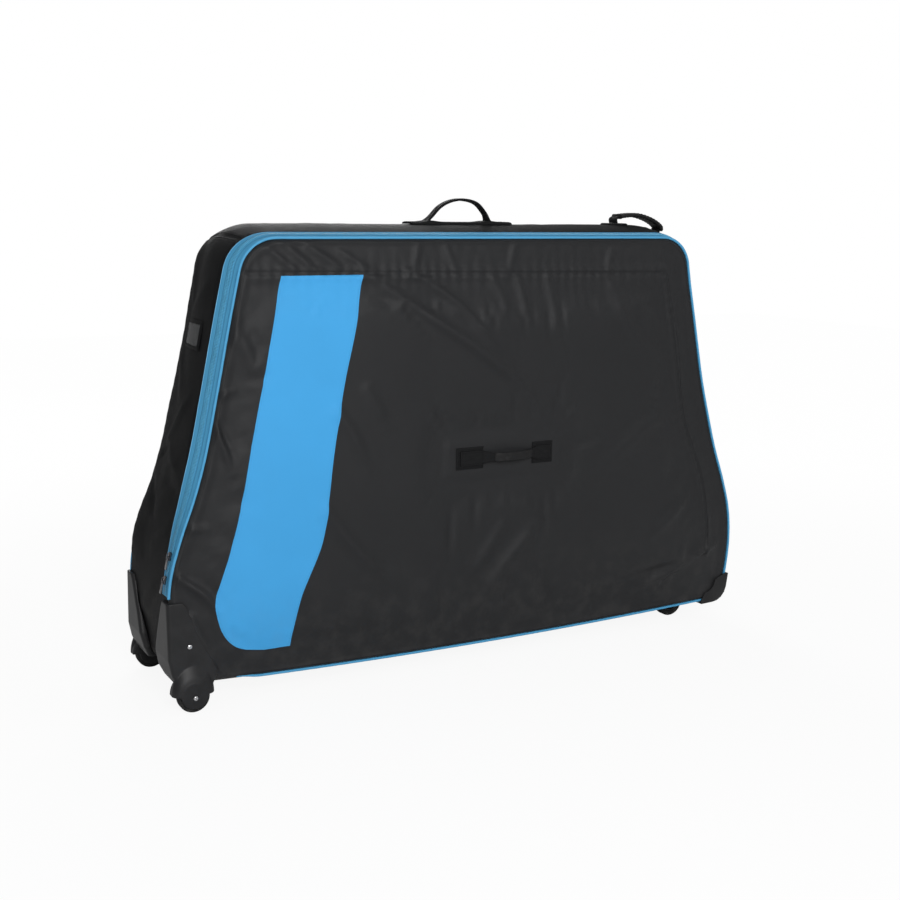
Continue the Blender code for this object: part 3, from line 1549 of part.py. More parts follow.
def build_fork_mount(origin):
    """An upright frame with the axle that the bicycle's fork is clamped on."""
    mount, top = saddle("fork_mount", FORK_POST_X, FORK_POST_L, FORK_POST_W, FORK_POST_H, origin)
    axle_z = top - FORK_AXLE_DROP
    bore = extrude_outline(
        "fork_axle_bore",
        circle_points((FORK_POST_X, axle_z), FORK_AXLE_R + BORE_CLEARANCE, PIN_SIDES), 1,
        -FORK_POST_W, FORK_POST_W, None,
    )
    apply_boolean(mount, bore, "DIFFERENCE")
    half_window = FORK_POST_W / 2 - FORK_POST_FRAME
    sill = top - FORK_POST_H + FORK_POST_FRAME
    window = box(
        "fork_mount_window",
        (FORK_POST_X - FORK_POST_L, -half_window, sill),
        (FORK_POST_X + FORK_POST_L, half_window, axle_z - FORK_AXLE_DROP),
        None,
    )
    apply_boolean(mount, window, "DIFFERENCE")
    chamfer = FORK_AXLE_R / 4
    pin = [
        (0.0, -FORK_AXLE_HALF_L),
        (FORK_AXLE_R - chamfer, -FORK_AXLE_HALF_L),
        (FORK_AXLE_R, chamfer - FORK_AXLE_HALF_L),
        (FORK_AXLE_R, FORK_AXLE_HALF_L - chamfer),
        (FORK_AXLE_R - chamfer, FORK_AXLE_HALF_L),
        (0.0, FORK_AXLE_HALF_L),
    ]
    axle = turn("fork_axle", pin, (FORK_POST_X, 0.0, axle_z), 1, PIN_SIDES, STEEL)
    hang_on(make_pivot("fork_mount_pivot", origin), [mount, axle])


def build_frame_cradle(origin):
    """A post with a soft pad, whose round seat takes the bicycle's bottom bracket."""
    post, top = saddle("frame_cradle", CRADLE_X, CRADLE_POST_L, CRADLE_POST_W, CRADLE_POST_H, origin)
    left, right = CRADLE_X - CRADLE_PAD_L / 2, CRADLE_X + CRADLE_PAD_L / 2
    low, high = top + GAP, top + GAP + CRADLE_PAD_H
    points = [(left, low), (right, low), (right, high)]
    for i in range(SEAT_STEPS + 1):
        angle = math.pi * i / SEAT_STEPS
        along, down = CRADLE_SEAT_R * math.cos(angle), CRADLE_SEAT_R * math.sin(angle)
        points.append((CRADLE_X + along, high - down))
    points.append((left, high))
    pad = extrude_outline("cradle_pad", points, 1, -CRADLE_PAD_W / 2, CRADLE_PAD_W / 2, RUBBER)
    hang_on(make_pivot("cradle_pivot", origin), [post, pad])


def build_bag():
    clear_scene()
    outline = Outline()
    clearances = fender_clearances()
    flap_pieces = build_panels(outline, clearances)
    build_gussets(outline, clearances)
    build_base(outline, clearances)
    flap_pieces += build_piping(outline)
    flap_pieces += build_zip(outline)
    build_sliders(outline)
    flap_pieces.append(build_stripe(outline, "flap_stripe", FOLD_Z + GAP, STRIPE_TOP_Z))
    build_stripe(outline, "lower_stripe", STRIPE_FOOT_Z, FOLD_Z - GAP)
    flap_pieces += build_side_handle()
    hang_on(make_pivot("flap_pivot", (0.0, -FOLD_Y, FOLD_Z)), flap_pieces)
    envelope = body_envelope(outline)
    for side in (-1, 1):
        build_wheel_guard(side, envelope)
        build_wheel(side)
        build_guard_rivet(side)
        build_corner_guard(outline, side, envelope)
        build_caster(side)
    build_caster_tray()
    build_top_handle(outline)
    build_end_handle(outline)
    build_card_pocket(outline)
    build_stand()


build_bag()
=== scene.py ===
"""Soft bike travel bag: its fabrics, seams, zip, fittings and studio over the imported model.

Metres, +Z up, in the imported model's own frame: +X runs along the bag towards its casters,
-Y faces the flap, and the wheels stand on z = 0. Every cloth piece carries a UV map in
metres, so that weaves and webbing keep their real scale.
"""

import json
import logging
import math
from collections.abc import Callable, Sequence
from dataclasses import dataclass
from enum import Enum

import bmesh
import bpy
import numpy as np
from mathutils import Matrix, Vector

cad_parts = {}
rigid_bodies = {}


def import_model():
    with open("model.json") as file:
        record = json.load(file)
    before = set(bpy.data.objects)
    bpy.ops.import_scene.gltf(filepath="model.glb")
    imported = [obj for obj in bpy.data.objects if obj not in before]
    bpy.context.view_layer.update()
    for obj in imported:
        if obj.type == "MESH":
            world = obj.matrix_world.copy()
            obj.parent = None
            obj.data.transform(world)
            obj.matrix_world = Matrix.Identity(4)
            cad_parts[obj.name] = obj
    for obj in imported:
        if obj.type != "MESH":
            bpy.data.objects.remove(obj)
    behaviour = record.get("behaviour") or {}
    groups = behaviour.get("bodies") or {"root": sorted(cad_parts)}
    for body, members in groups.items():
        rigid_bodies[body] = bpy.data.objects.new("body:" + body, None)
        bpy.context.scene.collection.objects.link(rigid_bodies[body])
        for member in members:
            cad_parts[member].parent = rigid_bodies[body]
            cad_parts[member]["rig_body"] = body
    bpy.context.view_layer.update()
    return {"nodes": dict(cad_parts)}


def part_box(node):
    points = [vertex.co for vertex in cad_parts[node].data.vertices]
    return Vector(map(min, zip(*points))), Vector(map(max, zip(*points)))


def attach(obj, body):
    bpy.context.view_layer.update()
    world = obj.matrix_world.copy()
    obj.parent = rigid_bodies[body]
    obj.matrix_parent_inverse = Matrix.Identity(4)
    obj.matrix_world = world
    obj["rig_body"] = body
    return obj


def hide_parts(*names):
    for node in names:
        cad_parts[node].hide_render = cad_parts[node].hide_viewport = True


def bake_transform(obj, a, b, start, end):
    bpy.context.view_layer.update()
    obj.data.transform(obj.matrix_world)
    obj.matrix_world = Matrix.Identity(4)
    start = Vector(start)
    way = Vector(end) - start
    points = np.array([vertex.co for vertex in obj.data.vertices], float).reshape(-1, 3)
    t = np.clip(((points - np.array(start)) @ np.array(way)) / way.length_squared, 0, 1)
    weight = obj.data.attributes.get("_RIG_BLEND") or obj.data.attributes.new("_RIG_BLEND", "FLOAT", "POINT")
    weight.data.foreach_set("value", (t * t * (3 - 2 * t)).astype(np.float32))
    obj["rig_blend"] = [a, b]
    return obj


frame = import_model()

LOG = logging.getLogger("bike_bag")
CLOTH_MAP = "cloth"
IMAGE_SIDE_PX = 900

Array = np.ndarray
Thing = bpy.types.Object
Socket = bpy.types.NodeSocket
Triple = tuple[float, float, float]
Colour = Triple
Spot = tuple[float, float]

TURN = 2 * math.pi

# Clearances and walls that several pieces share
GAP = 0.0003
SKIN_GAP = 0.0005
BORE_CLEARANCE = 0.0004
HOUSING_GAP = 0.0006

# How far sewn-on cloth sinks into what it is sewn to
SEWN_DEPTH = 0.0006


class Body(Enum):
    """The bodies that the pieces ride on."""

    BAG = "bag"
    FLAP = "flap"
    UPPER_PULL = "upper_pull"
    LOWER_PULL = "lower_pull"
    WHEEL_FRONT = "wheel_front"
    WHEEL_REAR = "wheel_rear"
    CASTER_FRONT = "caster_front"
    CASTER_REAR = "caster_rear"
    CASTER_WHEEL_FRONT = "caster_wheel_front"
    CASTER_WHEEL_REAR = "caster_wheel_rear"
    FORK_MOUNT = "fork_mount"
    FRAME_CRADLE = "frame_cradle"


class Slot(Enum):
    """The record's material slots."""

    CHARCOAL = "charcoal_fabric"
    BLACK = "black_fabric"
    BLUE = "blue_fabric"
    LINING = "lining"
    PLASTIC = "black_plastic"
    RUBBER = "rubber"
    STEEL = "steel"
    ALUMINIUM = "aluminium"
    CLEAR = "clear_film"


class Side(Enum):
    """The front of the bag, at -Y, or its rear."""

    FRONT = -1
    REAR = 1

    @property
    def word(self) -> str:
        """The side's name in the names of nodes."""
        return self.name.lower()


def mix(low: float, high: float, share: float) -> float:
    """The value at a share of the way from low to high."""
    return low + (high - low) * share


def bow(share: Array) -> Array:
    """A bow that is nothing at both ends and one in the middle."""
    return 4 * share * (1 - share)


def stacked(*parts: Array) -> Array:
    """Arrays side by side along a new last axis."""
    return np.stack(np.broadcast_arrays(*parts), axis=-1)


def plateau(share: Array, steepness: float) -> Array:
    """A bow cut off at one, so that it is flat but for its ends."""
    return np.minimum(bow(share) * steepness, 1.0)


def smooth_step(low: float, high: float, value: Array) -> Array:
    """A smooth rise from nothing at low to one at high."""
    share = np.clip((np.asarray(value, float) - low) / (high - low), 0.0, 1.0)
    return share * share * (3 - 2 * share)


def hermite(t: Array, start: Array, end: Array, leaving: Array, arriving: Array) -> Array:
    """The cubic curve between two values with given slopes at its ends."""
    return (
        (2 * t**3 - 3 * t**2 + 1) * start + (t**3 - 2 * t**2 + t) * leaving
        + (3 * t**2 - 2 * t**3) * end + (t**3 - t**2) * arriving
    )


def smooth_table(table: Sequence[Sequence[float]], keys: Array, column: int = 1) -> Array:
    """Values of the smooth curve through a table's points.

    Args:
        table: Rows whose first entry is the key.
        keys: Where to read the curve.
        column: The entry of a row to read.

    Returns:
        One value for each key.
    """
    rows = np.array([(row[0], row[column]) for row in table])
    low = np.maximum(np.arange(len(rows)) - 1, 0)
    high = np.minimum(np.arange(len(rows)) + 1, len(rows) - 1)
    slopes = (rows[high, 1] - rows[low, 1]) / (rows[high, 0] - rows[low, 0])
    keys = np.asarray(keys, float)
    i = np.clip(np.searchsorted(rows[:, 0], keys, side="right") - 1, 0, len(rows) - 2)
    width = rows[i + 1, 0] - rows[i, 0]
    share = np.clip((keys - rows[i, 0]) / width, 0.0, 1.0)
    return hermite(share, rows[i, 1], rows[i + 1, 1], width * slopes[i], width * slopes[i + 1])


def smooth_path(points: Sequence[Sequence[float]], steps: int) -> Array:
    """A smooth run of points through the given ones, ends included.

    Args:
        points: The points to pass through.
        steps: How many equal shares of the spans to take.

    Returns:
        An array of steps + 1 points.
    """
    path = np.asarray(points, float)
    spans = len(path) - 1
    place = np.arange(steps + 1) * spans / steps
    i = np.minimum(place.astype(int), spans - 1)
    t = (place - i)[:, None]
    before, after = path[np.maximum(i - 1, 0)], path[np.minimum(i + 2, spans)]
    start, end = path[i], path[i + 1]
    return hermite(t, start, end, (end - before) / 2, (after - start) / 2)


def evenly(path: Array, spacing: float) -> Array:
    """The same path with its points a constant distance apart.

    Args:
        path: Points in any number of dimensions.
        spacing: The wanted distance, kept nearly so that the ends stay.

    Returns:
        The points of the respaced path.
    """
    lengths = running(path)
    count = max(int(round(lengths[-1] / spacing)), 1)
    places = np.linspace(0.0, lengths[-1], count + 1)
    return np.stack([np.interp(places, lengths, path[:, k]) for k in range(path.shape[1])], axis=1)


def unit(vectors: Array) -> Array:
    """The same vectors at length one."""
    return vectors / np.maximum(np.linalg.norm(vectors, axis=-1, keepdims=True), 1e-12)


def running(path: Array) -> Array:
    """The running length at each point of a path, from nothing at its start."""
    return np.concatenate([[0.0], np.cumsum(np.linalg.norm(np.diff(path, axis=0), axis=1))])


def operation(kind: str, swapped: bool = False) -> "Callable[..., Value]":
    """A method that puts a Math node after a value and any further operand.

    Args:
        kind: The node's operation.
        swapped: Whether the further operand comes first.

    Returns:
        The method.
    """

    def method(value: "Value", *others: "Value | float") -> "Value":
        operands = (*others, value) if swapped else (value, *others)
        return value.shader.math(kind, *operands)

    return method


class Value:
    """A number that varies over a surface: arithmetic on it adds Math nodes."""

    __add__, __radd__ = operation("ADD"), operation("ADD", True)
    __sub__, __rsub__ = operation("SUBTRACT"), operation("SUBTRACT", True)
    __mul__, __rmul__ = operation("MULTIPLY"), operation("MULTIPLY", True)
    __truediv__, __pow__ = operation("DIVIDE"), operation("POWER")
    sine, magnitude = operation("SINE"), operation("ABSOLUTE")
    floor, fraction = operation("FLOOR"), operation("FRACT")

    def __init__(self, shader: "Shader", socket: Socket) -> None:
        """Keep the socket and the shader that it belongs to."""
        self.shader, self.socket = shader, socket

    def ripple(self) -> "Value":
        """A wave between nothing and one that repeats with each whole number."""
        return (self * TURN).sine() * 0.5 + 0.5

    def rise(self, low: float, high: float, start: float = 0.0, end: float = 1.0) -> "Value":
        """A smooth change from start to end as the value goes from low to high."""
        node = self.shader.add(
            "ShaderNodeMapRange",
            {"interpolation_type": "SMOOTHSTEP"},
            {"Value": self, "From Min": low, "From Max": high, "To Min": start, "To Max": end},
        )
        return Value(self.shader, node.outputs["Result"])


class Tree:
    """A node tree under construction, with one method that adds any node."""

    tree: bpy.types.NodeTree

    def add(
        self, kind: str, settings: dict[str, object] | None = None,
        sockets: dict[str | int, object] | None = None,
    ) -> bpy.types.Node:
        """Add a node.

        Args:
            kind: The node's type.
            settings: Its properties, which are set first.
            sockets: Values or links for its inputs, by name or number.

        Returns:
            The node.
        """
        node = self.tree.nodes.new(kind)
        for name, value in (settings or {}).items():
            setattr(node, name, value)
        for key, value in (sockets or {}).items():
            self.feed(node.inputs[key], value)
        return node

    def feed(self, socket: Socket, value: object) -> None:
        """Link a socket or set its constant."""
        value = value.socket if isinstance(value, Value) else value
        if isinstance(value, Socket):
            self.tree.links.new(value, socket)
        elif isinstance(value, tuple) and len(value) == 3 and socket.type == "RGBA":
            socket.default_value = (*value, 1.0)
        else:
            socket.default_value = value


class Shader(Tree):
    """One material under construction."""

    def __init__(self, name: str) -> None:
        """Start a material that holds only its Principled surface."""
        self.material = bpy.data.materials.new(name)
        self.material.use_nodes = True
        self.tree = self.material.node_tree
        self.surface = self.tree.nodes["Principled BSDF"]

    def math(self, operation: str, *operands: Value | float) -> Value:
        """A Math node on one or two values."""
        node = self.add("ShaderNodeMath", {"operation": operation}, dict(enumerate(operands)))
        return Value(self, node.outputs[0])

    def split(self, vector: Socket) -> tuple[Value, Value, Value]:
        """The three parts of a vector."""
        node = self.add("ShaderNodeSeparateXYZ", None, {"Vector": vector})
        return tuple(Value(self, node.outputs[k]) for k in range(3))

    def join(self, x: Value | float, y: Value | float, z: Value | float) -> Socket:
        """A vector from three values."""
        return self.add("ShaderNodeCombineXYZ", None, {"X": x, "Y": y, "Z": z}).outputs[0]

    def place(self) -> Socket:
        """The place on the object, in metres."""
        return self.add("ShaderNodeTexCoord").outputs["Object"]

    def cloth(self) -> Socket:
        """The place on the cloth, in metres along its threads."""
        return self.add("ShaderNodeUVMap", {"uv_map": CLOTH_MAP}).outputs["UV"]

    def noise(self, vector: Socket, size: float, detail: float = 3.0, rough: float = 0.55) -> Value:
        """Cloudy noise of about a given size in metres, near 0.5."""
        node = self.add(
            "ShaderNodeTexNoise", None,
            {"Vector": vector, "Scale": 1.0 / size, "Detail": detail, "Roughness": rough},
        )
        return Value(self, node.outputs[0])

    def blend(self, factor: Value | float, low: object, high: object) -> Socket:
        """A colour between two."""
        return self.add("ShaderNodeMix", {"data_type": "RGBA"}, {0: factor, 6: low, 7: high}).outputs[2]

    def tones(self, factor: Value, colour: Colour, dark: float, bright: float) -> Socket:
        """A colour between a darker and a brighter tone of one."""
        return self.blend(factor, shade(colour, dark), shade(colour, bright))

    def bump(self, height: Value, depth: float, strength: float, under: Socket | None = None) -> Socket:
        """A normal raised by a height.

        Args:
            height: From nothing to one.
            depth: The height of one, in metres.
            strength: The share that shows.
            under: A normal that this one adds to.

        Returns:
            The normal's socket.
        """
        sockets = {"Height": height, "Distance": depth, "Strength": strength}
        if under is not None:
            sockets["Normal"] = under
        return self.add("ShaderNodeBump", None, sockets).outputs["Normal"]

    def finish(self, **sockets: object) -> bpy.types.Material:
        """Set the surface's sockets by name, with spaces as underscores."""
        for name, value in sockets.items():
            self.feed(self.surface.inputs[name.replace("_", " ")], value)
        return self.material


def shade(colour: Colour, factor: float) -> Colour:
    """A colour made darker or lighter by a factor."""
    return tuple(min(part * factor, 1.0) for part in colour)


@dataclass(frozen=True)
class Finish:
    """A surface finish, which makes its material once."""

    name: str
    colour: Colour

    def material(self) -> bpy.types.Material:
        """The finish's material, made on first use."""
        made = bpy.data.materials.get(self.name)
        return made if made else self.paint(Shader(self.name))

    def paint(self, shader: Shader) -> bpy.types.Material:
        """Build the material's nodes."""
        raise NotImplementedError


@dataclass(frozen=True)
class CoatedWeave(Finish):
    """Plain-woven polyester with a soft coating: little pillows of thread, faint creases, dust."""

    pitch: float = 0.0009
    roughness: float = 0.62
    gloss: float = 0.22
    crease: float = 0.0012
    dust: float = 0.10

    def paint(self, shader: Shader) -> bpy.types.Material:
        """Build the weave, its creases and the dust near the ground."""
        across, along, _ = shader.split(shader.cloth())
        place = shader.place()
        thread = weave_height(across / self.pitch, along / self.pitch)
        clouds = shader.noise(place, 0.22, 4.0)
        streaks = shader.noise(place, 0.035, 4.0, 0.6)
        tone = (0.78 + 0.30 * thread) * (0.90 + 0.20 * clouds)
        body = shader.tones(tone.rise(0.45, 1.35), self.colour, 0.55, 1.30)
        height = shader.split(place)[2]
        grime = height.rise(0.05, 0.30, self.dust, 0.0) * streaks.rise(0.40, 0.70)
        coloured = shader.blend(grime, body, (0.16, 0.15, 0.14))
        creased = shader.bump(streaks, self.crease, 0.55)
        woven = shader.bump(thread, self.pitch * 0.18, 0.55, creased)
        return shader.finish(
            Base_Color=coloured,
            Roughness=self.roughness + 0.14 * (streaks - 0.5) + 0.06 * thread,
            Specular_IOR_Level=self.gloss,
            Normal=woven,
        )


def weave_height(u: Value, v: Value) -> Value:
    """Height of a plain weave, whose threads pass over and under each other.

    Args:
        u: Place across the cloth, in threads.
        v: Place along the cloth, in threads.

    Returns:
        From nothing between the threads to one on their crowns.
    """
    odd = ((u.floor() + v.floor()) * 0.5).fraction() * 2.0
    hump_u = (u.fraction() * math.pi).sine()
    hump_v = (v.fraction() * math.pi).sine()
    over = (hump_u ** 0.45) * (hump_v ** 1.1)
    under = (hump_u ** 1.1) * (hump_v ** 0.45)
    return odd * over + (1.0 - odd) * under


@dataclass(frozen=True)
class Webbing(Finish):
    """Heavy woven strap: slanted ribs in bands that change direction, with bound edges."""

    rib: float = 0.0020
    band: float = 0.0060
    roughness: float = 0.70

    def paint(self, shader: Shader) -> bpy.types.Material:
        """Build the herringbone ribs."""
        across, along, _ = shader.split(shader.cloth())
        zigzag = ((across / self.band).fraction() - 0.5).magnitude() * (self.band / self.rib)
        ribs = (along / self.rib + zigzag).ripple()
        cords = (across / (self.rib * 0.6)).ripple()
        height = ribs * 0.75 + cords * 0.25
        worn = shader.noise(shader.place(), 0.012, 4.0)
        coloured = shader.tones((height * (0.7 + 0.6 * worn)).rise(0.1, 1.1), self.colour, 0.45, 1.5)
        return shader.finish(
            Base_Color=coloured,
            Roughness=self.roughness + 0.15 * (worn - 0.5),
            Specular_IOR_Level=0.14,
            Normal=shader.bump(height, self.rib * 0.20, 0.8),
        )


@dataclass(frozen=True)
class ZipTapeWeave(Finish):
    """Knitted zip tape: fine cords along its length, with a painted highlight along its folded outer edge and
    a painted shadow line beside the teeth.
    """

    cord: float = 0.0011
    # Width of the painted highlight along the folded outer edge
    edge: float = 0.0018
    # Where the painted shadow line beside the teeth lies across the tape, and its width
    groove: float = 0.0096
    groove_width: float = 0.0007

    def paint(self, shader: Shader) -> bpy.types.Material:
        """Build the cords, the painted highlight on the outer edge and the painted shadow line beside the
        teeth.
        """
        across, along, _ = shader.split(shader.cloth())
        cords = (across / self.cord).ripple()
        picks = (along / (self.cord * 0.8)).ripple()
        height = cords * 0.65 + picks * 0.35
        # Painted highlight: the outer edge is drawn paler, towards a pale blue, as if its fold caught the
        # light
        rim = across.rise(0.0, self.edge, 1.0, 0.0)
        tone = (height * 0.5 + rim * 0.75).rise(0.0, 1.25)
        coloured = shader.tones(tone, self.colour, 0.70, 1.30)
        coloured = shader.blend(rim * 0.75, coloured, (0.24, 0.52, 0.74))
        # Painted shadow: a dark line beside the teeth, where shade falls into the gap between tape and coil
        beside = (across - self.groove).magnitude().rise(0.0, self.groove_width, 0.85, 0.0)
        coloured = shader.blend(beside, coloured, shade(self.colour, 0.16))
        return shader.finish(
            Base_Color=coloured,
            Roughness=0.66 - 0.08 * height,
            Specular_IOR_Level=0.20,
            Normal=shader.bump(height, self.cord * 0.16, 0.7),
        )


@dataclass(frozen=True)
class TwistedThread(Finish):
    """Sewing thread: a fine twist with a slight lustre."""

    twist: float = 0.0007

    def paint(self, shader: Shader) -> bpy.types.Material:
        """Build the twist from the place on the object."""
        x, y, z = shader.split(shader.place())
        plies = ((x + y + z) / self.twist).ripple()
        coloured = shader.tones(plies, self.colour, 0.7, 1.25)
        return shader.finish(Base_Color=coloured, Roughness=0.62, Specular_IOR_Level=0.12)


@dataclass(frozen=True)
class MouldedPlastic(Finish):
    """Textured polypropylene: a leathery grain, scuffs that grow towards the ground."""

    grain: float = 0.0011
    depth: float = 0.00012
    roughness: float = 0.46
    scuffs: float = 0.35

    def paint(self, shader: Shader) -> bpy.types.Material:
        """Build the grain and the scuffs."""
        place = shader.place()
        cells = shader.add(
            "ShaderNodeTexVoronoi", {"feature": "SMOOTH_F1"},
            {"Vector": place, "Scale": 1.0 / self.grain, "Randomness": 1.0},
        )
        grain = Value(shader, cells.outputs["Distance"])
        x, y, z = shader.split(place)
        scratched = shader.noise(shader.join(x * 4.0, y * 4.0, z * 0.7), 0.016, 6.0, 0.7)
        clouds = shader.noise(place, 0.03, 3.0)
        wear = scratched.rise(0.60, 0.72) * z.rise(0.02, 0.16, self.scuffs, self.scuffs * 0.15)
        base = shader.tones(clouds.rise(0.3, 0.7), self.colour, 0.85, 1.2)
        coloured = shader.blend(wear, base, shade(self.colour, 4.0))
        return shader.finish(
            Base_Color=coloured,
            Roughness=self.roughness + 0.25 * wear + 0.10 * (clouds - 0.5),
            Specular_IOR_Level=0.25,
            Normal=shader.bump(grain, self.depth, 0.6),
        )


@dataclass(frozen=True)
class WornRubber(Finish):
    """Rubber: matt, with fine pits and a dusty bloom."""

    roughness: float = 0.68
    bloom: float = 0.30

    def paint(self, shader: Shader) -> bpy.types.Material:
        """Build the pits and the bloom."""
        place = shader.place()
        pits = shader.noise(place, 0.0009, 2.0)
        bloom = shader.noise(place, 0.018, 5.0, 0.65)
        dusty = bloom.rise(0.45, 0.72, 0.0, self.bloom)
        return shader.finish(
            Base_Color=shader.blend(dusty, self.colour, (0.085, 0.082, 0.078)),
            Roughness=self.roughness + 0.18 * dusty,
            Specular_IOR_Level=0.18,
            Normal=shader.bump(pits, 0.00010, 0.6),
        )


@dataclass(frozen=True)
class WorkedMetal(Finish):
    """Plated or anodised metal: drawn marks along X and a patchy sheen."""

    roughness: float = 0.26
    marks: float = 0.0004

    def paint(self, shader: Shader) -> bpy.types.Material:
        """Build the drawn marks."""
        place = shader.place()
        x, y, z = shader.split(place)
        drawn = shader.noise(shader.join(x * 0.05, y, z), self.marks, 3.0)
        patches = shader.noise(place, 0.010, 4.0, 0.6)
        return shader.finish(
            Base_Color=shader.tones(drawn * 0.5 + patches * 0.5, self.colour, 0.82, 1.10),
            Metallic=1.0,
            Roughness=self.roughness + 0.20 * (patches - 0.4) + 0.12 * (drawn - 0.5),
            Normal=shader.bump(drawn, 0.00003, 0.5),
        )


@dataclass(frozen=True)
class GlossyNylon(Finish):
    """Moulded or drawn nylon, such as zip teeth."""

    roughness: float = 0.38

    def paint(self, shader: Shader) -> bpy.types.Material:
        """Build the slightly uneven gloss."""
        patches = shader.noise(shader.place(), 0.006, 3.0)
        coloured = shader.tones(patches, self.colour, 0.80, 1.25)
        return shader.finish(
            Base_Color=coloured, Roughness=self.roughness + 0.2 * (patches - 0.5),
            Specular_IOR_Level=0.5,
        )


@dataclass(frozen=True)
class WindowFilm(Finish):
    """Clear soft film with a little haze."""

    def paint(self, shader: Shader) -> bpy.types.Material:
        """Build the haze and the waves in the film."""
        waves = shader.noise(shader.place(), 0.009, 3.0)
        return shader.finish(
            Base_Color=self.colour, Alpha=0.16 + 0.10 * waves, Roughness=0.16 + 0.10 * waves,
            Specular_IOR_Level=0.28, Normal=shader.bump(waves, 0.0006, 0.7),
        )


@dataclass(frozen=True)
class BrushedLining(Finish):
    """Lining cloth over foam: a soft knit with a brushed nap."""

    loop: float = 0.0016

    def paint(self, shader: Shader) -> bpy.types.Material:
        """Build the knit and the nap."""
        across, along, _ = shader.split(shader.cloth())
        rows = (along / self.loop).floor() * 0.5
        loops = (across / self.loop + rows).ripple()
        bars = (along / self.loop).ripple()
        nap = shader.noise(shader.place(), 0.004, 5.0, 0.7)
        height = loops * bars * 0.7 + nap * 0.6
        coloured = shader.tones(height.rise(0.1, 0.9), self.colour, 0.6, 1.3)
        return shader.finish(
            Base_Color=coloured, Roughness=0.88, Specular_IOR_Level=0.15,
            Sheen_Weight=0.25, Normal=shader.bump(height, self.loop * 0.25, 0.6),
        )


CHARCOAL = CoatedWeave("charcoal_cloth", (0.0140, 0.0144, 0.0156), roughness=0.46, gloss=0.22, dust=0.06)
BLACK_CLOTH = CoatedWeave("black_cloth", (0.0082, 0.0084, 0.0090), roughness=0.60, gloss=0.06, dust=0.16)
STRIPE_CLOTH = CoatedWeave(
    "stripe_cloth", (0.052, 0.322, 0.655), pitch=0.0008, roughness=0.55, gloss=0.14,
    crease=0.0006, dust=0.05,
)
# Both tapes carry the painted shadow line of ZipTapeWeave; the zip tape also carries its painted edge
# highlight
BLUE_TAPE = ZipTapeWeave("zip_tape", (0.075, 0.330, 0.560))
PIPING_TAPE = ZipTapeWeave("piping_tape", (0.090, 0.390, 0.680), cord=0.0009, edge=0.0001)
BLUE_NYLON = GlossyNylon("zip_nylon", (0.105, 0.410, 0.640))
STRAP = Webbing("black_webbing", (0.0072, 0.0074, 0.0080))
BLACK_THREAD = TwistedThread("black_thread", (0.0040, 0.0040, 0.0045))
BLUE_THREAD = TwistedThread("blue_thread", (0.060, 0.290, 0.560))
GUARD_PLASTIC = MouldedPlastic("guard_plastic", (0.0125, 0.0126, 0.0134))
SMOOTH_PLASTIC = MouldedPlastic("smooth_plastic", (0.0150, 0.0150, 0.0155), grain=0.0005, roughness=0.36)
BOARD_PLASTIC = MouldedPlastic("board_plastic", (0.030, 0.030, 0.031), grain=0.0016, roughness=0.52)
TYRE_RUBBER = WornRubber("tyre_rubber", (0.0110, 0.0110, 0.0112))
GRIP_RUBBER = WornRubber("grip_rubber", (0.0085, 0.0085, 0.0090), roughness=0.60, bloom=0.12)
PLATED = WorkedMetal("plated_steel", (0.58, 0.58, 0.59))
DARK_METAL = WorkedMetal("dark_nickel", (0.16, 0.16, 0.17), roughness=0.24)
ANODISED = WorkedMetal("anodised_aluminium", (0.50, 0.51, 0.52), roughness=0.34, marks=0.0008)
FILM = WindowFilm("window_film", (0.16, 0.165, 0.17))
CARD = CoatedWeave(
    "card_paper", (0.022, 0.022, 0.023), pitch=0.0004, roughness=0.7, gloss=0.10, crease=0.0001, dust=0.0,
)
LINING = BrushedLining("lining_cloth", (0.050, 0.050, 0.055))


def signed_volume(points: Array, faces: Sequence[Sequence[int]]) -> float:
    """Six times the closed volume of a mesh, from fans of triangles."""
    triangles = [(f[0], f[k], f[k + 1]) for f in faces for k in range(1, len(f) - 1)]
    corners = points[np.array(triangles)]
    return float(np.einsum("ij,ij->i", corners[:, 0], np.cross(corners[:, 1], corners[:, 2])).sum())


# How far the soft shell leans in at its ends, and the spans over which it starts to lean
LEFT_LEAN, LEFT_LEAN_X, LEFT_LEAN_Y, LEFT_LEAN_Z = 0.0165, (0.45, 0.62), (-0.03, 0.125), (0.34, 0.80)
RIGHT_LEAN, RIGHT_LEAN_X, RIGHT_LEAN_Z, RIGHT_LEAN_TOP = 0.0055, (0.36, 0.47), (0.44, 0.58), (-0.88, -0.74)


def leaning(points: Array) -> Array:
    """Points moved as the soft shell leans in behind its left shoulder and at its right end."""
    x, y, z = np.moveaxis(np.asarray(points, dtype=float), -1, 0)
    behind = smooth_step(*LEFT_LEAN_Y, y) * smooth_step(*LEFT_LEAN_X, -x)
    left = LEFT_LEAN * behind * smooth_step(*LEFT_LEAN_Z, z)
    beside = smooth_step(*RIGHT_LEAN_X, x) * smooth_step(*RIGHT_LEAN_Z, z) * smooth_step(*RIGHT_LEAN_TOP, -z)
    return stacked(x + left - RIGHT_LEAN * beside, y, z)


def linked(name: str, data: bpy.types.ID) -> Thing:
    """An object of a mesh, a light or a camera, in the scene."""
    obj = bpy.data.objects.new(name, data)
    bpy.context.scene.collection.objects.link(obj)
    return obj


def plain_mesh(obj: Thing) -> bpy.types.Mesh:
    """A new mesh of what an object's live modifiers make of it."""
    bpy.context.view_layer.update()
    graph = bpy.context.evaluated_depsgraph_get()
    return bpy.data.meshes.new_from_object(obj.evaluated_get(graph))


def discard(obj: Thing) -> None:
    """Remove an object and its mesh."""
    mesh = obj.data
    bpy.data.objects.remove(obj)
    bpy.data.meshes.remove(mesh)


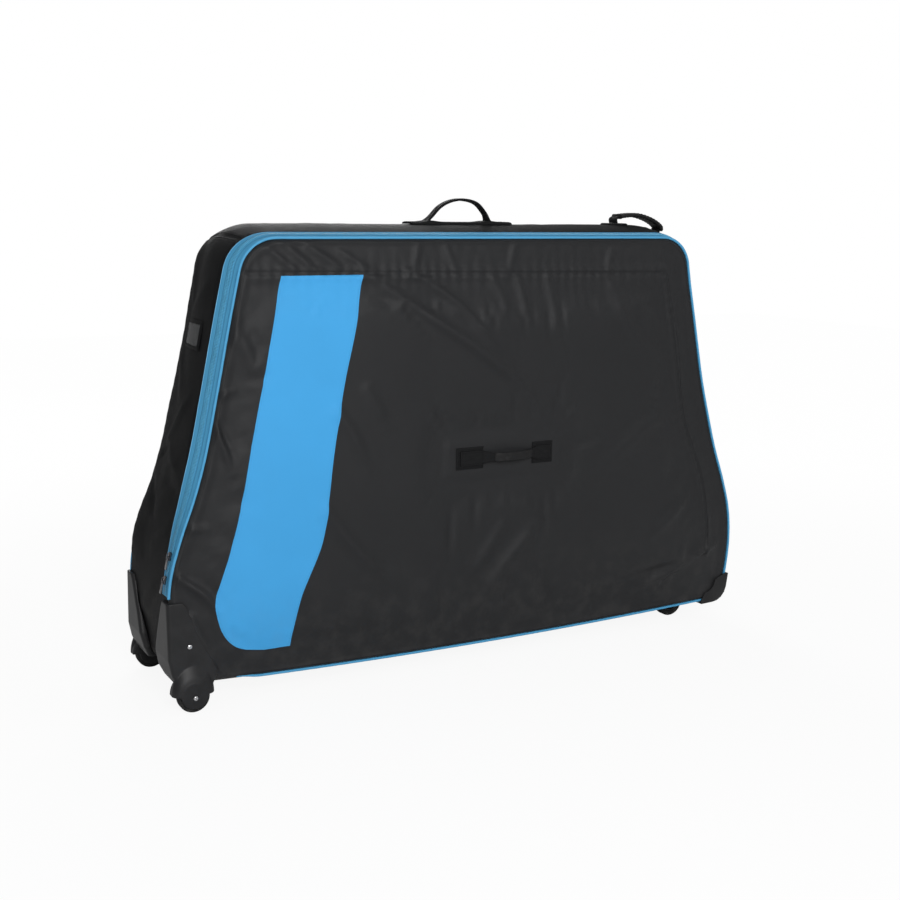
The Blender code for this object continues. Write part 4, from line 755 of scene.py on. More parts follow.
def make_piece(
    name: str, points: Array, faces: Sequence[Sequence[int]], finish: Finish,
    cloth: Array | None = None, smooth: bool = True, sharp: float | None = None,
) -> Thing:
    """Turn points and faces into a finished object whose faces point outwards.

    Args:
        name: The piece's name.
        points: Its points.
        faces: Its faces, all wound the same way round.
        finish: Its finish.
        cloth: A place on the cloth for each face corner, in the order of the faces.
        smooth: Whether its shading is smooth.
        sharp: An angle in degrees past which an edge stays sharp.

    Returns:
        The object, linked to the scene.
    """
    faces = [tuple(int(i) for i in face) for face in faces]
    if signed_volume(points, faces) < 0:
        if cloth is not None:
            ends = np.cumsum([len(face) for face in faces])
            cloth = np.concatenate([cloth[end - len(f) : end][::-1] for f, end in zip(faces, ends)])
        faces = [face[::-1] for face in faces]
    mesh = bpy.data.meshes.new(name)
    mesh.from_pydata(leaning(points).tolist(), [], faces)
    if cloth is not None:
        layer = mesh.uv_layers.new(name=CLOTH_MAP)
        layer.uv.foreach_set("vector", np.ascontiguousarray(cloth, dtype=np.float32).ravel())
    if smooth:
        mesh.shade_smooth()
        if sharp is not None:
            mesh.set_sharp_from_angle(angle=math.radians(sharp))
    mesh.materials.append(finish.material())
    return linked(name, mesh)


def grid_faces(rows: int, columns: int, start: int = 0, flip: bool = False) -> list[tuple[int, ...]]:
    """Quads of a grid of points numbered row by row from a start."""
    corners = [start + i * columns + j for i in range(rows - 1) for j in range(columns - 1)]
    return [(a, a + 1, a + columns + 1, a + columns)[:: -1 if flip else 1] for a in corners]


def make_shell(name: str, outer: Array, inner: Array, cloth: Array, finish: Finish, skip: int = 4) -> Thing:
    """A closed sheet between a fine outer grid and a coarser inner one.

    Args:
        name: The piece's name.
        outer: Points of the outer face, rows by columns by three.
        inner: Points of the inner face on the same grid; every skip-th one is used.
        cloth: Places on the cloth, rows by columns by two.
        finish: The finish.
        skip: How many outer spans one inner span takes; it divides both.

    Returns:
        The object.
    """
    rows, columns = outer.shape[:2]
    coarse = inner[::skip, ::skip]
    low_rows, low_columns = coarse.shape[:2]
    base = rows * columns
    points = np.concatenate([outer.reshape(-1, 3), coarse.reshape(-1, 3)])
    flat = np.concatenate([cloth.reshape(-1, 2), cloth[::skip, ::skip].reshape(-1, 2)])
    faces = grid_faces(rows, columns) + grid_faces(low_rows, low_columns, base, flip=True)

    fine = np.arange(base).reshape(rows, columns)
    back = base + np.arange(low_rows * low_columns).reshape(low_rows, low_columns)
    rims = ((fine[0], back[0], True), (fine[-1], back[-1], False), (fine[:, 0], back[:, 0], False),
            (fine[:, -1], back[:, -1], True))
    for first, second in (rims[:2], rims[2:]):
        for k in range(len(first[1]) - 1):
            for run, ends, turned_round in (first, second):
                span, pair = run[k * skip : (k + 1) * skip + 1], ends[k : k + 2]
                faces.append((*span[::-1], *pair) if turned_round else (*span, *pair[::-1]))
    corners = flat[np.concatenate([np.asarray(face) for face in faces])]
    return make_piece(name, points, faces, finish, corners, sharp=60)


def make_tube(name: str, rings: Array, finish: Finish, hollow: bool = False, sharp: float = 60) -> Thing:
    """A solid through rings of points, with its cloth running along it.

    Args:
        name: The piece's name.
        rings: Rings by points by three.
        finish: The finish.
        hollow: Whether the rings go round an axis, so that the last one joins the first.
        sharp: An angle in degrees past which an edge stays sharp.

    Returns:
        The object.
    """
    count, sides = rings.shape[:2]
    around = np.concatenate([rings, rings[:, :1]], axis=1)
    across = np.cumsum(np.linalg.norm(np.diff(around, axis=1), axis=2), axis=1).mean(axis=0)
    across = np.concatenate([[0.0], across])
    middle = rings[:, 0] if hollow else rings.mean(axis=1)
    along = running(np.concatenate([middle, middle[:1]]) if hollow else middle)
    faces, cloth = [], []
    for i in range(count if hollow else count - 1):
        n = (i + 1) % count
        for j in range(sides):
            k = (j + 1) % sides
            faces.append((i * sides + j, i * sides + k, n * sides + k, n * sides + j))
            cloth += [
                (across[j], along[i]), (across[j + 1], along[i]),
                (across[j + 1], along[i + 1]), (across[j], along[i + 1]),
            ]
    if not hollow:
        for i, order in ((0, -1), (count - 1, 1)):
            ring = list(range(sides))[::order]
            faces.append(tuple(i * sides + j for j in ring))
            cloth += [(across[j], along[i]) for j in ring]
    return make_piece(name, rings.reshape(-1, 3), faces, finish, np.array(cloth), sharp=sharp)


def ride(piece: Thing, body: Body, slot: Slot, *replaced: str) -> Thing:
    """Hang a piece on its body and hide the nodes that it stands for.

    Args:
        piece: The finished piece.
        body: The body that it moves with.
        slot: The record's material slot; not used.
        replaced: Names of the nodes that it replaces.

    Returns:
        The piece.
    """
    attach(piece, body.value)
    return name_slot(piece, slot, *replaced)


def name_slot(piece: Thing, slot: Slot, *replaced: str) -> Thing:
    """Hide the nodes that a piece stands for, and report its faces."""
    if replaced:
        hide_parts(*replaced)
    LOG.info("%s: %d faces", piece.name, len(piece.data.polygons))
    return piece


@dataclass(frozen=True)
class Places:
    """Places along the bag's outline: points and outward normals in the XZ plane."""

    point: Array
    normal: Array

    def lifted(self, out: Array, y: Array) -> Array:
        """Points in space that stand out of the outline, at a depth."""
        spot = self.point + self.normal * np.asarray(out)[..., None]
        return stacked(spot[..., 0], np.broadcast_to(y, spot[..., 0].shape), spot[..., 1])

    def spread(self, count: int) -> "Places":
        """The same places, each repeated for a row of points."""
        return Places(*(np.repeat(part[:, None], count, axis=1) for part in (self.point, self.normal)))

    @property
    def facing(self) -> Array:
        """The outward normals in space."""
        return stacked(self.normal[..., 0], np.zeros(self.normal.shape[:-1]), self.normal[..., 1])


@dataclass
class BagForm:
    """The bag's outline and the sections that its gusset, zip and panels share."""

    half_length: float = 0.650
    base_z: float = 0.049
    top_z: float = 0.858
    bottom_sag: float = 0.012
    lower_corner_r: float = 0.030
    upper_corner_r: float = 0.072
    flank_shares: tuple[Spot, ...] = (
        (0.000, 0.973), (0.070, 0.989), (0.160, 1.000), (0.250, 0.991), (0.337, 0.960),
        (0.428, 0.918), (0.517, 0.885), (0.650, 0.849), (0.830, 0.803), (1.000, 0.756),
    )
    half_depth: float = 0.127
    panel_t: float = 0.006
    edge_y: float = half_depth - panel_t / 2 - GAP
    fold_z: float = 0.215
    gusset_t: float = 0.005
    top_crown: float = 0.020
    end_crown: float = 0.010
    crown_start_z: float = 0.25
    crown_full_z: float = 0.45
    tape_w: float = 0.0105
    tape_t: float = 0.0012
    coil_w: float = 0.0045
    strip_gap: float = 0.0008
    zip_end_rise: float = 0.0015
    side_tilt: float = math.radians(38)
    top_tilt: float = math.radians(16)
    rear_roll: float = 0.0072
    roll_z: Spot = (0.22, 0.30)
    roll_rise: Spot = (0.0, 0.040)
    roll_fade: Spot = (0.05, 0.40)
    arc_steps: int = 24
    span_steps: int = 60

    def __post_init__(self) -> None:
        """Sample the outline from the bottom middle round by the right."""
        half = self._half()
        mirrored = half[-2:0:-1] * (-1.0, 1.0)
        self.points = np.concatenate([half, mirrored])
        self.lengths = running(np.concatenate([self.points, self.points[:1]]))
        self.perimeter = float(self.lengths[-1])
        self.half_perimeter = self.perimeter / 2
        along = unit(np.roll(self.points, -1, axis=0) - np.roll(self.points, 1, axis=0))
        self.normals = stacked(along[:, 1], -along[:, 0])
        self.centre = np.array([0.0, (self.base_z + self.top_z) / 2])
        arms = self.points - self.centre
        angles = np.arctan2(arms[:, 1], arms[:, 0])
        order = np.argsort(angles)
        self._angles = np.concatenate([angles[order] + turn for turn in (-TURN, 0.0, TURN)])
        self._reaches = np.tile(np.linalg.norm(arms, axis=1)[order], 3)
        self.zip_width = 2 * (self.tape_w + self.coil_w) + 4 * self.strip_gap
        self.right_shoulder = self.crossing(1, float(self.high_arc[self.arc_steps // 2, 1]))

    def _flank(self, z: float) -> Array:
        """The right edge of the outline at a height, before its corners are rounded."""
        share = (z - self.base_z) / (self.top_z - self.base_z)
        return np.array([self.half_length * float(smooth_table(self.flank_shares, [share])[0]), z])

    def _half(self) -> Array:
        """Points of the right half, from the bottom middle to the top middle."""
        low = self._fillet(
            (0.0, self.base_z), self._flank(self.base_z),
            self._flank(self.base_z + 2 * self.lower_corner_r), self.lower_corner_r,
        )
        high = self._fillet(
            self._flank(self.top_z - self.upper_corner_r), self._flank(self.top_z),
            (0.0, self.top_z), self.upper_corner_r,
        )
        shares = np.arange(self.span_steps) / self.span_steps
        bottom = stacked(low[0, 0] * shares, self.base_z - self.bottom_sag * (1 - shares**2))
        heights = np.linspace(low[-1, 1], high[0, 1], self.span_steps + 1)[1:-1]
        flank = np.array([self._flank(float(z)) for z in heights])
        shares = np.arange(1, self.span_steps + 1) / self.span_steps
        top = stacked(high[-1, 0] * (1 - shares), np.full(len(shares), self.top_z))
        self.low_arc, self.high_arc = low, high
        return np.concatenate([bottom, low, flank, high, top])

    def _fillet(self, before: Spot, corner: Spot, after: Spot, radius: float) -> Array:
        """Points of the arc that rounds a corner between two straight runs."""
        before, corner, after = (Vector(p) for p in (before, corner, after))
        first, second = (before - corner).normalized(), (after - corner).normalized()
        half = first.angle(second) / 2
        centre = corner + (first + second).normalized() * radius / math.sin(half)
        arms = [corner + arm * radius / math.tan(half) - centre for arm in (first, second)]
        start, end = (math.atan2(arm.y, arm.x) for arm in arms)
        end += TURN if end < start else 0.0
        angles = np.linspace(start, end, self.arc_steps + 1)
        return np.array(centre) + radius * stacked(np.cos(angles), np.sin(angles))

    def at(self, lengths: Array) -> Places:
        """The places at running lengths, which may pass either end of the loop."""
        lengths = np.asarray(lengths, float) % self.perimeter
        closed = [np.concatenate([v, v[:1]]) for v in (self.points, self.normals)]
        point, normal = (
            np.stack([np.interp(lengths, self.lengths, v[:, k]) for k in (0, 1)], axis=-1) for v in closed
        )
        return Places(point, unit(normal))

    def crossing(self, axis: int, value: float, after: float = 0.0) -> float:
        """The first running length past a start at which a coordinate takes a value."""
        here = self.points[:, axis] - value
        there = np.roll(here, -1)
        found = np.nonzero((self.lengths[:-1] >= after) & (here * there <= 0) & (here != there))[0]
        i = int(found[0])
        share = here[i] / (here[i] - there[i])
        return float(mix(self.lengths[i], self.lengths[i + 1], share))

    def over_gusset(self, lengths: Sequence[float], y: Sequence[float], lift: float) -> Array:
        """Points that lie over the gusset's plain shape, at running lengths and depths."""
        places, depths = self.at(lengths), np.asarray(y, float)
        return places.lifted(self.gusset_out(places, depths) + lift, depths)

    def left(self, z: float) -> float:
        """The running length at a height on the left end."""
        return self.crossing(1, z, after=self.half_perimeter)

    def left_of_bottom(self, x: float) -> float:
        """The running length at a place on the bottom, left of its middle."""
        return self.perimeter - self.crossing(0, -x)

    def edge_share(self, spots: Array) -> Array:
        """How far spots lie from the outline's centre, as shares of the way to its edge."""
        arms = spots - self.centre
        reach = np.interp(np.arctan2(arms[..., 1], arms[..., 0]), self._angles, self._reaches)
        return np.linalg.norm(arms, axis=-1) / reach

    def zip_tilt(self, places: Places) -> Array:
        """How steeply the zip band leans out of the front."""
        share = np.maximum(places.normal[..., 1], 0.0) ** 2
        rise = smooth_step(self.crown_start_z, self.crown_full_z, places.point[..., 1])
        return mix(self.side_tilt * rise, self.top_tilt, share)

    def zip_band(self, places: Places, along: Array, rise: Array) -> Array:
        """Points of the zip band: along its width from the piping, and out from its inner face."""
        tilt = self.zip_tilt(places)
        out = along * np.sin(tilt) + rise * np.cos(tilt)
        y = -self.edge_y + along * np.cos(tilt) - rise * np.sin(tilt)
        return places.lifted(out, y)

    def gusset_front(self, places: Places) -> tuple[Array, Array]:
        """Where the gusset's outer face begins: how far out, and at what depth."""
        tilt = self.zip_tilt(places)
        above = smooth_step(self.fold_z, self.fold_z + self.zip_end_rise * 0.8, places.point[..., 1])
        width = self.zip_width * above
        return width * np.sin(tilt), -self.edge_y + width * np.cos(tilt)

    def gusset_out(self, places: Places, y: Array) -> Array:
        """How far the gusset's outer face stands out of the outline at a depth."""
        front_out, front_y = self.gusset_front(places)
        share = np.clip((y - front_y) / (self.edge_y - front_y), 0.0, 1.0)
        top = np.maximum(places.normal[..., 1], 0.0) ** 2
        rise = smooth_step(self.crown_start_z, self.crown_full_z, places.point[..., 1])
        crown = mix(self.end_crown * rise, self.top_crown, top)
        left = smooth_step(*self.roll_z, places.point[..., 1]) * np.maximum(-places.normal[..., 0], 0.0)
        roll = smooth_step(*self.roll_rise, 1 - share) * (1 - smooth_step(*self.roll_fade, 1 - share))
        return front_out * (1 - share) + crown * bow(share) + self.rear_roll * left * roll


@dataclass(frozen=True)
class WheelPlaces:
    """Where the corner wheels and their housings stand."""

    x: float = -0.612
    radius: float = 0.030
    width: float = 0.020
    housing_z: float = 0.034
    housing_radius: float = 0.040
    housing_inner_y: float = 0.1216
    housing_face_y: float = 0.1525
    keep_out: float = 0.0385

    def cleared(self, spots: Array) -> Array:
        """Spots moved out of the housing's bore, onto its round wall."""
        middle = (self.x, self.housing_z)
        arms = spots - middle
        reach = np.linalg.norm(arms, axis=-1, keepdims=True)
        share = np.clip(reach / self.keep_out, 0.0, 1.0)
        pushed = self.keep_out * (0.97 + 0.03 * share)
        return np.where(reach < self.keep_out, middle + unit(arms) * pushed, spots)


def nearest_on(path: Array, passed: Array, spots: Array) -> tuple[Array, Array, Array]:
    """Where spots lie beside a path of straight spans.

    Args:
        path: The ends of the spans.
        passed: The running length at each end.
        spots: The spots.

    Returns:
        Their distances from the path, on which side they lie, and the running lengths beside them.
    """
    nearest = np.full(spots.shape[:-1], np.inf)
    sides, along = np.ones_like(nearest), np.zeros_like(nearest)
    for a, b, start in zip(path, path[1:], passed):
        span = b - a
        size = float(np.linalg.norm(span))
        t = np.clip(((spots - a) @ span) / size**2, 0.0, 1.0)
        off = spots - (a + t[..., None] * span)
        side = np.sign(span[0] * off[..., 1] - span[1] * off[..., 0])
        distance = np.linalg.norm(off, axis=-1)
        closer = distance < nearest
        nearest = np.where(closer, distance, nearest)
        sides = np.where(closer, np.where(side == 0, 1.0, side), sides)
        along = np.where(closer, start + t * size, along)
    return nearest, sides, along


# Where along a fold it grows and dies out, and how sharply a leaning one changes sides
FOLD_RISE, FOLD_FADE, FOLD_TWIST = (0.0, 0.3), (0.55, 1.0), 1.5


@dataclass(frozen=True)
class Fold:
    """A soft fold along a path: a ridge, or a valley where its height is negative."""

    path: tuple[Spot, ...]
    height: float
    width: float
    lean: float = 0.0
    start: float = 0.4
    end: float = 0.0

    def relief(self, spots: Array) -> Array:
        """Height of the fold at spots, fading along it from start to end."""
        path = smooth_path(self.path, 5 * (len(self.path) - 1))
        lengths = running(path)
        nearest, sides, along = nearest_on(path, lengths, spots)
        share = along / lengths[-1]
        fade = mix(self.start, 1.0, smooth_step(*FOLD_RISE, share))
        fade = fade * mix(1.0, self.end, smooth_step(*FOLD_FADE, share))
        t = nearest * sides / self.width
        return self.height * fade * np.exp(-t * t) * (1 + self.lean * np.tanh(FOLD_TWIST * t))


@dataclass(frozen=True)
class Seam:
    """A sewn seam that draws the cloth in, with puckers beside it."""

    path: tuple[Spot, ...]
    depth: float = 0.0036
    width: float = 0.0042
    pucker: float = 0.0006
    pitch: float = 0.024
    reach: float = 0.018
    stride: int = 4
    spacing: float = 0.006
    unevenness: float = 0.35
    uneven_pitches: float = 2.3

    def line(self) -> Array:
        """The seam's line as evenly spaced spots."""
        return evenly(smooth_path(self.path, 12 * (len(self.path) - 1)), self.spacing)

    def relief(self, spots: Array) -> Array:
        """The seam's groove and puckers at spots."""
        line = self.line()
        picks = [*range(0, len(line) - 1, self.stride), len(line) - 1]
        nearest, _, along = nearest_on(line[picks], running(line)[picks], spots)
        groove = -self.depth * np.exp(-((nearest / self.width) ** 2))
        uneven = self.unevenness * np.sin(along / (self.uneven_pitches * self.pitch))
        turns = TURN * (along / self.pitch + uneven)
        return groove + self.pucker * np.sin(turns) * np.exp(-nearest / self.reach)


# The shortest and the longest wave in a padded cloth
WAVE_LENGTHS = (0.09, 0.38)


def slow_waves(spots: Array, seed: int, height: float, count: int = 12) -> Array:
    """Faint undulation of a padded cloth, from a fixed seed.

    Args:
        spots: Where to read it.
        seed: The seed of its directions and lengths.
        height: The usual height of one wave.
        count: How many waves are added up.

    Returns:
        One height for each spot.
    """
    random = np.random.default_rng(seed)
    shortest, longest = WAVE_LENGTHS
    total = np.zeros(spots.shape[:-1])
    for _ in range(count):
        angle, phase = random.uniform(0, TURN, 2)
        length = random.uniform(shortest, longest)
        turn = (spots[..., 0] * math.cos(angle) + spots[..., 1] * math.sin(angle)) * TURN / length
        total += height * (length / longest) * np.sin(turn + phase)
    return total


def resampled(field: Array, rows: int, columns: int) -> Array:
    """A coarse field of values read smoothly on a finer grid."""
    return smooth_path(smooth_path(field, rows - 1).T, columns - 1).T


def pressed_relief(
    points: Array, held: Array, cap: float, pressure: float = 4.0, growth: float = 0.014
) -> Array:
    """Relief that air pressure and spare cloth give a sewn panel, from a cloth simulation.

    Args:
        points: Rows by columns by three, the panel at rest.
        held: Rows by columns, one where sewing holds the cloth.
        cap: The farthest that a point may move.
        pressure: The pressure behind the cloth.
        growth: The share by which the cloth is longer than the panel.

    Returns:
        How far each point moves along Y.
    """
    rows, columns = points.shape[:2]
    mesh = bpy.data.meshes.new("pressed")
    mesh.from_pydata(points.reshape(-1, 3).tolist(), [], grid_faces(rows, columns))
    obj = linked("pressed", mesh)
    group = obj.vertex_groups.new(name="held")
    for index, weight in enumerate(held.ravel()):
        if weight > 0:
            group.add([index], float(weight), "REPLACE")
    moved = simulate(obj, group, pressure, growth)
    change = (moved - points.reshape(-1, 3))[:, 1].reshape(rows, columns)
    discard(obj)
    change = change - np.median(change)
    return np.tanh(change / cap) * cap * (1 - held)


# How long the cloth simulation runs
CLOTH_FRAMES = 20


def simulate(obj: Thing, held: bpy.types.VertexGroup, pressure: float, growth: float) -> Array:
    """Run Blender's cloth on an object without gravity.

    Args:
        obj: The object, whose mesh is left as it was.
        held: The vertices that stay, by weight.
        pressure: The pressure inside it.
        growth: The share by which its cloth is longer than its mesh.

    Returns:
        Where its vertices end.
    """
    scene = bpy.context.scene
    cloth = obj.modifiers.new("press", "CLOTH")
    settings = {
        "quality": 5, "mass": 0.25, "tension_stiffness": 20, "compression_stiffness": 20,
        "shear_stiffness": 8, "bending_stiffness": 0.4, "use_pressure": True,
        "uniform_pressure_force": pressure, "shrink_min": -growth, "vertex_group_mass": held.name,
    }
    for name, value in settings.items():
        setattr(cloth.settings, name, value)
    cloth.settings.effector_weights.gravity = 0
    cloth.point_cache.frame_start, cloth.point_cache.frame_end = 1, CLOTH_FRAMES
    for step in range(1, CLOTH_FRAMES + 1):
        scene.frame_set(step)
    graph = bpy.context.evaluated_depsgraph_get()
    shape = obj.evaluated_get(graph).to_mesh()
    moved = np.empty(len(shape.vertices) * 3, dtype=np.float32)
    shape.vertices.foreach_get("co", moved)
    obj.evaluated_get(graph).to_mesh_clear()
    obj.modifiers.remove(cloth)
    scene.frame_set(1)
    return moved.reshape(-1, 3).astype(float)


@dataclass
class PanelFace:
    """The outer face of the front or the back, with its seams and folds, on a fine grid."""

    form: BagForm
    side: Side
    crown: float
    folds: tuple[Fold, ...] = ()
    seams: tuple[Seam, ...] = ()
    flats: tuple[tuple[Spot, Spot], ...] = ()
    seed: int = 7
    waves: float = 0.0006
    edge_roll: float = 0.0052
    rows: int = 229
    columns: int = 369
    coarse_skip: int = 4
    press_cap: float = 0.0030
    sag_height: float = 0.10
    rim_puckers: float = 0.0005
    rim_pucker_count: float = 74
    rim_pucker_sway: float = 7
    rolled: Spot = (0.980, 1.0)
    puckered: Spot = (0.90, 0.975)
    sewn: Spot = (0.975, 0.998)

    def __post_init__(self) -> None:
        """Lay out the grid and work out how far each of its points stands out."""
        form = self.form
        start = form.crossing(0, float(form.low_arc[0, 0]))
        end = form.crossing(0, float(form.high_arc[-1, 0]), after=start)
        self.edge = form.at(np.linspace(start, end, self.rows)).point
        self.edge[0], self.edge[-1] = form.low_arc[0], form.high_arc[-1]
        across = np.linspace(-1.0, 1.0, self.columns)
        x = self.edge[:, :1] * across
        z = np.repeat(self.edge[:, 1:], self.columns, axis=1)
        self.spots = stacked(x, z - self._sag(x, z))
        share = np.clip(form.edge_share(self.spots), 0.0, 1.0)
        self.plain = form.half_depth + form.panel_t / 2 + self.crown * (1 - share**4)
        self.relief = self._relief(share)
        self.relief = self.relief + self._pressed(self.plain + self.relief, share)
        self.out = self.plain - self.edge_roll * smooth_step(*self.rolled, share) ** 2 + self.relief

    def _sag(self, x: Array, z: Array) -> Array:
        """How far the bottom of the panel hangs below its rows."""
        form = self.form
        flat = np.clip(np.abs(x) / form.low_arc[0, 0], 0.0, 1.0)
        above = smooth_step(form.base_z, form.base_z + self.sag_height, z)
        return form.bottom_sag * (1 - flat**2) * (1 - above)

    def _relief(self, share: Array) -> Array:
        """How far folds and seams raise the face, which fades at its sewn edge."""
        spots = self.spots
        height = slow_waves(spots, self.seed, self.waves)
        for mark in (*self.folds, *self.seams):
            height = height + mark.relief(spots)
        angle = np.arctan2(spots[..., 1] - self.form.centre[1], spots[..., 0])
        turns = angle * self.rim_pucker_count + 2.0 * np.sin(angle * self.rim_pucker_sway)
        height = height + self.rim_puckers * (np.sin(turns) * smooth_step(*self.puckered, share))
        return height * self._free(spots) * (1 - smooth_step(*self.sewn, share))

    def _free(self, spots: Array, margin: float = 0.045) -> Array:
        """One where the cloth is free to fold, nothing under what is sewn flat on it."""
        free = np.ones(spots.shape[:-1])
        for low, high in self.flats:
            gaps = np.maximum(np.maximum(np.array(low) - spots, spots - high), 0.0)
            free = free * smooth_step(0.0, margin, np.hypot(gaps[..., 0], gaps[..., 1]))
        return free

    def _pressed(self, out: Array, share: Array) -> Array:
        """The relief of a cloth simulation on every few points of the grid."""
        skip = self.coarse_skip
        spots = self.spots[::skip, ::skip]
        points = stacked(spots[..., 0], -out[::skip, ::skip], spots[..., 1])
        near = np.zeros(spots.shape[:-1])
        for seam in self.seams:
            line = evenly(seam.line(), 0.004)
            gaps = np.linalg.norm(spots[:, :, None] - line[None, None], axis=-1).min(axis=-1)
            near = np.maximum(near, 1 - smooth_step(0.004, 0.012, gaps))
        edge = smooth_step(0.955, 0.985, share[::skip, ::skip])
        held = np.maximum(np.maximum(near, edge), 1 - self._free(spots, 0.02))
        lifted = -pressed_relief(points, held, self.press_cap)
        return resampled(lifted, self.rows, self.columns) * (1 - smooth_step(0.97, 0.99, share))

    def _reading(self, spots: Array) -> tuple[Array, Array]:
        """Where spots lie on the grid, in rows and columns."""
        x, z = np.moveaxis(np.asarray(spots, float), -1, 0)
        level = z
        for _ in range(4):
            level = z + self._sag(x, level)
        row = np.interp(level, self.edge[:, 1], np.arange(self.rows))
        width = np.interp(row, np.arange(self.rows), self.edge[:, 0])
        column = (np.clip(x / width, -1.0, 1.0) + 1) / 2 * (self.columns - 1)
        return row, column

    def read(self, field: Array, spots: Array) -> Array:
        """A field of the grid read at spots."""
        row, column = self._reading(spots)
        i = np.clip(row.astype(int), 0, self.rows - 2)
        j = np.clip(column.astype(int), 0, self.columns - 2)
        u, v = row - i, column - j
        low = field[i, j] * (1 - v) + field[i, j + 1] * v
        high = field[i + 1, j] * (1 - v) + field[i + 1, j + 1] * v
        return low * (1 - u) + high * u

    def points(self, spots: Array, lift: float | Array = 0.0) -> Array:
        """Points of the face at spots, raised by a lift."""
        y = self.side.value * (self.read(self.out, spots) + lift)
        return stacked(spots[..., 0], y, spots[..., 1])

    def normals(self, spots: Array, step: float = 0.004) -> Array:
        """Outward normals of the face at spots."""
        slopes = [
            (self.read(self.out, spots + arm) - self.read(self.out, spots - arm)) / (2 * step)
            for arm in (np.array([step, 0.0]), np.array([0.0, step]))
        ]
        return unit(stacked(-slopes[0], np.full_like(slopes[0], self.side.value), -slopes[1]))

    def shell(self, name: str, finish: Finish, wheel: WheelPlaces) -> Thing:
        """The panel's cloth over its foam, as one closed piece."""
        spots = wheel.cleared(self.spots)
        side = self.side.value
        outer = stacked(spots[..., 0], side * self.out, spots[..., 1])
        share = np.clip(self.form.edge_share(self.spots), 0.0, 1.0)
        dip = np.minimum(self.relief, 0.0) * (1 - smooth_step(0.96, 0.98, share))
        inner = outer.copy()
        inner[..., 1] = side * (self.plain - self.form.panel_t + dip * 0.5)
        return make_shell(name, outer, inner, self.spots * (side, 1.0), finish)


@dataclass
class FrontCloth:
    """The front: charcoal cloth over foam that folds down, and the blue stripe across it."""

    form: BagForm
    wheel: WheelPlaces
    face: PanelFace
    bend_low_z: float = 0.195
    bend_high_z: float = 0.235
    stripe_t: float = 0.0010
    stripe_low_z: float = 0.0955
    stripe_high_z: float = 0.791
    stripe_middle_x: float = -0.3471
    stripe_w: float = 0.16998
    stripe_shares: tuple[Triple, ...] = (
        (0.000, -0.740, -0.430), (0.010, -0.970, -0.428), (0.030, -1.110, -0.420),
        (0.065, -1.215, -0.390), (0.110, -1.272, -0.345), (0.150, -1.290, -0.295),
        (0.280, -1.122, -0.062), (0.400, -0.985, 0.020), (0.520, -0.885, 0.085),
        (0.720, -0.712, 0.222), (0.880, -0.585, 0.367), (1.000, -0.485, 0.462),
    )
    stripe_rows: int = 233
    stripe_columns: int = 57

    def bend(self, piece: Thing, slot: Slot, *replaced: str) -> Thing:
        """Let a piece turn with the flap above its fold and stay with the bag below it."""
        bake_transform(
            piece, Body.BAG.value, Body.FLAP.value,
            start=(0.0, 0.0, self.bend_low_z), end=(0.0, 0.0, self.bend_high_z),
        )
        return name_slot(piece, slot, *replaced)

    def build(self) -> None:
        """Make the front and its stripe."""
        panel = self.face.shell("front_cloth", CHARCOAL, self.wheel)
        self.bend(panel, Slot.CHARCOAL, "flap_panel", "front_lower_panel")
        self.bend(self.stripe(), Slot.BLUE, "flap_stripe", "lower_stripe")

    def stripe_edge(self, share: Array, right: bool) -> Array:
        """The stripe's left or right edge at shares of its height."""
        x = self.stripe_middle_x + self.stripe_w * smooth_table(self.stripe_shares, share, 2 if right else 1)
        z = mix(self.stripe_low_z, self.stripe_high_z, share)
        return stacked(x, z)

    def stripe(self) -> Thing:
        """The stripe, which lies on the front's relief."""
        share = np.linspace(0.0, 1.0, self.stripe_rows)[:, None]
        across = np.linspace(0.0, 1.0, self.stripe_columns)
        left, right = self.stripe_edge(share[:, 0], False), self.stripe_edge(share[:, 0], True)
        spots = left[:, None] + (right - left)[:, None] * across[None, :, None]
        rim = plateau(across, 18)[None, :] * plateau(share, 40)
        outer = self.face.points(spots, self.stripe_t * (0.45 + 0.55 * rim))
        inner = self.face.points(spots, -SEWN_DEPTH)
        return make_shell("stripe_cloth", outer, inner, spots, STRIPE_CLOTH)


@dataclass
class BackCloth:
    """The back panel and the skin under the base board."""

    form: BagForm
    wheel: WheelPlaces
    face: PanelFace
    skin_left_x: float = -0.611
    skin_right_x: float = 0.4877
    skin_t: float = 0.0020
    skin_rows: int = 153
    skin_columns: int = 37

    def build(self) -> None:
        """Make the back and the base."""
        panel = self.face.shell("back_cloth", CHARCOAL, self.wheel)
        ride(panel, Body.BAG, Slot.CHARCOAL, "back_panel")
        skin = self.base()
        ride(skin, Body.BAG, Slot.BLACK, "base_skin")

    def base(self) -> Thing:
        """The skin under the board, which is drawn up beside the wheels."""
        form = self.form
        x = np.linspace(self.skin_left_x, self.skin_right_x, self.skin_rows)
        places = form.at([form.crossing(0, float(v)) if v >= 0 else form.left_of_bottom(float(v)) for v in x])
        wheel = self.wheel
        near = np.hypot(x - wheel.x, places.point[:, 1] - wheel.housing_z) < wheel.housing_radius
        reach = np.where(near, wheel.housing_inner_y - HOUSING_GAP, form.edge_y)
        across = np.linspace(-1.0, 1.0, self.skin_columns)
        y = reach[:, None] * across
        wide = places.spread(self.skin_columns)
        spots = stacked(x[:, None], y)
        sag = np.clip(slow_waves(spots, 23, 0.0009), -0.0012, 0.0016) * bow((across + 1) / 2) ** 0.5
        inner = wide.lifted(np.full(y.shape, -self.skin_t), y)
        return make_shell("base_cloth", wide.lifted(sag * 0.8, y), inner, spots, BLACK_CLOTH)


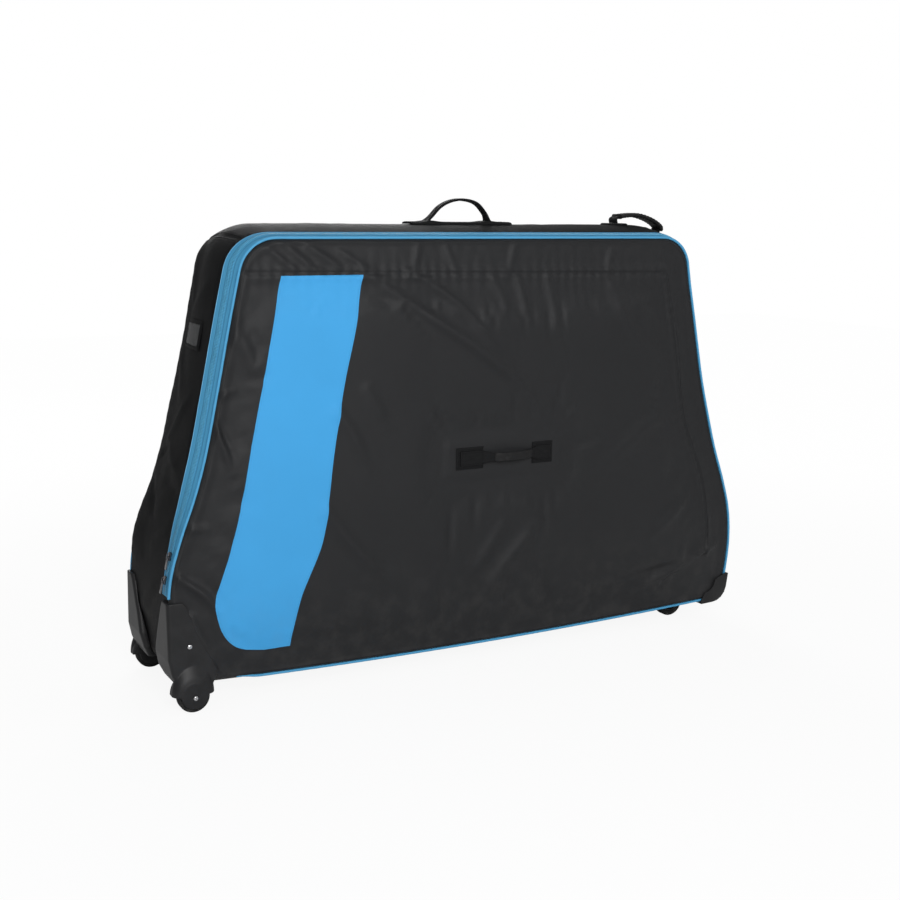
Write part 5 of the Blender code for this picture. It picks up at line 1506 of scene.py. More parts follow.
@dataclass(frozen=True)
class GussetFold:
    """A fold across the gusset, from one spot to another, by running length and depth."""

    start: Spot
    end: Spot
    height: float
    width: float

    def relief(self, spots: Array) -> Array:
        """The fold's height at spots."""
        a, b = np.array(self.start), np.array(self.end)
        span = b - a
        t = np.clip(((spots - a) @ span) / float(span @ span), 0.0, 1.0)
        gap = np.linalg.norm(spots - (a + t[..., None] * span), axis=-1) / self.width
        return self.height * np.exp(-gap * gap) * mix(0.35, 1.0, plateau(t, 1.6))


@dataclass
class GussetCloth:
    """The black cloth round the bag, from the caster tray over the top to the corner wheels."""

    form: BagForm
    wheel: WheelPlaces
    tray_right_x: float = 0.6035
    base_left_x: float = -0.6115
    rows: int = 737
    columns: int = 53
    seam_depth: float = 0.0016
    seam_width: float = 0.0035
    waves: float = 0.0011
    seed: int = 31
    puckers: float = 0.0006
    pucker_pitch: float = 0.027
    pucker_reach: Spot = (0.03, 0.25)
    taut_share: float = 0.8
    free_reach: float = 0.16
    known_folds: tuple[tuple[float, ...], ...] = (
        (0.560, -0.050, 0.455, 0.055, 0.0045, 0.014), (0.470, 0.020, 0.435, 0.075, -0.0040, 0.010),
        (0.330, -0.085, 0.275, 0.020, 0.0040, 0.016), (0.250, -0.090, 0.180, 0.000, -0.0035, 0.014),
        (0.205, -0.040, 0.150, 0.070, 0.0035, 0.016), (0.770, -0.070, 0.700, 0.060, 0.0030, 0.020),
        (0.640, 0.085, 0.560, 0.010, 0.0030, 0.016), (0.395, 0.095, 0.330, 0.020, -0.0030, 0.012),
    )

    def __post_init__(self) -> None:
        """Find where the cloth starts and ends, its cross seams and its folds."""
        form = self.form
        self.start = form.crossing(0, self.tray_right_x + GAP)
        self.end = form.left_of_bottom(self.base_left_x)
        self.right_shoulder = form.crossing(1, float(form.high_arc[12, 1]), after=self.start)
        self.left_shoulder = form.perimeter - self.right_shoulder
        self.folds = self._folds()

    def _folds(self) -> tuple[GussetFold, ...]:
        """Folds of the left end and the top, where the photograph shows them or they follow."""
        left = self.form.left
        known = [
            GussetFold((left(high), y), (left(low), end_y), height, width)
            for high, y, low, end_y, height, width in self.known_folds
        ]
        random = np.random.default_rng(self.seed)
        for _ in range(26):
            along = random.uniform(self.start + 0.25, self.end - 0.15)
            depth = random.uniform(-0.09, 0.10)
            lean = random.uniform(-0.07, 0.07)
            reach = random.uniform(0.04, 0.11) * (1 if depth < 0 else -1)
            height = random.choice((-1, 1)) * random.uniform(0.0010, 0.0024)
            end = (along + lean, depth + reach)
            known.append(GussetFold((along, depth), end, height, random.uniform(0.009, 0.018)))
        return tuple(known)

    def _relief(self, lengths: Array, y: Array, edge: Array) -> Array:
        """Folds, waves and seams of the cloth, nothing where it is sewn at its edges."""
        spots = stacked(np.broadcast_to(lengths, y.shape), y)
        height = slow_waves(spots, self.seed, self.waves)
        for fold in self.folds:
            height = height + fold.relief(spots)
        puckers = np.sin(lengths * TURN / self.pucker_pitch + 1.5 * np.sin(lengths * 23))
        height = height + self.puckers * puckers * (1 - smooth_step(*self.pucker_reach, edge))
        top = np.maximum(self.form.at(np.broadcast_to(lengths, y.shape)).normal[..., 1], 0.0)
        height = height * (1 - self.taut_share * top ** 2)
        for seam in (self.right_shoulder, self.left_shoulder):
            gap = (lengths - seam) / self.seam_width
            height = height - self.seam_depth * np.exp(-gap * gap)
        return height * smooth_step(0.0, self.free_reach, edge)

    def depths(self, lengths: Array) -> Array:
        """The y of the cloth's columns at running lengths."""
        places = self.form.at(lengths)
        _, front = self.form.gusset_front(places)
        rear = np.full(front.shape, self.form.edge_y)
        arms = places.point - (self.wheel.x, self.wheel.housing_z)
        near = np.linalg.norm(arms, axis=-1) < self.wheel.housing_radius + HOUSING_GAP
        limit = self.wheel.housing_inner_y - HOUSING_GAP
        front = np.where(near, np.maximum(front, -limit), front)
        rear = np.where(near, limit, rear)
        share = np.linspace(0.0, 1.0, self.columns)
        return front[:, None] + (rear - front)[:, None] * share

    def out(self, lengths: Array, y: Array) -> Array:
        """How far the outer face stands out of the outline."""
        places = self.form.at(np.broadcast_to(lengths[..., None], y.shape))
        _, front = self.form.gusset_front(places)
        share = np.clip((y - front) / (self.form.edge_y - front), 0.0, 1.0)
        return self.form.gusset_out(places, y) + self._relief(lengths[..., None], y, bow(share))

    def build(self) -> None:
        """Make the cloth as one closed shell."""
        form = self.form
        even = np.linspace(self.start, self.end, self.rows)
        low, high = form.fold_z, form.fold_z + form.zip_end_rise
        right = [form.crossing(1, z, after=self.start) for z in (low, high)]
        extra = [np.linspace(form.left(high), form.left(low), 5), np.linspace(*right, 5)]
        lengths = np.unique(np.round(np.concatenate([even, *extra]), 6))
        surplus = (len(lengths) - 1) % 4
        lengths = np.delete(lengths, np.arange(3, 3 + 2 * surplus, 2)) if surplus else lengths
        y = self.depths(lengths)
        places = form.at(lengths).spread(self.columns)
        out = self.out(lengths, y)
        inner = places.lifted(np.minimum(form.gusset_out(places, y), out) - form.gusset_t, y)
        cloth = stacked(y, np.broadcast_to(lengths[:, None], y.shape))
        piece = make_shell("gusset_cloth", places.lifted(out, y), inner, cloth, BLACK_CLOTH)
        ride(piece, Body.BAG, Slot.BLACK, "left_gusset", "top_gusset", "right_gusset")


@dataclass
class PipingCord:
    """Round piping sewn in between the panels and the gusset."""

    form: BagForm
    front: FrontCloth
    radius: float = 0.0027
    lift: float = 0.0006
    tuck: float = 0.0050
    tuck_run: float = 0.050
    rear_tuck: float = 0.0022
    left_end_x: float = -0.525
    front_end_z: float = 0.2153
    back_end_z: float = 0.2075
    spacing: float = 0.0045
    sides: int = 12
    swell: float = 0.025
    swell_pitch: float = 0.031
    rear_tuck_x: Spot = (0.35, 0.50)

    def _cord(self, name: str, side: Side, end_z: float) -> Thing:
        """The piping round one panel."""
        form = self.form
        start = form.left_of_bottom(self.left_end_x) - form.perimeter
        end = form.left(end_z)
        lengths = np.linspace(start, end, int((end - start) / self.spacing))
        places = form.at(lengths)
        angles = np.linspace(0, TURN, self.sides, endpoint=False)
        plump = self.radius * (1 + self.swell * np.sin(lengths * TURN / self.swell_pitch))
        lift = self.lift - self.tuck * (1 - smooth_step(start, start + self.tuck_run, lengths))
        if side is Side.REAR:
            lift = lift - self.rear_tuck * smooth_step(*self.rear_tuck_x, -places.point[:, 0])
        out = lift[:, None] + plump[:, None] * np.cos(angles)
        y = side.value * form.half_depth + plump[:, None] * np.sin(angles)
        return make_tube(name, places.spread(self.sides).lifted(out, y), PIPING_TAPE)

    def build(self) -> None:
        """Make the front and the back piping."""
        front = self._cord("front_piping", Side.FRONT, self.front_end_z)
        self.front.bend(front, Slot.BLUE, "flap_piping", "lower_piping")
        ride(self._cord("rear_piping", Side.REAR, self.back_end_z), Body.BAG, Slot.BLUE, "back_piping")


class RowMaker(Tree):
    """A Geometry Nodes tree that sets copies of one small piece along lines on a surface."""

    INPUTS = (
        ("Piece", "NodeSocketObject"), ("Spacing", "NodeSocketFloat"), ("Size", "NodeSocketFloat"),
        ("Jitter", "NodeSocketFloat"), ("Seed", "NodeSocketInt"), ("Material", "NodeSocketMaterial"),
    )

    def __init__(self) -> None:
        """Build the tree once, for every row."""
        self.tree = bpy.data.node_groups.new("row_of_pieces", "GeometryNodeTree")
        face = self.tree.interface
        face.new_socket("Geometry", in_out="INPUT", socket_type="NodeSocketGeometry")
        self.keys = {
            name: face.new_socket(name, in_out="INPUT", socket_type=kind).identifier
            for name, kind in self.INPUTS
        }
        face.new_socket("Geometry", in_out="OUTPUT", socket_type="NodeSocketGeometry")
        given = self.add("NodeGroupInput").outputs
        curve = self._step("GeometryNodeMeshToCurve", Mesh=given["Geometry"])
        spaced = self.add(
            "GeometryNodeResampleCurve", {"mode": "LENGTH"}, {"Curve": curve, "Length": given["Spacing"]}
        ).outputs[0]
        facing = self.add(
            "GeometryNodeInputNamedAttribute", {"data_type": "FLOAT_VECTOR"}, {"Name": "facing"}
        )
        turn = self.add(
            "FunctionNodeAxesToRotation", {"primary_axis": "X", "secondary_axis": "Z"},
            {"Primary Axis": self._step("GeometryNodeInputTangent"), "Secondary Axis": facing.outputs[0]},
        )
        chance = self.add(
            "FunctionNodeRandomValue", {"data_type": "FLOAT"}, {2: -1.0, 3: 1.0, "Seed": given["Seed"]}
        )
        swing = self.add(
            "ShaderNodeMath", {"operation": "MULTIPLY"}, {0: chance.outputs[1], 1: given["Jitter"]}
        )
        tilt = self.add(
            "FunctionNodeEulerToRotation", None, {0: self._step("ShaderNodeCombineXYZ", Z=swing.outputs[0])}
        )
        turned = self.add(
            "FunctionNodeRotateRotation", {"rotation_space": "LOCAL"},
            {0: turn.outputs[0], 1: tilt.outputs[0]},
        )
        piece = self.add("GeometryNodeObjectInfo", None, {"Object": given["Piece"]}).outputs["Geometry"]
        copies = self._step(
            "GeometryNodeInstanceOnPoints", Points=spaced, Instance=piece, Rotation=turned.outputs[0],
            Scale=given["Size"],
        )
        real = self.add("GeometryNodeRealizeInstances", None, {0: copies}).outputs[0]
        dressed = self._step("GeometryNodeSetMaterial", Geometry=real, Material=given["Material"])
        self.add("NodeGroupOutput", None, {0: dressed})

    def _step(self, kind: str, **sockets: object) -> Socket:
        """The first output of a new node whose inputs are given by name."""
        return self.add(kind, None, sockets).outputs[0]

    def lay(
        self, name: str, lines: Sequence[tuple[Array, Array]], piece: Thing,
        spacing: float, finish: Finish, jitter: float = 0.0, seed: int = 5,
    ) -> Thing:
        """Set copies of a piece along lines.

        Args:
            name: The name of the result.
            lines: Points of each line and the way the surface faces there.
            piece: The piece, whose X follows the line and whose Z faces out.
            spacing: The distance between copies.
            finish: Their finish.
            jitter: How far a copy may turn from its line, in radians.
            seed: The seed of that turning.

        Returns:
            A plain mesh object of all the copies.
        """
        points = leaning(np.concatenate([line for line, _ in lines]))
        facings = np.concatenate([facing for _, facing in lines])
        edges, start = [], 0
        for line, _ in lines:
            edges += [(start + k, start + k + 1) for k in range(len(line) - 1)]
            start += len(line)
        mesh = bpy.data.meshes.new(name + "_lines")
        mesh.from_pydata(points.tolist(), edges, [])
        layer = mesh.attributes.new("facing", "FLOAT_VECTOR", "POINT")
        layer.data.foreach_set("vector", np.ascontiguousarray(facings, dtype=np.float32).ravel())
        guide = linked(name + "_lines", mesh)
        modifier = guide.modifiers.new("row", "NODES")
        modifier.node_group = self.tree
        values = {
            "Piece": piece, "Spacing": spacing, "Size": 1.0, "Jitter": jitter, "Seed": seed,
            "Material": finish.material(),
        }
        for key, value in values.items():
            modifier[self.keys[key]] = value
        made = plain_mesh(guide)
        for stray in [a.name for a in made.attributes if a.name == "facing"]:
            made.attributes.remove(made.attributes[stray])
        guide.modifiers.remove(modifier)
        discard(guide)
        made.name = name
        made.shade_smooth()
        return linked(name, made)


def small_loaf(
    name: str, length: float, width: float, height: float, sections: Sequence[Spot],
    crosswise: bool = False,
) -> Thing:
    """A small rounded bar with six sides, to be repeated in rows.

    Args:
        name: Its name.
        length: Its length along X, or along Y if it lies crosswise.
        width: Its width.
        height: Its height along Z.
        sections: Places along the length and the section's size there, as shares.
        crosswise: Whether it lies across its row.

    Returns:
        The object, which the caller removes after its last use.
    """
    sides = 6
    angles = np.linspace(0, TURN, sides, endpoint=False) + math.pi / sides
    rings = np.array([
        stacked(np.full(sides, place * length), np.cos(angles) * width / 2 * share,
                  np.sin(angles) * height / 2 * share)
        for place, share in sections
    ])
    faces = [
        (i * sides + j, i * sides + (j + 1) % sides, (i + 1) * sides + (j + 1) % sides, (i + 1) * sides + j)
        for i in range(len(sections) - 1) for j in range(sides)
    ]
    last = (len(sections) - 1) * sides
    faces += [tuple(range(sides))[::-1], tuple(last + j for j in range(sides))]
    bar = make_piece(name, rings.reshape(-1, 3), faces, BLACK_THREAD)
    if crosswise:
        spots = np.array([v.co for v in bar.data.vertices])
        turned = stacked(-spots[:, 1], spots[:, 0], spots[:, 2])
        bar.data.vertices.foreach_set("co", turned.astype(np.float32).ravel())
    return bar


class Thread(Enum):
    """The sewing threads."""

    BLACK = "black"
    BLUE = "blue"

    @property
    def finish(self) -> Finish:
        """The thread's finish."""
        return BLACK_THREAD if self is Thread.BLACK else BLUE_THREAD


@dataclass
class StitchWork:
    """Every visible row of stitches, gathered by thread and by what it moves with."""

    rows: RowMaker
    pitch: float = 0.0042
    length: float = 0.0030
    thickness: float = 0.0008
    jitter: float = 0.10

    def __post_init__(self) -> None:
        """Start with no rows."""
        self.lines: dict[tuple[Thread, Body | None], list[tuple[Array, Array]]] = {}

    def sew(self, line: Array, facing: Array, thread: Thread, body: Body | None) -> None:
        """Add a row of stitches; no body means that it bends with the front."""
        self.lines.setdefault((thread, body), []).append((line + facing * self.thickness * 0.12, facing))

    def box(self, corners: Array, facing: Array, body: Body | None, cross: bool = True) -> None:
        """Add a rectangle of black stitches between four corners, with a cross inside it."""
        loop = [(0, 1), (1, 2), (2, 3), (3, 0)] + ([(0, 2), (1, 3)] if cross else [])
        for a, b in loop:
            share = np.linspace(0, 1, 6)[:, None]
            line = corners[a] * (1 - share) + corners[b] * share
            self.sew(line, np.repeat(facing[None], 6, axis=0), Thread.BLACK, body)

    def box_on_gusset(
        self, form: BagForm, lengths: Spot, half_width: float, lift: float, cross: bool = True
    ) -> None:
        """A rectangle of stitches over the gusset between two running lengths."""
        low, high = lengths
        y = (-half_width, -half_width, half_width, half_width)
        corners = form.over_gusset((low, high, high, low), y, lift)
        self.box(corners, form.at([(low + high) / 2]).facing[0], Body.BAG, cross)

    def build(self, front: FrontCloth) -> None:
        """Make one piece of stitches for each thread and body."""
        stitch = small_loaf(
            "stitch", self.length, self.thickness, self.thickness,
            ((-0.5, 0.3), (-0.2, 1.0), (0.2, 1.0), (0.5, 0.3)),
        )
        for (thread, body), lines in self.lines.items():
            name = f"{thread.value}_stitches_{body.value if body else 'fold'}"
            piece = self.rows.lay(name, lines, stitch, self.pitch, thread.finish, self.jitter)
            slot = Slot.BLACK if thread is Thread.BLACK else Slot.BLUE
            if body:
                ride(piece, body, slot)
            else:
                front.bend(piece, slot)
        bpy.data.objects.remove(stitch)


@dataclass
class ZipBand:
    """The zip: two tapes, two rows of teeth and their stitching."""

    form: BagForm
    front: FrontCloth
    rows: RowMaker
    stitches: StitchWork
    tooth_pitch: float = 0.0026
    tooth_length: float = 0.0056
    tooth_width: float = 0.0019
    tooth_height: float = 0.0022
    tape_rows: int = 640
    seam_inset: float = 0.0026
    middle_gap: float = 0.0004
    tooth_overlap: float = 0.0006
    ripple_pitch: float = 0.043

    def __post_init__(self) -> None:
        """Find the zip's run."""
        level = self.form.fold_z + self.form.zip_end_rise
        self.start = self.form.crossing(1, level)
        self.end = self.form.left(level)

    def _tape(self, name: str, low: float, high: float, outer_low: bool, wave: float) -> Thing:
        """One tape between two places along the band's width.

        Args:
            name: The piece's name.
            low: Where it starts.
            high: Where it ends.
            outer_low: Whether its sewn edge is the low one.
            wave: How much its face ripples.

        Returns:
            The tape.
        """
        form = self.form
        lengths = np.linspace(self.start, self.end, self.tape_rows + 1)
        across = np.linspace(low, high, 9)
        places = form.at(lengths).spread(9)
        ripple = wave * np.sin(lengths * TURN / self.ripple_pitch + 2 * np.sin(lengths * 11))[:, None]
        rise = form.tape_t + ripple * bow((across - low) / (high - low))
        outer = form.zip_band(places, across, rise)
        inner = form.zip_band(places, across, np.zeros_like(rise))
        edge = across - low if outer_low else high - across
        cloth = stacked(edge[None, :], lengths[:, None])
        return make_shell(name, outer, inner, cloth, BLUE_TAPE)

    def facing(self, places: Places) -> Array:
        """The way the band faces."""
        tilt = self.form.zip_tilt(places)[..., None]
        normal = places.normal * np.cos(tilt)
        return stacked(normal[..., 0], -np.sin(tilt)[..., 0], normal[..., 1])

    def line(self, along: float, rise: float, offset: float = 0.0) -> tuple[Array, Array]:
        """A line along the band and the way it faces."""
        lengths = np.linspace(self.start + 0.002 + offset, self.end - 0.002, 900)
        places = self.form.at(lengths)
        return self.form.zip_band(places, np.full(900, along), np.full(900, rise)), self.facing(places)

    def _teeth(self, name: str, middle: float, head_up: bool, offset: float) -> Thing:
        """One row of teeth, whose heads reach over the middle of the band."""
        head, tail = (1.18, 0.80) if head_up else (0.80, 1.18)
        tooth = small_loaf(
            name + "_one", self.tooth_length, self.tooth_width, self.tooth_height,
            ((-0.5, tail * 0.45), (-0.40, tail), (0.10, 0.72), (0.34, head), (0.5, head * 0.45)), True,
        )
        rise = self.form.tape_t + self.tooth_height * 0.32
        lines = [self.line(middle, rise, offset)]
        row = self.rows.lay(name, lines, tooth, self.tooth_pitch, BLUE_NYLON, 0.03)
        bpy.data.objects.remove(tooth)
        return row

    def build(self) -> None:
        """Make the tapes, the teeth and the seams beside them."""
        form, front = self.form, self.front
        half = form.zip_width / 2
        flap_tape = self._tape("flap_tape", 0.0, half - self.middle_gap, True, 0.0003)
        front.bend(flap_tape, Slot.BLUE, "flap_zip_tape")
        bag_tape = self._tape("bag_tape", half + self.middle_gap, form.zip_width, False, 0.0004)
        ride(bag_tape, Body.BAG, Slot.BLUE, "body_zip_tape")
        reach, overlap = self.tooth_length / 2, self.tooth_overlap
        flap_teeth = self._teeth("flap_teeth", half - reach + overlap, False, 0.0)
        bag_teeth = self._teeth("bag_teeth", half + reach - overlap, True, self.tooth_pitch / 2)
        front.bend(flap_teeth, Slot.BLUE, "flap_zip_teeth")
        ride(bag_teeth, Body.BAG, Slot.BLUE, "body_zip_teeth")
        rise = form.tape_t + 0.0002
        for along, body in ((self.seam_inset, None), (form.zip_width - self.seam_inset, Body.BAG)):
            line, facing = self.line(along, rise)
            self.stitches.sew(line, facing, Thread.BLUE, body)


ALONG_Y, ALONG_Z = np.array([0.0, 1.0, 0.0]), np.array([0.0, 0.0, 1.0])


def body_of(node: str) -> Body:
    """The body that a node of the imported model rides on."""
    return Body(frame["nodes"][node]["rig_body"])


def adopt(obj: Thing, name: str, finish: Finish) -> Thing:
    """Turn an object with live modifiers into a plain finished one."""
    mesh = plain_mesh(obj)
    discard(obj)
    mesh.name = name
    mesh.materials.clear()
    mesh.materials.append(finish.material())
    return linked(name, mesh)


def merged_copy(node: str) -> Thing:
    """A copy of a node's mesh with its loose triangles joined up."""
    mesh = frame["nodes"][node].data.copy()
    work = bmesh.new()
    work.from_mesh(mesh)
    bmesh.ops.remove_doubles(work, verts=work.verts, dist=1e-6)
    bmesh.ops.dissolve_limit(work, angle_limit=math.radians(1.0), verts=work.verts, edges=work.edges)
    work.to_mesh(mesh)
    work.free()
    for layer in [a.name for a in mesh.attributes if a.name == "custom_normal"]:
        mesh.attributes.remove(mesh.attributes[layer])
    return linked(node + "_copy", mesh)


def bevelled(node: str, name: str, finish: Finish, slot: Slot, width: float) -> Thing:
    """A node again with its hard edges rounded, riding where the node does."""
    obj = merged_copy(node)
    rounding = obj.modifiers.new("rounding", "BEVEL")
    rounding.width = width
    rounding.segments = 3
    rounding.limit_method = "ANGLE"
    rounding.angle_limit = math.radians(34)
    rounding.use_clamp_overlap = True
    piece = adopt(obj, name, finish)
    piece.data.shade_smooth()
    piece.data.set_sharp_from_angle(angle=math.radians(42))
    return ride(piece, body_of(node), slot, node)


def moulded(node: str, name: str, finish: Finish, slot: Slot, grain: float, rounds: int) -> Thing:
    """A node again as one moulding, with every edge melted round, riding where the node does."""
    obj = merged_copy(node)
    fused = obj.modifiers.new("fused", "REMESH")
    fused.mode = "VOXEL"
    fused.voxel_size = grain
    melted = obj.modifiers.new("melted", "SMOOTH")
    melted.factor = 0.5
    melted.iterations = rounds
    piece = adopt(obj, name, finish)
    piece.data.shade_smooth()
    return ride(piece, body_of(node), slot, node)


def turned(
    name: str, profile: Sequence[Spot], centre: Sequence[float], finish: Finish, sides: int = 64,
    sharp: float = 50,
) -> Thing:
    """A solid of revolution about an axis along Y, from pairs of radius and distance along it."""
    radius, level = np.array(profile, float).T
    angles = np.linspace(0, TURN, sides, endpoint=False)[:, None]
    across = (centre[0] + radius * np.cos(angles), centre[2] + radius * np.sin(angles))
    along = np.broadcast_to(centre[1] + level, across[0].shape)
    rings = stacked(across[0], along, across[1])
    return make_tube(name, rings, finish, hollow=True, sharp=sharp)


def strap_section(width: float, thickness: float, lift: float = 0.0, steps: int = 6) -> Array:
    """The section of a strap with round edges, as places across and out."""
    r = thickness / 2
    flat = np.linspace(-width / 2 + r, width / 2 - r, steps + 1)
    turn = np.linspace(-math.pi / 2, math.pi / 2, 5)[1:-1]
    across = [flat, width / 2 - r + r * np.cos(turn), flat[::-1], -width / 2 + r - r * np.cos(turn)]
    out = [np.zeros(steps + 1), r + r * np.sin(turn), np.full(steps + 1, thickness), r - r * np.sin(turn)]
    return stacked(np.concatenate(across), np.concatenate(out) + lift)


def strap_rings(path: Array, across: Array, section: Callable[[float], Array]) -> Array:
    """Rings of a strap's section along a path, whose width runs one way throughout."""
    along = unit(np.gradient(path, axis=0))
    out = unit(np.cross(along, across))
    shares = np.linspace(0, 1, len(path))
    sections = np.array([section(share) for share in shares])
    return path[:, None] + sections[..., :1] * across + sections[..., 1:] * out[:, None]


def rectangle(left: float, right: float, low: float, high: float) -> Array:
    """The corners of a rectangle, one after another."""
    return np.array([(left, low), (right, low), (right, high), (left, high)])


@dataclass
class Handles:
    """The top carry handle, the end grab handle and the side handle."""

    form: BagForm
    front: FrontCloth
    rows: RowMaker
    stitches: StitchWork
    width: float = 0.036
    strap_t: float = 0.0028
    base_x: Spot = (-0.107, 0.123)
    base_t: float = 0.005
    base_margin: float = 0.005
    top_loop_x: Spot = (-0.060, 0.074)
    top_loop_h: float = 0.043
    top_loop_shares: tuple[Spot, ...] = (
        (-0.10, 0.03), (-0.03, 0.09), (0.05, 0.27), (0.20, 0.72), (0.38, 0.98), (0.58, 1.05),
        (0.80, 0.90), (0.95, 0.45), (1.01, 0.10), (1.08, 0.03),
    )
    foot_length: float = 0.046
    foot_t: float = 0.003
    foot_x: float = 0.39585
    shoulder_share: float = 0.48
    top_folded: float = 0.42
    top_fold_in: Spot = (0.04, 0.22)
    top_fold_out: Spot = (-0.96, -0.78)
    foot_swell_reach: float = 0.020
    end_loop_h: float = 0.0235
    end_loop_shares: tuple[Spot, ...] = (
        (0.0, 0.0), (0.0, 0.40), (0.16, 0.76), (0.45, 1.19), (0.75, 1.22), (1.0, 0.90), (1.02, 0.42),
        (1.0, 0.0),
    )
    end_grip: Spot = (0.22, 0.78)
    grip_wall: float = 0.0028
    grip_ribs: int = 17
    side_z: float = 0.428
    patch_h: float = 0.044
    patch_t: float = 0.0015
    patches: tuple[Spot, Spot] = ((-0.072, -0.010), (0.104, 0.152))
    side_w: float = 0.030
    side_ends: Spot = (-0.064, 0.146)
    side_lift: float = 0.014
    side_grip: Spot = (0.34, 0.72)
    side_folded: float = 0.46
    side_fold_in: Spot = (0.20, 0.36)
    side_fold_out: Spot = (-0.84, -0.68)
    side_wall_share: float = 0.30
    strap_inset: float = 0.004
    face_y: float = -0.1485
    seam_inset: float = 0.0035
    sewn_length: float = 0.034
    steps: int = 96

    def build(self) -> None:
        """Make the three handles."""
        self._top()
        self._end()
        self._side()

    def _on_gusset(
        self, name: str, low: float, high: float, half_width: float,
        thickness: Callable[[Array], Array], rows: int,
    ) -> Thing:
        """A strip of webbing that lies on the gusset between two running lengths.

        Args:
            name: The piece's name.
            low: Where it starts.
            high: Where it ends.
            half_width: Half its width.
            thickness: Its thickness at running lengths.
            rows: How many rows its grid has.

        Returns:
            The strip.
        """
        lengths = np.linspace(low, high, rows)
        y = np.linspace(-half_width, half_width, 13)
        places = self.form.at(lengths).spread(len(y))
        depth = np.broadcast_to(y, (rows, len(y)))
        base = self.form.gusset_out(places, depth) + SKIN_GAP
        rim = plateau((y + half_width) / (2 * half_width), 9) ** 0.5
        full = thickness(lengths)[:, None] * (0.35 + 0.65 * rim)
        outer = places.lifted(base + full, depth)
        inner = places.lifted(base, depth)
        cloth = stacked(depth + half_width, lengths[:, None])
        return make_shell(name, outer, inner, cloth, STRAP)

    def _sew_strip(self, low: float, high: float, half_width: float, lift: float) -> None:
        """Stitches round a strip on the gusset, with a cross."""
        inset = self.seam_inset
        self.stitches.box_on_gusset(self.form, (low + inset, high - inset), half_width - inset, lift)

    def _top(self) -> None:
        """The base strip on the top and the loop that rises from it."""
        form = self.form
        low = form.crossing(0, self.base_x[1], after=form.right_shoulder)
        high = form.crossing(0, self.base_x[0], after=form.right_shoulder)
        middle = form.half_perimeter
        feet = (middle - self.top_loop_x[1], middle - self.top_loop_x[0])

        def thickness(lengths: Array) -> Array:
            rise = sum(np.exp(-(((lengths - foot) / self.foot_swell_reach) ** 2)) for foot in feet)
            return self.base_t * 0.80 + self.strap_t * rise

        strip = self._on_gusset(
            "top_handle_strip", low, high, self.width / 2 + self.base_margin, thickness, 65
        )
        ride(strip, Body.BAG, Slot.BLACK, "top_handle_base")
        foot = form.top_z + form.top_crown + SKIN_GAP + self.base_t + GAP
        left, right = self.top_loop_x
        bends = [(mix(left, right, x), 0.0, foot + self.top_loop_h * up) for x, up in self.top_loop_shares]
        path = smooth_path(bends, self.steps)

        def section(share: float) -> Array:
            folded = smooth_step(*self.top_fold_in, share) * smooth_step(*self.top_fold_out, -share)
            width = self.width * (1 - self.top_folded * folded)
            return strap_section(width, self.strap_t * (1 + 0.8 * folded))

        loop = make_tube("top_handle_loop", strap_rings(path, ALONG_Y, section), STRAP)
        ride(loop, Body.BAG, Slot.BLACK, "top_handle")
        half = self.width / 2
        for start, end in ((high - self.sewn_length, high), (low, low + self.sewn_length)):
            self._sew_strip(start, end, half + 0.002, self.base_t)

    def _end(self) -> None:
        """The grab handle on the right shoulder."""
        form = self.form
        inner = form.crossing(0, self.foot_x, after=form.right_shoulder)
        arc = form.crossing(1, float(form.high_arc[0, 1]), after=form.crossing(1, 0.5))
        arc_end = form.crossing(0, float(form.high_arc[-1, 0]), after=arc)
        outer = mix(arc, arc_end, self.shoulder_share)
        ends = []
        for word, length in (("inner", inner), ("outer", outer)):
            low, high = length - self.foot_length / 2, length + self.foot_length / 2
            foot = self._on_gusset(
                f"end_foot_{word}", low, high, self.width / 2,
                lambda lengths: np.full(len(lengths), self.foot_t), 25,
            )
            ride(foot, Body.BAG, Slot.BLACK, f"end_handle_foot_{word}")
            self._sew_strip(low, high, self.width / 2, SKIN_GAP + self.foot_t)
            point = form.over_gusset([length], [0.0], SKIN_GAP + self.foot_t + SKIN_GAP)[0]
            ends.append((point, form.at([length]).facing[0]))
        (start, start_normal), (end, end_normal) = ends
        bends = []
        for along, up in self.end_loop_shares:
            normal = unit(mix(start_normal, end_normal, min(along, 1.0)))
            bends.append(mix(start, end, along) + normal * self.end_loop_h * up)
        path = smooth_path(bends, self.steps)
        width = self.width - 2 * self.grip_wall
        rings = strap_rings(path, ALONG_Y, lambda share: strap_section(width, self.strap_t))
        ride(make_tube("end_handle_webbing", rings, STRAP), Body.BAG, Slot.BLACK, "end_handle_strap")
        wrap = self._sleeve("end_handle_wrap", path, ALONG_Y, width, self.end_grip, self.grip_wall)
        ride(wrap, Body.BAG, Slot.RUBBER, "end_handle_grip")

    def _sleeve(
        self, name: str, path: Array, across: Array, width: float, shares: Spot, wall: float
    ) -> Thing:
        """A soft sleeve round a strap, with ribs and rolled ends.

        Args:
            name: The piece's name.
            path: The strap's path.
            across: The way in which its width runs.
            width: The strap's width.
            shares: Where the sleeve starts and ends, as shares of the path.
            wall: Its thickness.

        Returns:
            The sleeve.
        """
        first, last = (round(share * (len(path) - 1)) for share in shares)
        part = smooth_path(path[first : last + 1], 4 * (last - first))

        def section(share: float) -> Array:
            rolled = 0.35 * np.exp(-((min(share, 1 - share) / 0.035) ** 2))
            ribs = 0.14 * math.sin(share * math.pi * 2 * self.grip_ribs)
            grown = wall * (1.0 + rolled + ribs)
            return strap_section(width + 2 * grown, self.strap_t + 2 * grown, -grown)

        return make_tube(name, strap_rings(part, across, section), GRIP_RUBBER)

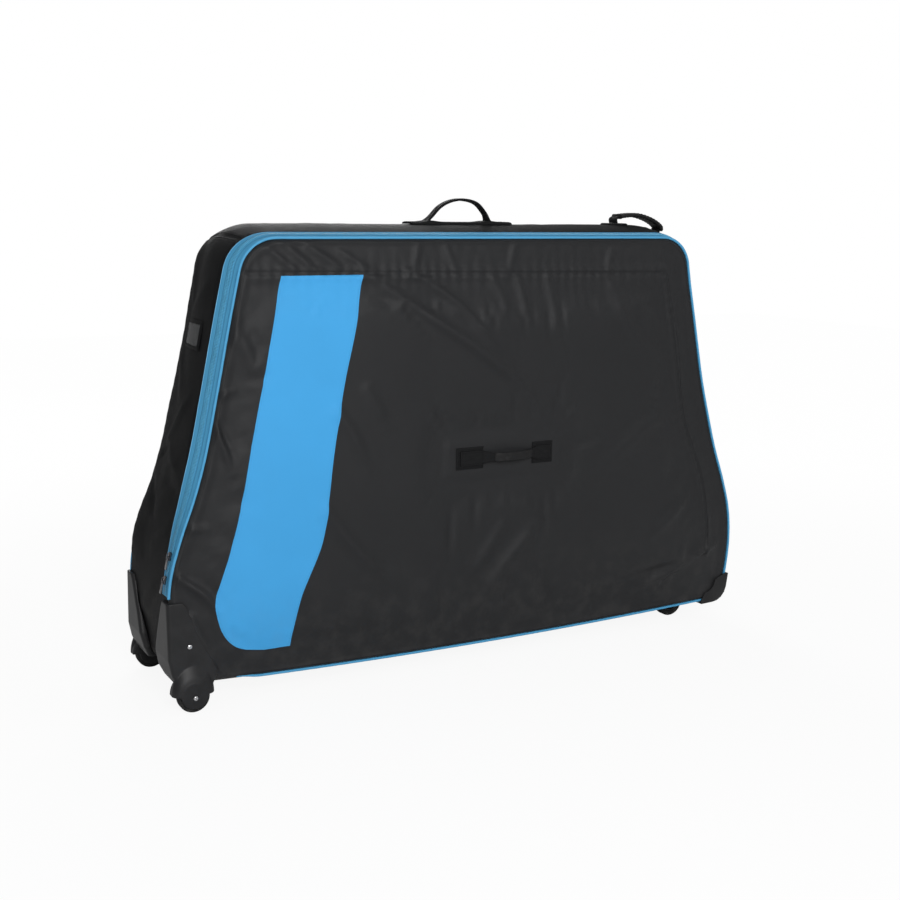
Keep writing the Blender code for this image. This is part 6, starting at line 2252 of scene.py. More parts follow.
    def _side(self) -> None:
        """The flat handle on the flap."""
        face = self.front.face
        low, high = self.side_z - self.patch_h / 2, self.side_z + self.patch_h / 2
        for word, (left, right) in zip(("left", "right"), self.patches):
            x, z = np.linspace(left, right, 25), np.linspace(low, high, 17)
            spots = np.stack(np.meshgrid(x, z), axis=-1)
            across, up = (spots[..., 0] - left) / (right - left), (spots[..., 1] - low) / (high - low)
            rim = np.minimum(plateau(across, 6), plateau(up, 5)) ** 0.5
            outer = face.points(spots, 0.0004 + (self.patch_t + SKIN_GAP) * (0.3 + 0.7 * rim))
            inner = face.points(spots, -SEWN_DEPTH)
            patch = make_shell(f"side_pad_{word}", outer, inner, spots, STRAP)
            ride(patch, Body.FLAP, Slot.BLACK, f"side_patch_{word}")
            inset = self.seam_inset
            corners = rectangle(left + inset, right - inset, low + inset, high - inset)
            raised = face.points(corners, self.patch_t + SKIN_GAP + 0.0004)
            self.stitches.box(raised, -ALONG_Y, Body.FLAP, cross=False)
        flat = self.face_y - self.patch_t - GAP
        left, right = self.side_ends
        start, end = self.patches[0][1], self.patches[1][0]
        middle, quarter = (start + end) / 2, (end - start) / 4
        lifted = flat - self.side_lift
        flank = mix(flat, lifted, 0.75)
        bends = (
            (left, flat), ((left + start) / 2, flat), (start, flat), (middle - quarter, flank),
            (middle, lifted), (middle + quarter, flank), (end, flat), ((right + end) / 2, flat),
            (right, flat),
        )
        path = smooth_path([(x, y, self.side_z) for x, y in bends], self.steps)
        path[:, 1] = np.minimum(path[:, 1], flat)

        def section(share: float) -> Array:
            folded = smooth_step(*self.side_fold_in, share) * smooth_step(*self.side_fold_out, -share)
            return strap_section(self.side_w * (1 - self.side_folded * folded), self.strap_t)

        webbing = make_tube("side_handle_webbing", strap_rings(path, ALONG_Z, section), STRAP)
        ride(webbing, Body.FLAP, Slot.BLACK, "side_strap")
        width, wall = self.side_w * (1 - self.side_folded), self.grip_wall * self.side_wall_share
        wrap = self._sleeve("side_handle_wrap", path, ALONG_Z, width, self.side_grip, wall)
        ride(wrap, Body.FLAP, Slot.RUBBER, "side_grip")
        half, inset = self.side_w / 2 - self.seam_inset, self.strap_inset
        for x0, x1 in ((left + inset, start - inset), (end + inset, right - inset)):
            x, z = rectangle(x0, x1, self.side_z - half, self.side_z + half).T
            corners = stacked(x, np.full(4, flat - self.strap_t), z)
            self.stitches.box(corners, -ALONG_Y, Body.FLAP)


@dataclass
class CardPocket:
    """The card pocket on the left end: bound frame, card and clear window."""

    form: BagForm
    stitches: StitchWork
    heights: Spot = (0.648, 0.702)
    half_width: float = 0.054
    thickness: float = 0.002
    margin: float = 0.008
    film_t: float = 0.0008

    def __post_init__(self) -> None:
        """Find where the pocket starts and ends along the outline."""
        self.start, self.end = sorted(self.form.left(z) for z in self.heights)

    def _strip(self, name: str, trim: float, finish: Finish, lift: float, thickness: float) -> Thing:
        """A flat strip on the left end, trimmed all round."""
        lengths = np.linspace(self.start + trim, self.end - trim, 17)
        half = self.half_width - trim
        y = np.linspace(-half, half, 33)
        places = self.form.at(lengths).spread(33)
        depth = np.broadcast_to(y, (17, 33))
        base = self.form.gusset_out(places, depth) + lift
        rim = plateau((y + half) / (2 * half), 14) * plateau(np.linspace(0, 1, 17)[:, None], 9)
        outer = places.lifted(base + thickness * (0.4 + 0.6 * rim), depth)
        cloth = stacked(depth, lengths[:, None])
        return make_shell(name, outer, places.lifted(base, depth), cloth, finish)

    def build(self) -> None:
        """Make the pocket, the card in it and its window."""
        pocket = self._strip("pocket_cloth", 0.0, BLACK_CLOTH, SKIN_GAP, self.thickness)
        ride(pocket, Body.BAG, Slot.BLACK, "card_pocket")
        over = SKIN_GAP + self.thickness
        card = self._strip("pocket_card", self.margin + 0.002, CARD, over - 0.0006, 0.0008)
        ride(card, Body.BAG, Slot.LINING)
        film = self._strip("pocket_window", self.margin, FILM, over + GAP, self.film_t)
        ride(film, Body.BAG, Slot.CLEAR, "card_window")
        inset = self.margin - 0.0025
        ends = (self.start + inset, self.end - inset)
        self.stitches.box_on_gusset(self.form, ends, self.half_width - inset, over, cross=False)


@dataclass
class Wheels:
    """Corner wheels and casters: tyres, hubs with ribs and their pins."""

    wheel: WheelPlaces
    rows: RowMaker
    hub_r: float = 0.0195
    axle_r: float = 0.0030
    head_r: float = 0.0046
    head_t: float = 0.0024
    outer_wall: float = 0.0045
    side_gap: float = 0.0012
    plate_proud: float = 0.0008
    caster_r: float = 0.0325
    caster_width: float = 0.022
    caster_hub_r: float = 0.0205
    caster_x: float = 0.539
    caster_y: float = 0.058039
    shoulder: float = 0.0042
    bead_ease: float = 0.0006
    groove: float = 0.0030
    groove_section: tuple[Spot, ...] = ((-0.0009, 0.0), (-0.0005, 0.0011), (0.0005, 0.0011), (0.0009, 0.0))
    ribs: int = 8
    rib_w: float = 0.0018

    def _tyre(self, name: str, inner: float, outer: float, width: float, centre: Sequence[float]) -> Thing:
        """A tyre with round shoulders and two grooves."""
        half, turn, ease = width / 2, self.shoulder, self.bead_ease
        profile = [(inner, -half + ease), (inner + ease, -half)]
        for angle in np.linspace(-math.pi / 2, 0, 7):
            profile.append((outer - turn + turn * math.cos(angle), -half + turn + turn * math.sin(angle)))
        for groove in (-self.groove, self.groove):
            profile += [(outer - dip, groove + step) for step, dip in self.groove_section]
        for angle in np.linspace(0, math.pi / 2, 7):
            profile.append((outer - turn + turn * math.cos(angle), half - turn + turn * math.sin(angle)))
        profile += [(inner + ease, half), (inner, half - ease)]
        return turned(name, profile, centre, TYRE_RUBBER, 72)

    def _hub(self, name: str, outer: float, width: float, centre: Sequence[float]) -> Thing:
        """A hub with a rim, a thin web and a boss, all with eased edges."""
        half = width / 2
        bore = self.axle_r + BORE_CLEARANCE
        boss, rim, web, ease = bore + 0.0032, outer - 0.0030, half * 0.45, 0.0005
        side = [
            (bore, -half + ease), (bore + ease, -half), (boss - ease, -half), (boss, -half + ease),
            (boss + 0.0006, -web), (rim - 0.0006, -web), (rim, -half + ease), (rim + ease, -half),
            (outer - ease, -half), (outer, -half + ease),
        ]
        return turned(name, side + [(r, -y) for r, y in reversed(side)], centre, SMOOTH_PLASTIC, 64)

    def _ribs(self, name: str, outer: float, centre: Sequence[float]) -> Thing:
        """Ribs from boss to rim on both faces of a hub."""
        half, count = self.wheel.width / 2, self.ribs
        low, high = self.axle_r + 0.0032, outer - 0.0028
        sections = ((-0.5, 1.0), (-0.2, 0.9), (0.2, 0.9), (0.5, 1.0))
        rib = small_loaf("rib", high - low, self.rib_w, half * 0.46, sections, True)
        middle = (low + high) / 2
        turn = np.linspace(0.0, TURN * (count - 1) / count, 40 * (count - 1) + 1)
        ring = stacked(np.cos(turn), np.zeros_like(turn), np.sin(turn)) * middle
        lines = [
            (np.array(centre) + ring + ALONG_Y * face * half * 0.68, np.tile(ALONG_Y * face, (len(turn), 1)))
            for face in (-1, 1)
        ]
        spacing = middle * TURN / count * 0.9999
        ribs = self.rows.lay(name, lines, rib, spacing, SMOOTH_PLASTIC)
        bpy.data.objects.remove(rib)
        return ribs

    def _pin(self, name: str, low: float, high: float, centre: Sequence[float]) -> Thing:
        """A pin with a domed and dimpled head at each end."""
        dome = ((0.30, 0.62), (0.42, 1.0), (0.70, 0.93), (0.92, 0.60), (1.0, 0.22), (1.0, 0.0))
        head = [(0.0006, self.head_t * 0.62), *((self.head_r * r, self.head_t * t) for r, t in dome)]
        head.append((self.axle_r, 0.0))
        profile = [(r, low - t) for r, t in head] + [(r, high + t) for r, t in reversed(head)]
        return turned(name, profile, centre, PLATED, 32, sharp=40)

    def build(self) -> None:
        """Make both corner wheels and both casters' wheels."""
        wheel = self.wheel
        for side, body, caster, caster_wheel in (
            (Side.FRONT, Body.WHEEL_FRONT, Body.CASTER_FRONT, Body.CASTER_WHEEL_FRONT),
            (Side.REAR, Body.WHEEL_REAR, Body.CASTER_REAR, Body.CASTER_WHEEL_REAR),
        ):
            word = side.word
            y = side.value * (wheel.housing_face_y - self.outer_wall - self.side_gap - wheel.width / 2)
            centre = (wheel.x, y, wheel.radius)
            tyre = self._tyre(f"tread_{word}", self.hub_r + GAP, wheel.radius, wheel.width, centre)
            ride(tyre, body, Slot.RUBBER, f"tyre_{word}")
            hub = self._hub(f"wheel_hub_{word}", self.hub_r, wheel.width, centre)
            ride(hub, body, Slot.PLASTIC, f"hub_{word}")
            ride(self._ribs(f"hub_ribs_{word}", self.hub_r, centre), body, Slot.PLASTIC)
            plates = (wheel.housing_inner_y - GAP, wheel.housing_face_y + self.plate_proud + GAP)
            ends = sorted(side.value * plate - y for plate in plates)
            pin = self._pin(f"wheel_pin_{word}", *ends, centre)
            ride(pin, Body.BAG, Slot.STEEL, f"wheel_axle_{word}")
            centre = (self.caster_x, side.value * self.caster_y, self.caster_r)
            bore = self.caster_hub_r + GAP
            tyre = self._tyre(f"caster_tread_{word}", bore, self.caster_r, self.caster_width, centre)
            ride(tyre, caster_wheel, Slot.RUBBER, f"caster_wheel_{word}")
            hub = self._hub(f"caster_hub_{word}", self.caster_hub_r, self.caster_width, centre)
            ride(hub, caster_wheel, Slot.PLASTIC)
            low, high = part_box(f"caster_axle_{word}")
            reach = (high.y - low.y) / 2 - self.head_t
            pin = self._pin(f"caster_pin_{word}", -reach, reach, centre)
            ride(pin, caster, Slot.STEEL, f"caster_axle_{word}")


@dataclass
class Fittings:
    """Guards, rivets, forks, tray, zip sliders and the inner stand."""

    BEVELLED = (
        ("corner_guard_front", "corner_cap_front", GUARD_PLASTIC, Slot.PLASTIC, 0.0005),
        ("corner_guard_rear", "corner_cap_rear", GUARD_PLASTIC, Slot.PLASTIC, 0.0005),
        ("caster_fork_front", "fork_plate_front", PLATED, Slot.STEEL, 0.0005),
        ("caster_fork_rear", "fork_plate_rear", PLATED, Slot.STEEL, 0.0005),
        ("caster_tray", "tray_moulding", GUARD_PLASTIC, Slot.PLASTIC, 0.0007),
        ("base_board", "base_stiffener", BOARD_PLASTIC, Slot.PLASTIC, 0.0015),
        ("stand_rail", "rail_extrusion", ANODISED, Slot.ALUMINIUM, 0.0008),
        ("fork_mount", "fork_bracket", ANODISED, Slot.ALUMINIUM, 0.0008),
        ("fork_axle", "fork_skewer", PLATED, Slot.STEEL, 0.0004),
        ("frame_cradle", "cradle_bracket", ANODISED, Slot.ALUMINIUM, 0.0008),
        ("cradle_pad", "cradle_cushion", GRIP_RUBBER, Slot.RUBBER, 0.0018),
        ("upper_slider", "upper_slider_body", DARK_METAL, Slot.STEEL, 0.0006),
        ("upper_pull", "upper_pull_tab", DARK_METAL, Slot.STEEL, 0.00035),
        ("lower_slider", "lower_slider_body", DARK_METAL, Slot.STEEL, 0.0006),
        ("lower_pull", "lower_pull_tab", DARK_METAL, Slot.STEEL, 0.00035),
    )
    moulding_grain: float = 0.0013
    moulding_rounds: int = 7

    def build(self) -> None:
        """Refine every rigid node that isn't turned on a lathe."""
        for side in Side:
            guard, name = f"wheel_guard_{side.word}", f"guard_moulding_{side.word}"
            moulded(guard, name, GUARD_PLASTIC, Slot.PLASTIC, self.moulding_grain, self.moulding_rounds)
            self._rivet(side.word)
        for node, name, finish, slot, width in self.BEVELLED:
            bevelled(node, name, finish, slot, width)

    @staticmethod
    def _rivet(word: str) -> None:
        """A guard's domed rivet with a dimple."""
        low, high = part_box(f"guard_rivet_{word}")
        radius, middle = (high.x - low.x) / 2, (low + high) / 2
        side = -1 if middle.y < 0 else 1
        foot = low.y if side > 0 else high.y
        tall = (high.y - low.y) * side
        dome = [
            (0.0004, 0.0), (radius, 0.0), (radius, 0.30), (radius * 0.86, 0.62), (radius * 0.62, 0.86),
            (radius * 0.40, 0.98), (radius * 0.30, 1.0), (radius * 0.24, 0.66), (0.0004, 0.60),
        ]
        profile = [(r, t * tall) for r, t in dome]
        piece = turned(f"rivet_head_{word}", profile, (middle.x, foot, middle.z), PLATED, 32, sharp=35)
        ride(piece, Body.BAG, Slot.STEEL, f"guard_rivet_{word}")


@dataclass
class Lining:
    """Quilted foam lining on the inside of a panel."""

    face: PanelFace
    name: str
    node: str
    body: Body
    low_z: float | None = None
    skin: float = 0.0065
    thickness: float = 0.0080
    reach: float = 0.92
    quilt: float = 0.118
    press_cap: float = 0.0045
    rows: int = 157
    columns: int = 241
    skip: int = 4
    seam_w: float = 0.0035
    rim_w: float = 0.020

    def build(self) -> None:
        """Make the lining, puffed up between its quilting seams."""
        form, side = self.face.form, self.face.side.value
        source = self.face.edge
        rows = np.linspace(0, len(source) - 1, self.rows)
        edge = np.stack([np.interp(rows, np.arange(len(source)), source[:, k]) for k in (0, 1)], axis=1)
        edge = form.centre + (edge - form.centre) * self.reach
        if self.low_z is not None:
            z = np.linspace(self.low_z, edge[-1, 1], self.rows)
            edge = stacked(np.interp(z, edge[:, 1], edge[:, 0]), z)
        across = np.linspace(-1.0, 1.0, self.columns)
        spots = stacked(edge[:, :1] * across, np.repeat(edge[:, 1:], self.columns, axis=1))
        share = np.clip(form.edge_share(spots), 0.0, 1.0)
        outer_face = form.half_depth + form.panel_t / 2 + self.face.crown * (1 - share**4)
        rim = self._rim(edge, across)
        seams = self._seams(spots)
        plain = outer_face - self.skin - self.thickness * (0.30 + 0.38 * rim) + 0.0016 * seams * rim
        puff = self._puffed(spots, plain, rim, seams)
        inside = plain - np.clip(puff, -0.0004, self.thickness * 0.42)
        visible, hidden = (
            stacked(spots[..., 0], side * y, spots[..., 1])
            for y in (inside, outer_face - self.skin - 0.0002)
        )
        piece = make_shell(self.name, visible, hidden, spots, LINING)
        ride(piece, self.body, Slot.LINING, self.node)

    def _rim(self, edge: Array, across: Array) -> Array:
        """Nothing at the lining's bound edge and one a little inside it."""
        sides = smooth_step(0.0, self.rim_w, (1 - np.abs(across)) * edge[:, :1])
        height = np.minimum(edge[:, 1] - edge[0, 1], edge[-1, 1] - edge[:, 1])
        return sides * smooth_step(0.0, self.rim_w, height)[:, None]

    def _gap(self, spots: Array) -> Array:
        """How far spots are from the nearest of the quilting's slanting seams."""
        levels = [(spots[..., 0] + way * spots[..., 1]) / (self.quilt * math.sqrt(2)) for way in (1, -1)]
        return np.minimum(*(np.abs(level - np.round(level)) * self.quilt for level in levels))

    def _seams(self, spots: Array) -> Array:
        """One on the quilting's seams, nothing between them."""
        return np.exp(-((self._gap(spots) / self.seam_w) ** 2))

    def _puffed(self, spots: Array, plain: Array, rim: Array, seams: Array) -> Array:
        """How far air pressure puffs the cloth up between its seams."""
        skip = self.skip
        points = stacked(spots[..., 0], plain, spots[..., 1])[::skip, ::skip]
        wide = 1 - smooth_step(0.006, 0.014, self._gap(spots))
        held = np.maximum(wide, 1 - rim)[::skip, ::skip]
        moved = pressed_relief(points, held, self.press_cap, 5.0, 0.030)
        return resampled(np.abs(moved), self.rows, self.columns) * (1 - seams * 0.8)


@dataclass
class Seamwork:
    """Top-stitching along the panels' seams, the stripe's edges and the gusset's edges."""

    form: BagForm
    front: FrontCloth
    back: BackCloth
    gusset: GussetCloth
    stitches: StitchWork
    inset: float = 0.0045

    rim_share: float = 0.9835
    rim_start_x: float = -0.52
    rim_end_z: float = 0.23
    edge_end_z: float = 0.24
    edge_inset: float = 0.005
    stripe_inset: float = 0.0035

    def build(self) -> None:
        """Sew every seam that shows."""
        panels = ((self.front.face, None), (self.back.face, Body.BAG))
        for face, body in panels:
            self._panel_seams(face, body)
        self._stripe()
        for face, body in panels:
            self._panel_rim(face, body)
        self._gusset_edges()

    def _on_face(self, face: PanelFace, spots: Array, thread: Thread, body: Body | None, lift: float) -> None:
        """One row of stitches through spots on a panel's face."""
        line = evenly(spots, 0.004)
        self.stitches.sew(face.points(line, lift), face.normals(line), thread, body)

    def _panel_seams(self, face: PanelFace, body: Body | None) -> None:
        """A row beside each of a panel's seams."""
        for seam in face.seams:
            line = seam.line()
            along = unit(np.gradient(line, axis=0))
            off = stacked(-along[:, 1], along[:, 0]) * self.inset
            self._on_face(face, line + off, Thread.BLACK, body, 0.0)

    def _panel_rim(self, face: PanelFace, body: Body | None) -> None:
        """A row just inside a panel's piping."""
        form = self.form
        start, end = form.left_of_bottom(self.rim_start_x) - form.perimeter, form.left(self.rim_end_z)
        places = form.at(np.linspace(start, end, 700))
        spots = form.centre + (places.point - form.centre) * self.rim_share
        self._on_face(face, spots, Thread.BLACK, body, 0.0)

    def _stripe(self) -> None:
        """Blue rows down both edges of the stripe."""
        share = np.linspace(0.012, 0.988, 240)
        for right, inset in ((False, self.stripe_inset), (True, -self.stripe_inset)):
            inside = self.front.stripe_edge(share, right) + (inset, 0.0)
            self._on_face(self.front.face, inside, Thread.BLUE, None, self.front.stripe_t)

    def _on_gusset(self, lengths: Array, y: Array) -> None:
        """One row of black stitches over the gusset, at running lengths and depths."""
        places = self.form.at(lengths)
        out = self.gusset.out(lengths, y[:, None])[:, 0]
        self.stitches.sew(places.lifted(out, y), places.facing, Thread.BLACK, Body.BAG)

    def _gusset_edges(self) -> None:
        """Rows beside the zip, beside the rear piping and along the cross seams."""
        form, inset = self.form, self.edge_inset
        lengths = np.linspace(form.crossing(1, self.edge_end_z), form.left(self.edge_end_z), 900)
        _, front = form.gusset_front(form.at(lengths))
        self._on_gusset(lengths, front + inset)
        self._on_gusset(lengths, np.full(lengths.shape, form.edge_y - inset))
        for seam in (self.gusset.right_shoulder, self.gusset.left_shoulder):
            for offset in (-inset, inset):
                here = np.full(60, seam + offset)
                _, front = form.gusset_front(form.at(here))
                self._on_gusset(here, np.linspace(float(front[0]) + 0.008, form.edge_y - 0.008, 60))


@dataclass
class Studio:
    """The floor, the softboxes, the pale surroundings and the camera."""

    camera_place: Triple = (-1.3078, -2.3685, 0.9114)
    yaw: float = 0.50316
    pitch: float = 0.18076
    roll: float = 0.01067
    focal_px: float = 1315.06
    sensor_mm: float = 36.0
    floor_size: float = 14.0
    surround: float = 0.34
    near_share: float = 0.91
    far_share: float = 0.99
    near_reach: float = 0.9
    far_reach: float = 2.6
    aim: Triple = (0.0, 0.0, 0.40)
    softboxes: tuple[tuple[str, Triple, float, float], ...] = (
        ("key_light", (-1.0, -3.3, 1.9), 1.3, 92.0), ("right_light", (3.2, -1.8, 2.2), 1.8, 14.0),
        ("top_light", (0.3, 0.8, 3.4), 2.2, 8.0), ("back_light", (0.9, 3.4, 2.0), 1.8, 60.0),
    )

    def build(self) -> None:
        """Put up everything that isn't part of the bag."""
        self._camera()
        self._surroundings()
        self._floor()
        for name, place, size, power in self.softboxes:
            self._softbox(name, place, size, power)
        bpy.context.scene.view_settings.view_transform = "Standard"

    def _camera(self) -> None:
        """The camera at the photograph's viewing angle."""
        ahead = Vector((
            math.sin(self.yaw) * math.cos(self.pitch),
            math.cos(self.yaw) * math.cos(self.pitch),
            -math.sin(self.pitch),
        ))
        level = Vector((math.cos(self.yaw), -math.sin(self.yaw), 0.0))
        upright = level.cross(ahead)
        right = level * math.cos(self.roll) + upright * math.sin(self.roll)
        up = upright * math.cos(self.roll) - level * math.sin(self.roll)
        data = bpy.data.cameras.new("camera")
        data.sensor_width = self.sensor_mm
        data.lens = self.focal_px * self.sensor_mm / IMAGE_SIDE_PX
        camera = linked("camera", data)
        turn = Matrix((right, up, -ahead)).transposed().to_4x4()
        camera.matrix_world = Matrix.Translation(self.camera_place) @ turn
        bpy.context.scene.camera = camera

    def _surroundings(self) -> None:
        """A world that looks white and lights softly."""
        world = bpy.data.worlds.new("surroundings")
        world.use_nodes = True
        tree = world.node_tree
        rays = tree.nodes.new("ShaderNodeLightPath")
        seen = tree.nodes.new("ShaderNodeMath")
        seen.operation = "MAXIMUM"
        tree.links.new(rays.outputs["Is Camera Ray"], seen.inputs[0])
        tree.links.new(rays.outputs["Is Transmission Ray"], seen.inputs[1])
        level = tree.nodes.new("ShaderNodeMapRange")
        level.inputs["To Min"].default_value = self.surround
        tree.links.new(seen.outputs[0], level.inputs["Value"])
        backdrop = tree.nodes["Background"]
        backdrop.inputs["Color"].default_value = (1.0, 1.0, 1.0, 1.0)
        tree.links.new(level.outputs["Result"], backdrop.inputs["Strength"])
        bpy.context.scene.world = world

    def _floor(self) -> None:
        """A plain pale floor that keeps the bag's shadow."""
        half = self.floor_size / 2
        mesh = bpy.data.meshes.new("floor")
        corners = rectangle(-half, half, -half, half).tolist()
        mesh.from_pydata([(*corner, 0.0) for corner in corners], [], [(0, 1, 2, 3)])
        shader = Shader("floor_paper")
        tree = shader.tree
        rays = shader.add("ShaderNodeLightPath")
        seen = shader.math("MAXIMUM", Value(shader, rays.outputs["Is Camera Ray"]), 0.0)
        glow = shader.add("ShaderNodeEmission", None, {"Color": (1.0, 1.0, 1.0), "Strength": 1.0})
        shader.finish(Base_Color=(0.86, 0.86, 0.86), Roughness=0.9, Specular_IOR_Level=0.1)
        x, y, _ = shader.split(shader.place())
        reach = (x * x + y * y) ** 0.5
        share = reach.rise(self.near_reach, self.far_reach, self.near_share, self.far_share)
        blend = shader.add("ShaderNodeMixShader", None, {0: seen * share})
        tree.links.new(shader.surface.outputs[0], blend.inputs[1])
        tree.links.new(glow.outputs[0], blend.inputs[2])
        tree.links.new(blend.outputs[0], tree.nodes["Material Output"].inputs["Surface"])
        mesh.materials.append(shader.material)
        linked("floor", mesh)

    def _softbox(self, name: str, place: Triple, size: float, power: float) -> None:
        """A square softbox that faces the bag."""
        data = bpy.data.lights.new(name, "AREA")
        data.shape = "SQUARE"
        data.size = size
        data.energy = power
        lamp = linked(name, data)
        ahead = Vector(self.aim) - Vector(place)
        lamp.matrix_world = Matrix.Translation(place) @ ahead.to_track_quat("-Z", "Y").to_matrix().to_4x4()


FRONT_SEAMS = (
    Seam(((-0.499, 0.796), (-0.266, 0.793), (0.025, 0.789), (0.436, 0.784)), pucker=0.0011),
    Seam(((0.443, 0.781), (0.481, 0.610), (0.499, 0.473), (0.555, 0.341), (0.576, 0.225), (0.573, 0.156))),
)
FRONT_FOLDS = (
    Fold(((-0.266, 0.791), (-0.193, 0.743), (-0.129, 0.703), (-0.040, 0.647), (0.053, 0.578),
          (0.113, 0.514), (0.145, 0.450)), 0.0086, 0.0144, 0.55, 0.5, 0.2),
    Fold(((-0.172, 0.789), (-0.130, 0.770), (-0.064, 0.726), (-0.018, 0.680), (0.028, 0.624)),
         0.0062, 0.0105, 0.5, 0.7, 0.0),
    Fold(((0.071, 0.776), (0.080, 0.735), (0.091, 0.687)), 0.0043, 0.0086, 0.0, 0.9, 0.0),
    Fold(((0.142, 0.780), (0.152, 0.720), (0.160, 0.654)), 0.0039, 0.01, 0.0, 0.9, 0.0),
    Fold(((0.014, 0.777), (0.030, 0.745), (0.050, 0.708)), 0.0039, 0.0086, 0.0, 0.9, 0.0),
    Fold(((-0.452, 0.837), (-0.405, 0.802)), 0.0046, 0.0072, 0.3, 0.7, 0.7),
    Fold(((-0.423, 0.848), (-0.366, 0.801)), 0.0049, 0.0079, 0.3, 0.7, 0.7),
    Fold(((-0.375, 0.842), (-0.316, 0.805)), 0.0049, 0.0079, 0.3, 0.7, 0.7),
    Fold(((-0.311, 0.832), (-0.266, 0.805)), 0.0039, 0.0079, 0.3, 0.7, 0.7),
    Fold(((-0.146, 0.847), (-0.162, 0.803)), 0.0036, 0.0079, 0.0, 0.7, 0.7),
    Fold(((-0.087, 0.840), (-0.073, 0.799)), 0.0033, 0.0072, 0.0, 0.7, 0.7),
    Fold(((0.064, 0.840), (0.048, 0.791)), 0.0036, 0.0079, 0.0, 0.7, 0.7),
    Fold(((0.299, 0.834), (0.282, 0.788)), 0.0036, 0.0079, 0.0, 0.7, 0.7),
    Fold(((-0.560, 0.570), (-0.522, 0.586)), 0.0055, 0.0072, 0.3, 0.8, 0.4),
    Fold(((-0.575, 0.550), (-0.560, 0.534), (-0.543, 0.483), (-0.530, 0.436)), 0.0086, 0.0086, 0.4, 0.8, 0.3),
    Fold(((-0.551, 0.529), (-0.529, 0.477)), -0.0061, 0.0064, 0.0, 0.9, 0.3),
    Fold(((-0.616, 0.342), (-0.579, 0.338)), 0.0049, 0.0079, 0.0, 0.8, 0.4),
    Fold(((-0.632, 0.251), (-0.618, 0.240), (-0.586, 0.214), (-0.564, 0.183)), 0.0086, 0.0086, 0.4, 0.8, 0.3),
    Fold(((-0.611, 0.175), (-0.589, 0.125), (-0.552, 0.061)), 0.0061, 0.0086, 0.0, 0.8, 0.4),
    Fold(((-0.516, 0.680), (-0.456, 0.587)), 0.0049, 0.0144, 0.0, 0.8, 0.3),
    Fold(((-0.524, 0.724), (-0.479, 0.633)), 0.0042, 0.0129, 0.0, 0.8, 0.3),
    Fold(((-0.328, 0.537), (-0.297, 0.493), (-0.266, 0.423)), 0.0055, 0.0129, 0.3, 0.8, 0.2),
    Fold(((-0.349, 0.348), (-0.298, 0.279), (-0.213, 0.189)), 0.0061, 0.0144, 0.3, 0.8, 0.2),
    Fold(((-0.266, 0.576), (-0.224, 0.507)), 0.0039, 0.0129, 0.0, 0.8, 0.2),
    Fold(((0.119, 0.285), (0.037, 0.199), (-0.032, 0.092)), 0.0071, 0.0158, 0.3, 0.6, 0.3),
    Fold(((0.035, 0.283), (-0.033, 0.187)), 0.0043, 0.0129, 0.0, 0.7, 0.3),
    Fold(((0.600, 0.176), (0.476, 0.134), (0.342, 0.089)), 0.0077, 0.0115, 0.3, 0.9, 0.2),
    Fold(((0.573, 0.156), (0.434, 0.139), (0.353, 0.132)), -0.0055, 0.0086, 0.0, 0.9, 0.2),
    Fold(((0.496, 0.279), (0.417, 0.220)), 0.0049, 0.0129, 0.0, 0.8, 0.2),
    Fold(((0.440, 0.500), (0.330, 0.420), (0.240, 0.350)), 0.0043, 0.0187, 0.0, 0.6, 0.2),
    Fold(((0.300, 0.760), (0.330, 0.690), (0.400, 0.600)), 0.0039, 0.0158, 0.0, 0.8, 0.2),
)
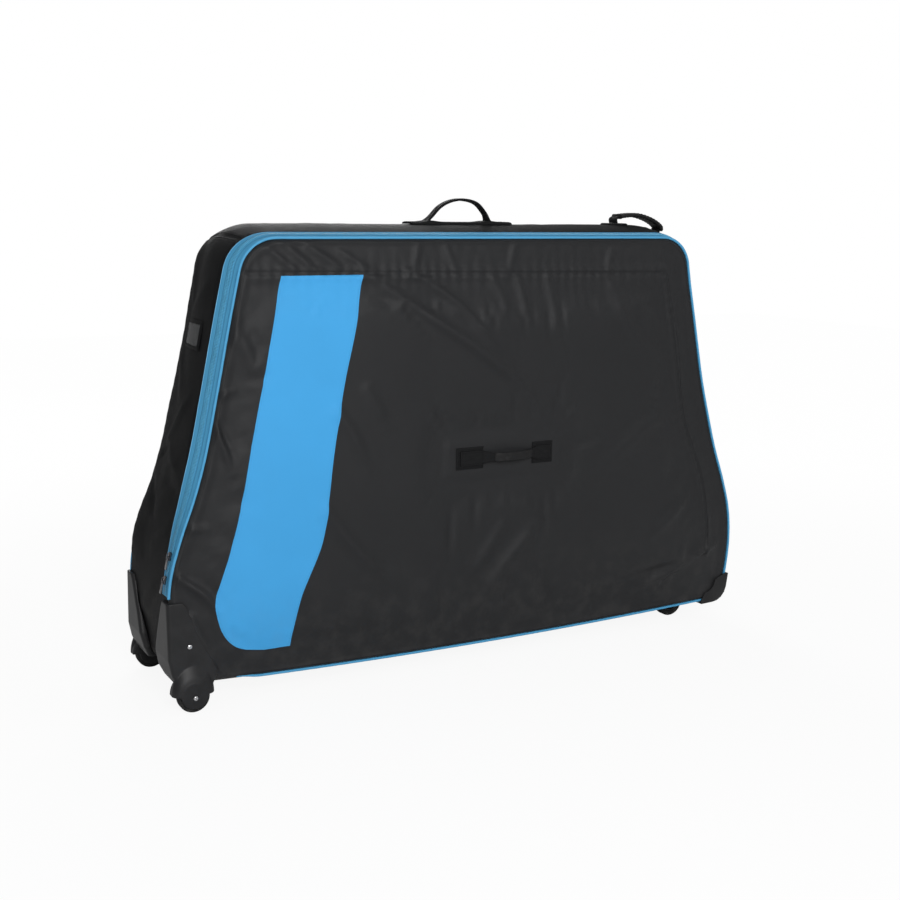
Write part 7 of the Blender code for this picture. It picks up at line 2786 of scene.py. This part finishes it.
BACK_FOLDS = (
    Fold(((0.430, 0.790), (0.300, 0.690), (0.120, 0.600), (0.020, 0.500)), 0.0065, 0.0172, 0.4, 0.6, 0.1),
    Fold(((-0.480, 0.760), (-0.380, 0.640), (-0.300, 0.500)), 0.0053, 0.0172, -0.3, 0.7, 0.1),
    Fold(((-0.560, 0.300), (-0.440, 0.250), (-0.300, 0.230)), 0.0049, 0.0140, 0.3, 0.8, 0.1),
    Fold(((0.600, 0.250), (0.480, 0.170), (0.360, 0.130)), 0.0057, 0.0140, 0.3, 0.8, 0.1),
    Fold(((0.060, 0.330), (-0.060, 0.220), (-0.110, 0.120)), 0.0038, 0.0172, 0.3, 0.6, 0.2),
    Fold(((-0.080, 0.800), (-0.060, 0.730), (-0.020, 0.660)), 0.0030, 0.0125, 0.0, 0.8, 0.0),
    Fold(((0.210, 0.800), (0.200, 0.730), (0.230, 0.650)), 0.0029, 0.0125, 0.0, 0.8, 0.0),
    Fold(((0.560, 0.520), (0.500, 0.470), (0.470, 0.400)), 0.0046, 0.0109, 0.3, 0.8, 0.2),
)
BACK_SEAMS = (Seam(((0.499, 0.796), (0.200, 0.792), (-0.200, 0.792), (-0.499, 0.796))),)


def main() -> None:
    """Build the bag's classes in order."""
    form, wheel = BagForm(), WheelPlaces()
    Studio().build()
    handle_flat = ((-0.085, 0.398), (0.165, 0.458))
    front_face = PanelFace(form, Side.FRONT, 0.018, FRONT_FOLDS, FRONT_SEAMS, (handle_flat,), seed=7)
    back_face = PanelFace(form, Side.REAR, 0.012, BACK_FOLDS, BACK_SEAMS, (), seed=19, press_cap=0.0026)
    rows = RowMaker()
    stitches = StitchWork(rows)
    front = FrontCloth(form, wheel, front_face)
    back = BackCloth(form, wheel, back_face)
    gusset = GussetCloth(form, wheel)
    parts = [
        front, back, gusset,
        PipingCord(form, front),
        ZipBand(form, front, rows, stitches),
        Seamwork(form, front, back, gusset, stitches),
        Handles(form, front, rows, stitches),
        CardPocket(form, stitches),
        Wheels(wheel, rows),
        Fittings(),
        Lining(front_face, "flap_lining", "flap_padding", Body.FLAP, low_z=0.236),
        Lining(back_face, "back_lining", "back_padding", Body.BAG),
    ]
    for part in parts:
        LOG.info("building %s", type(part).__name__)
        part.build()
    stitches.build(front)


if __name__ == "__main__":
    logging.basicConfig(level=logging.INFO, format="%(message)s")
    main()
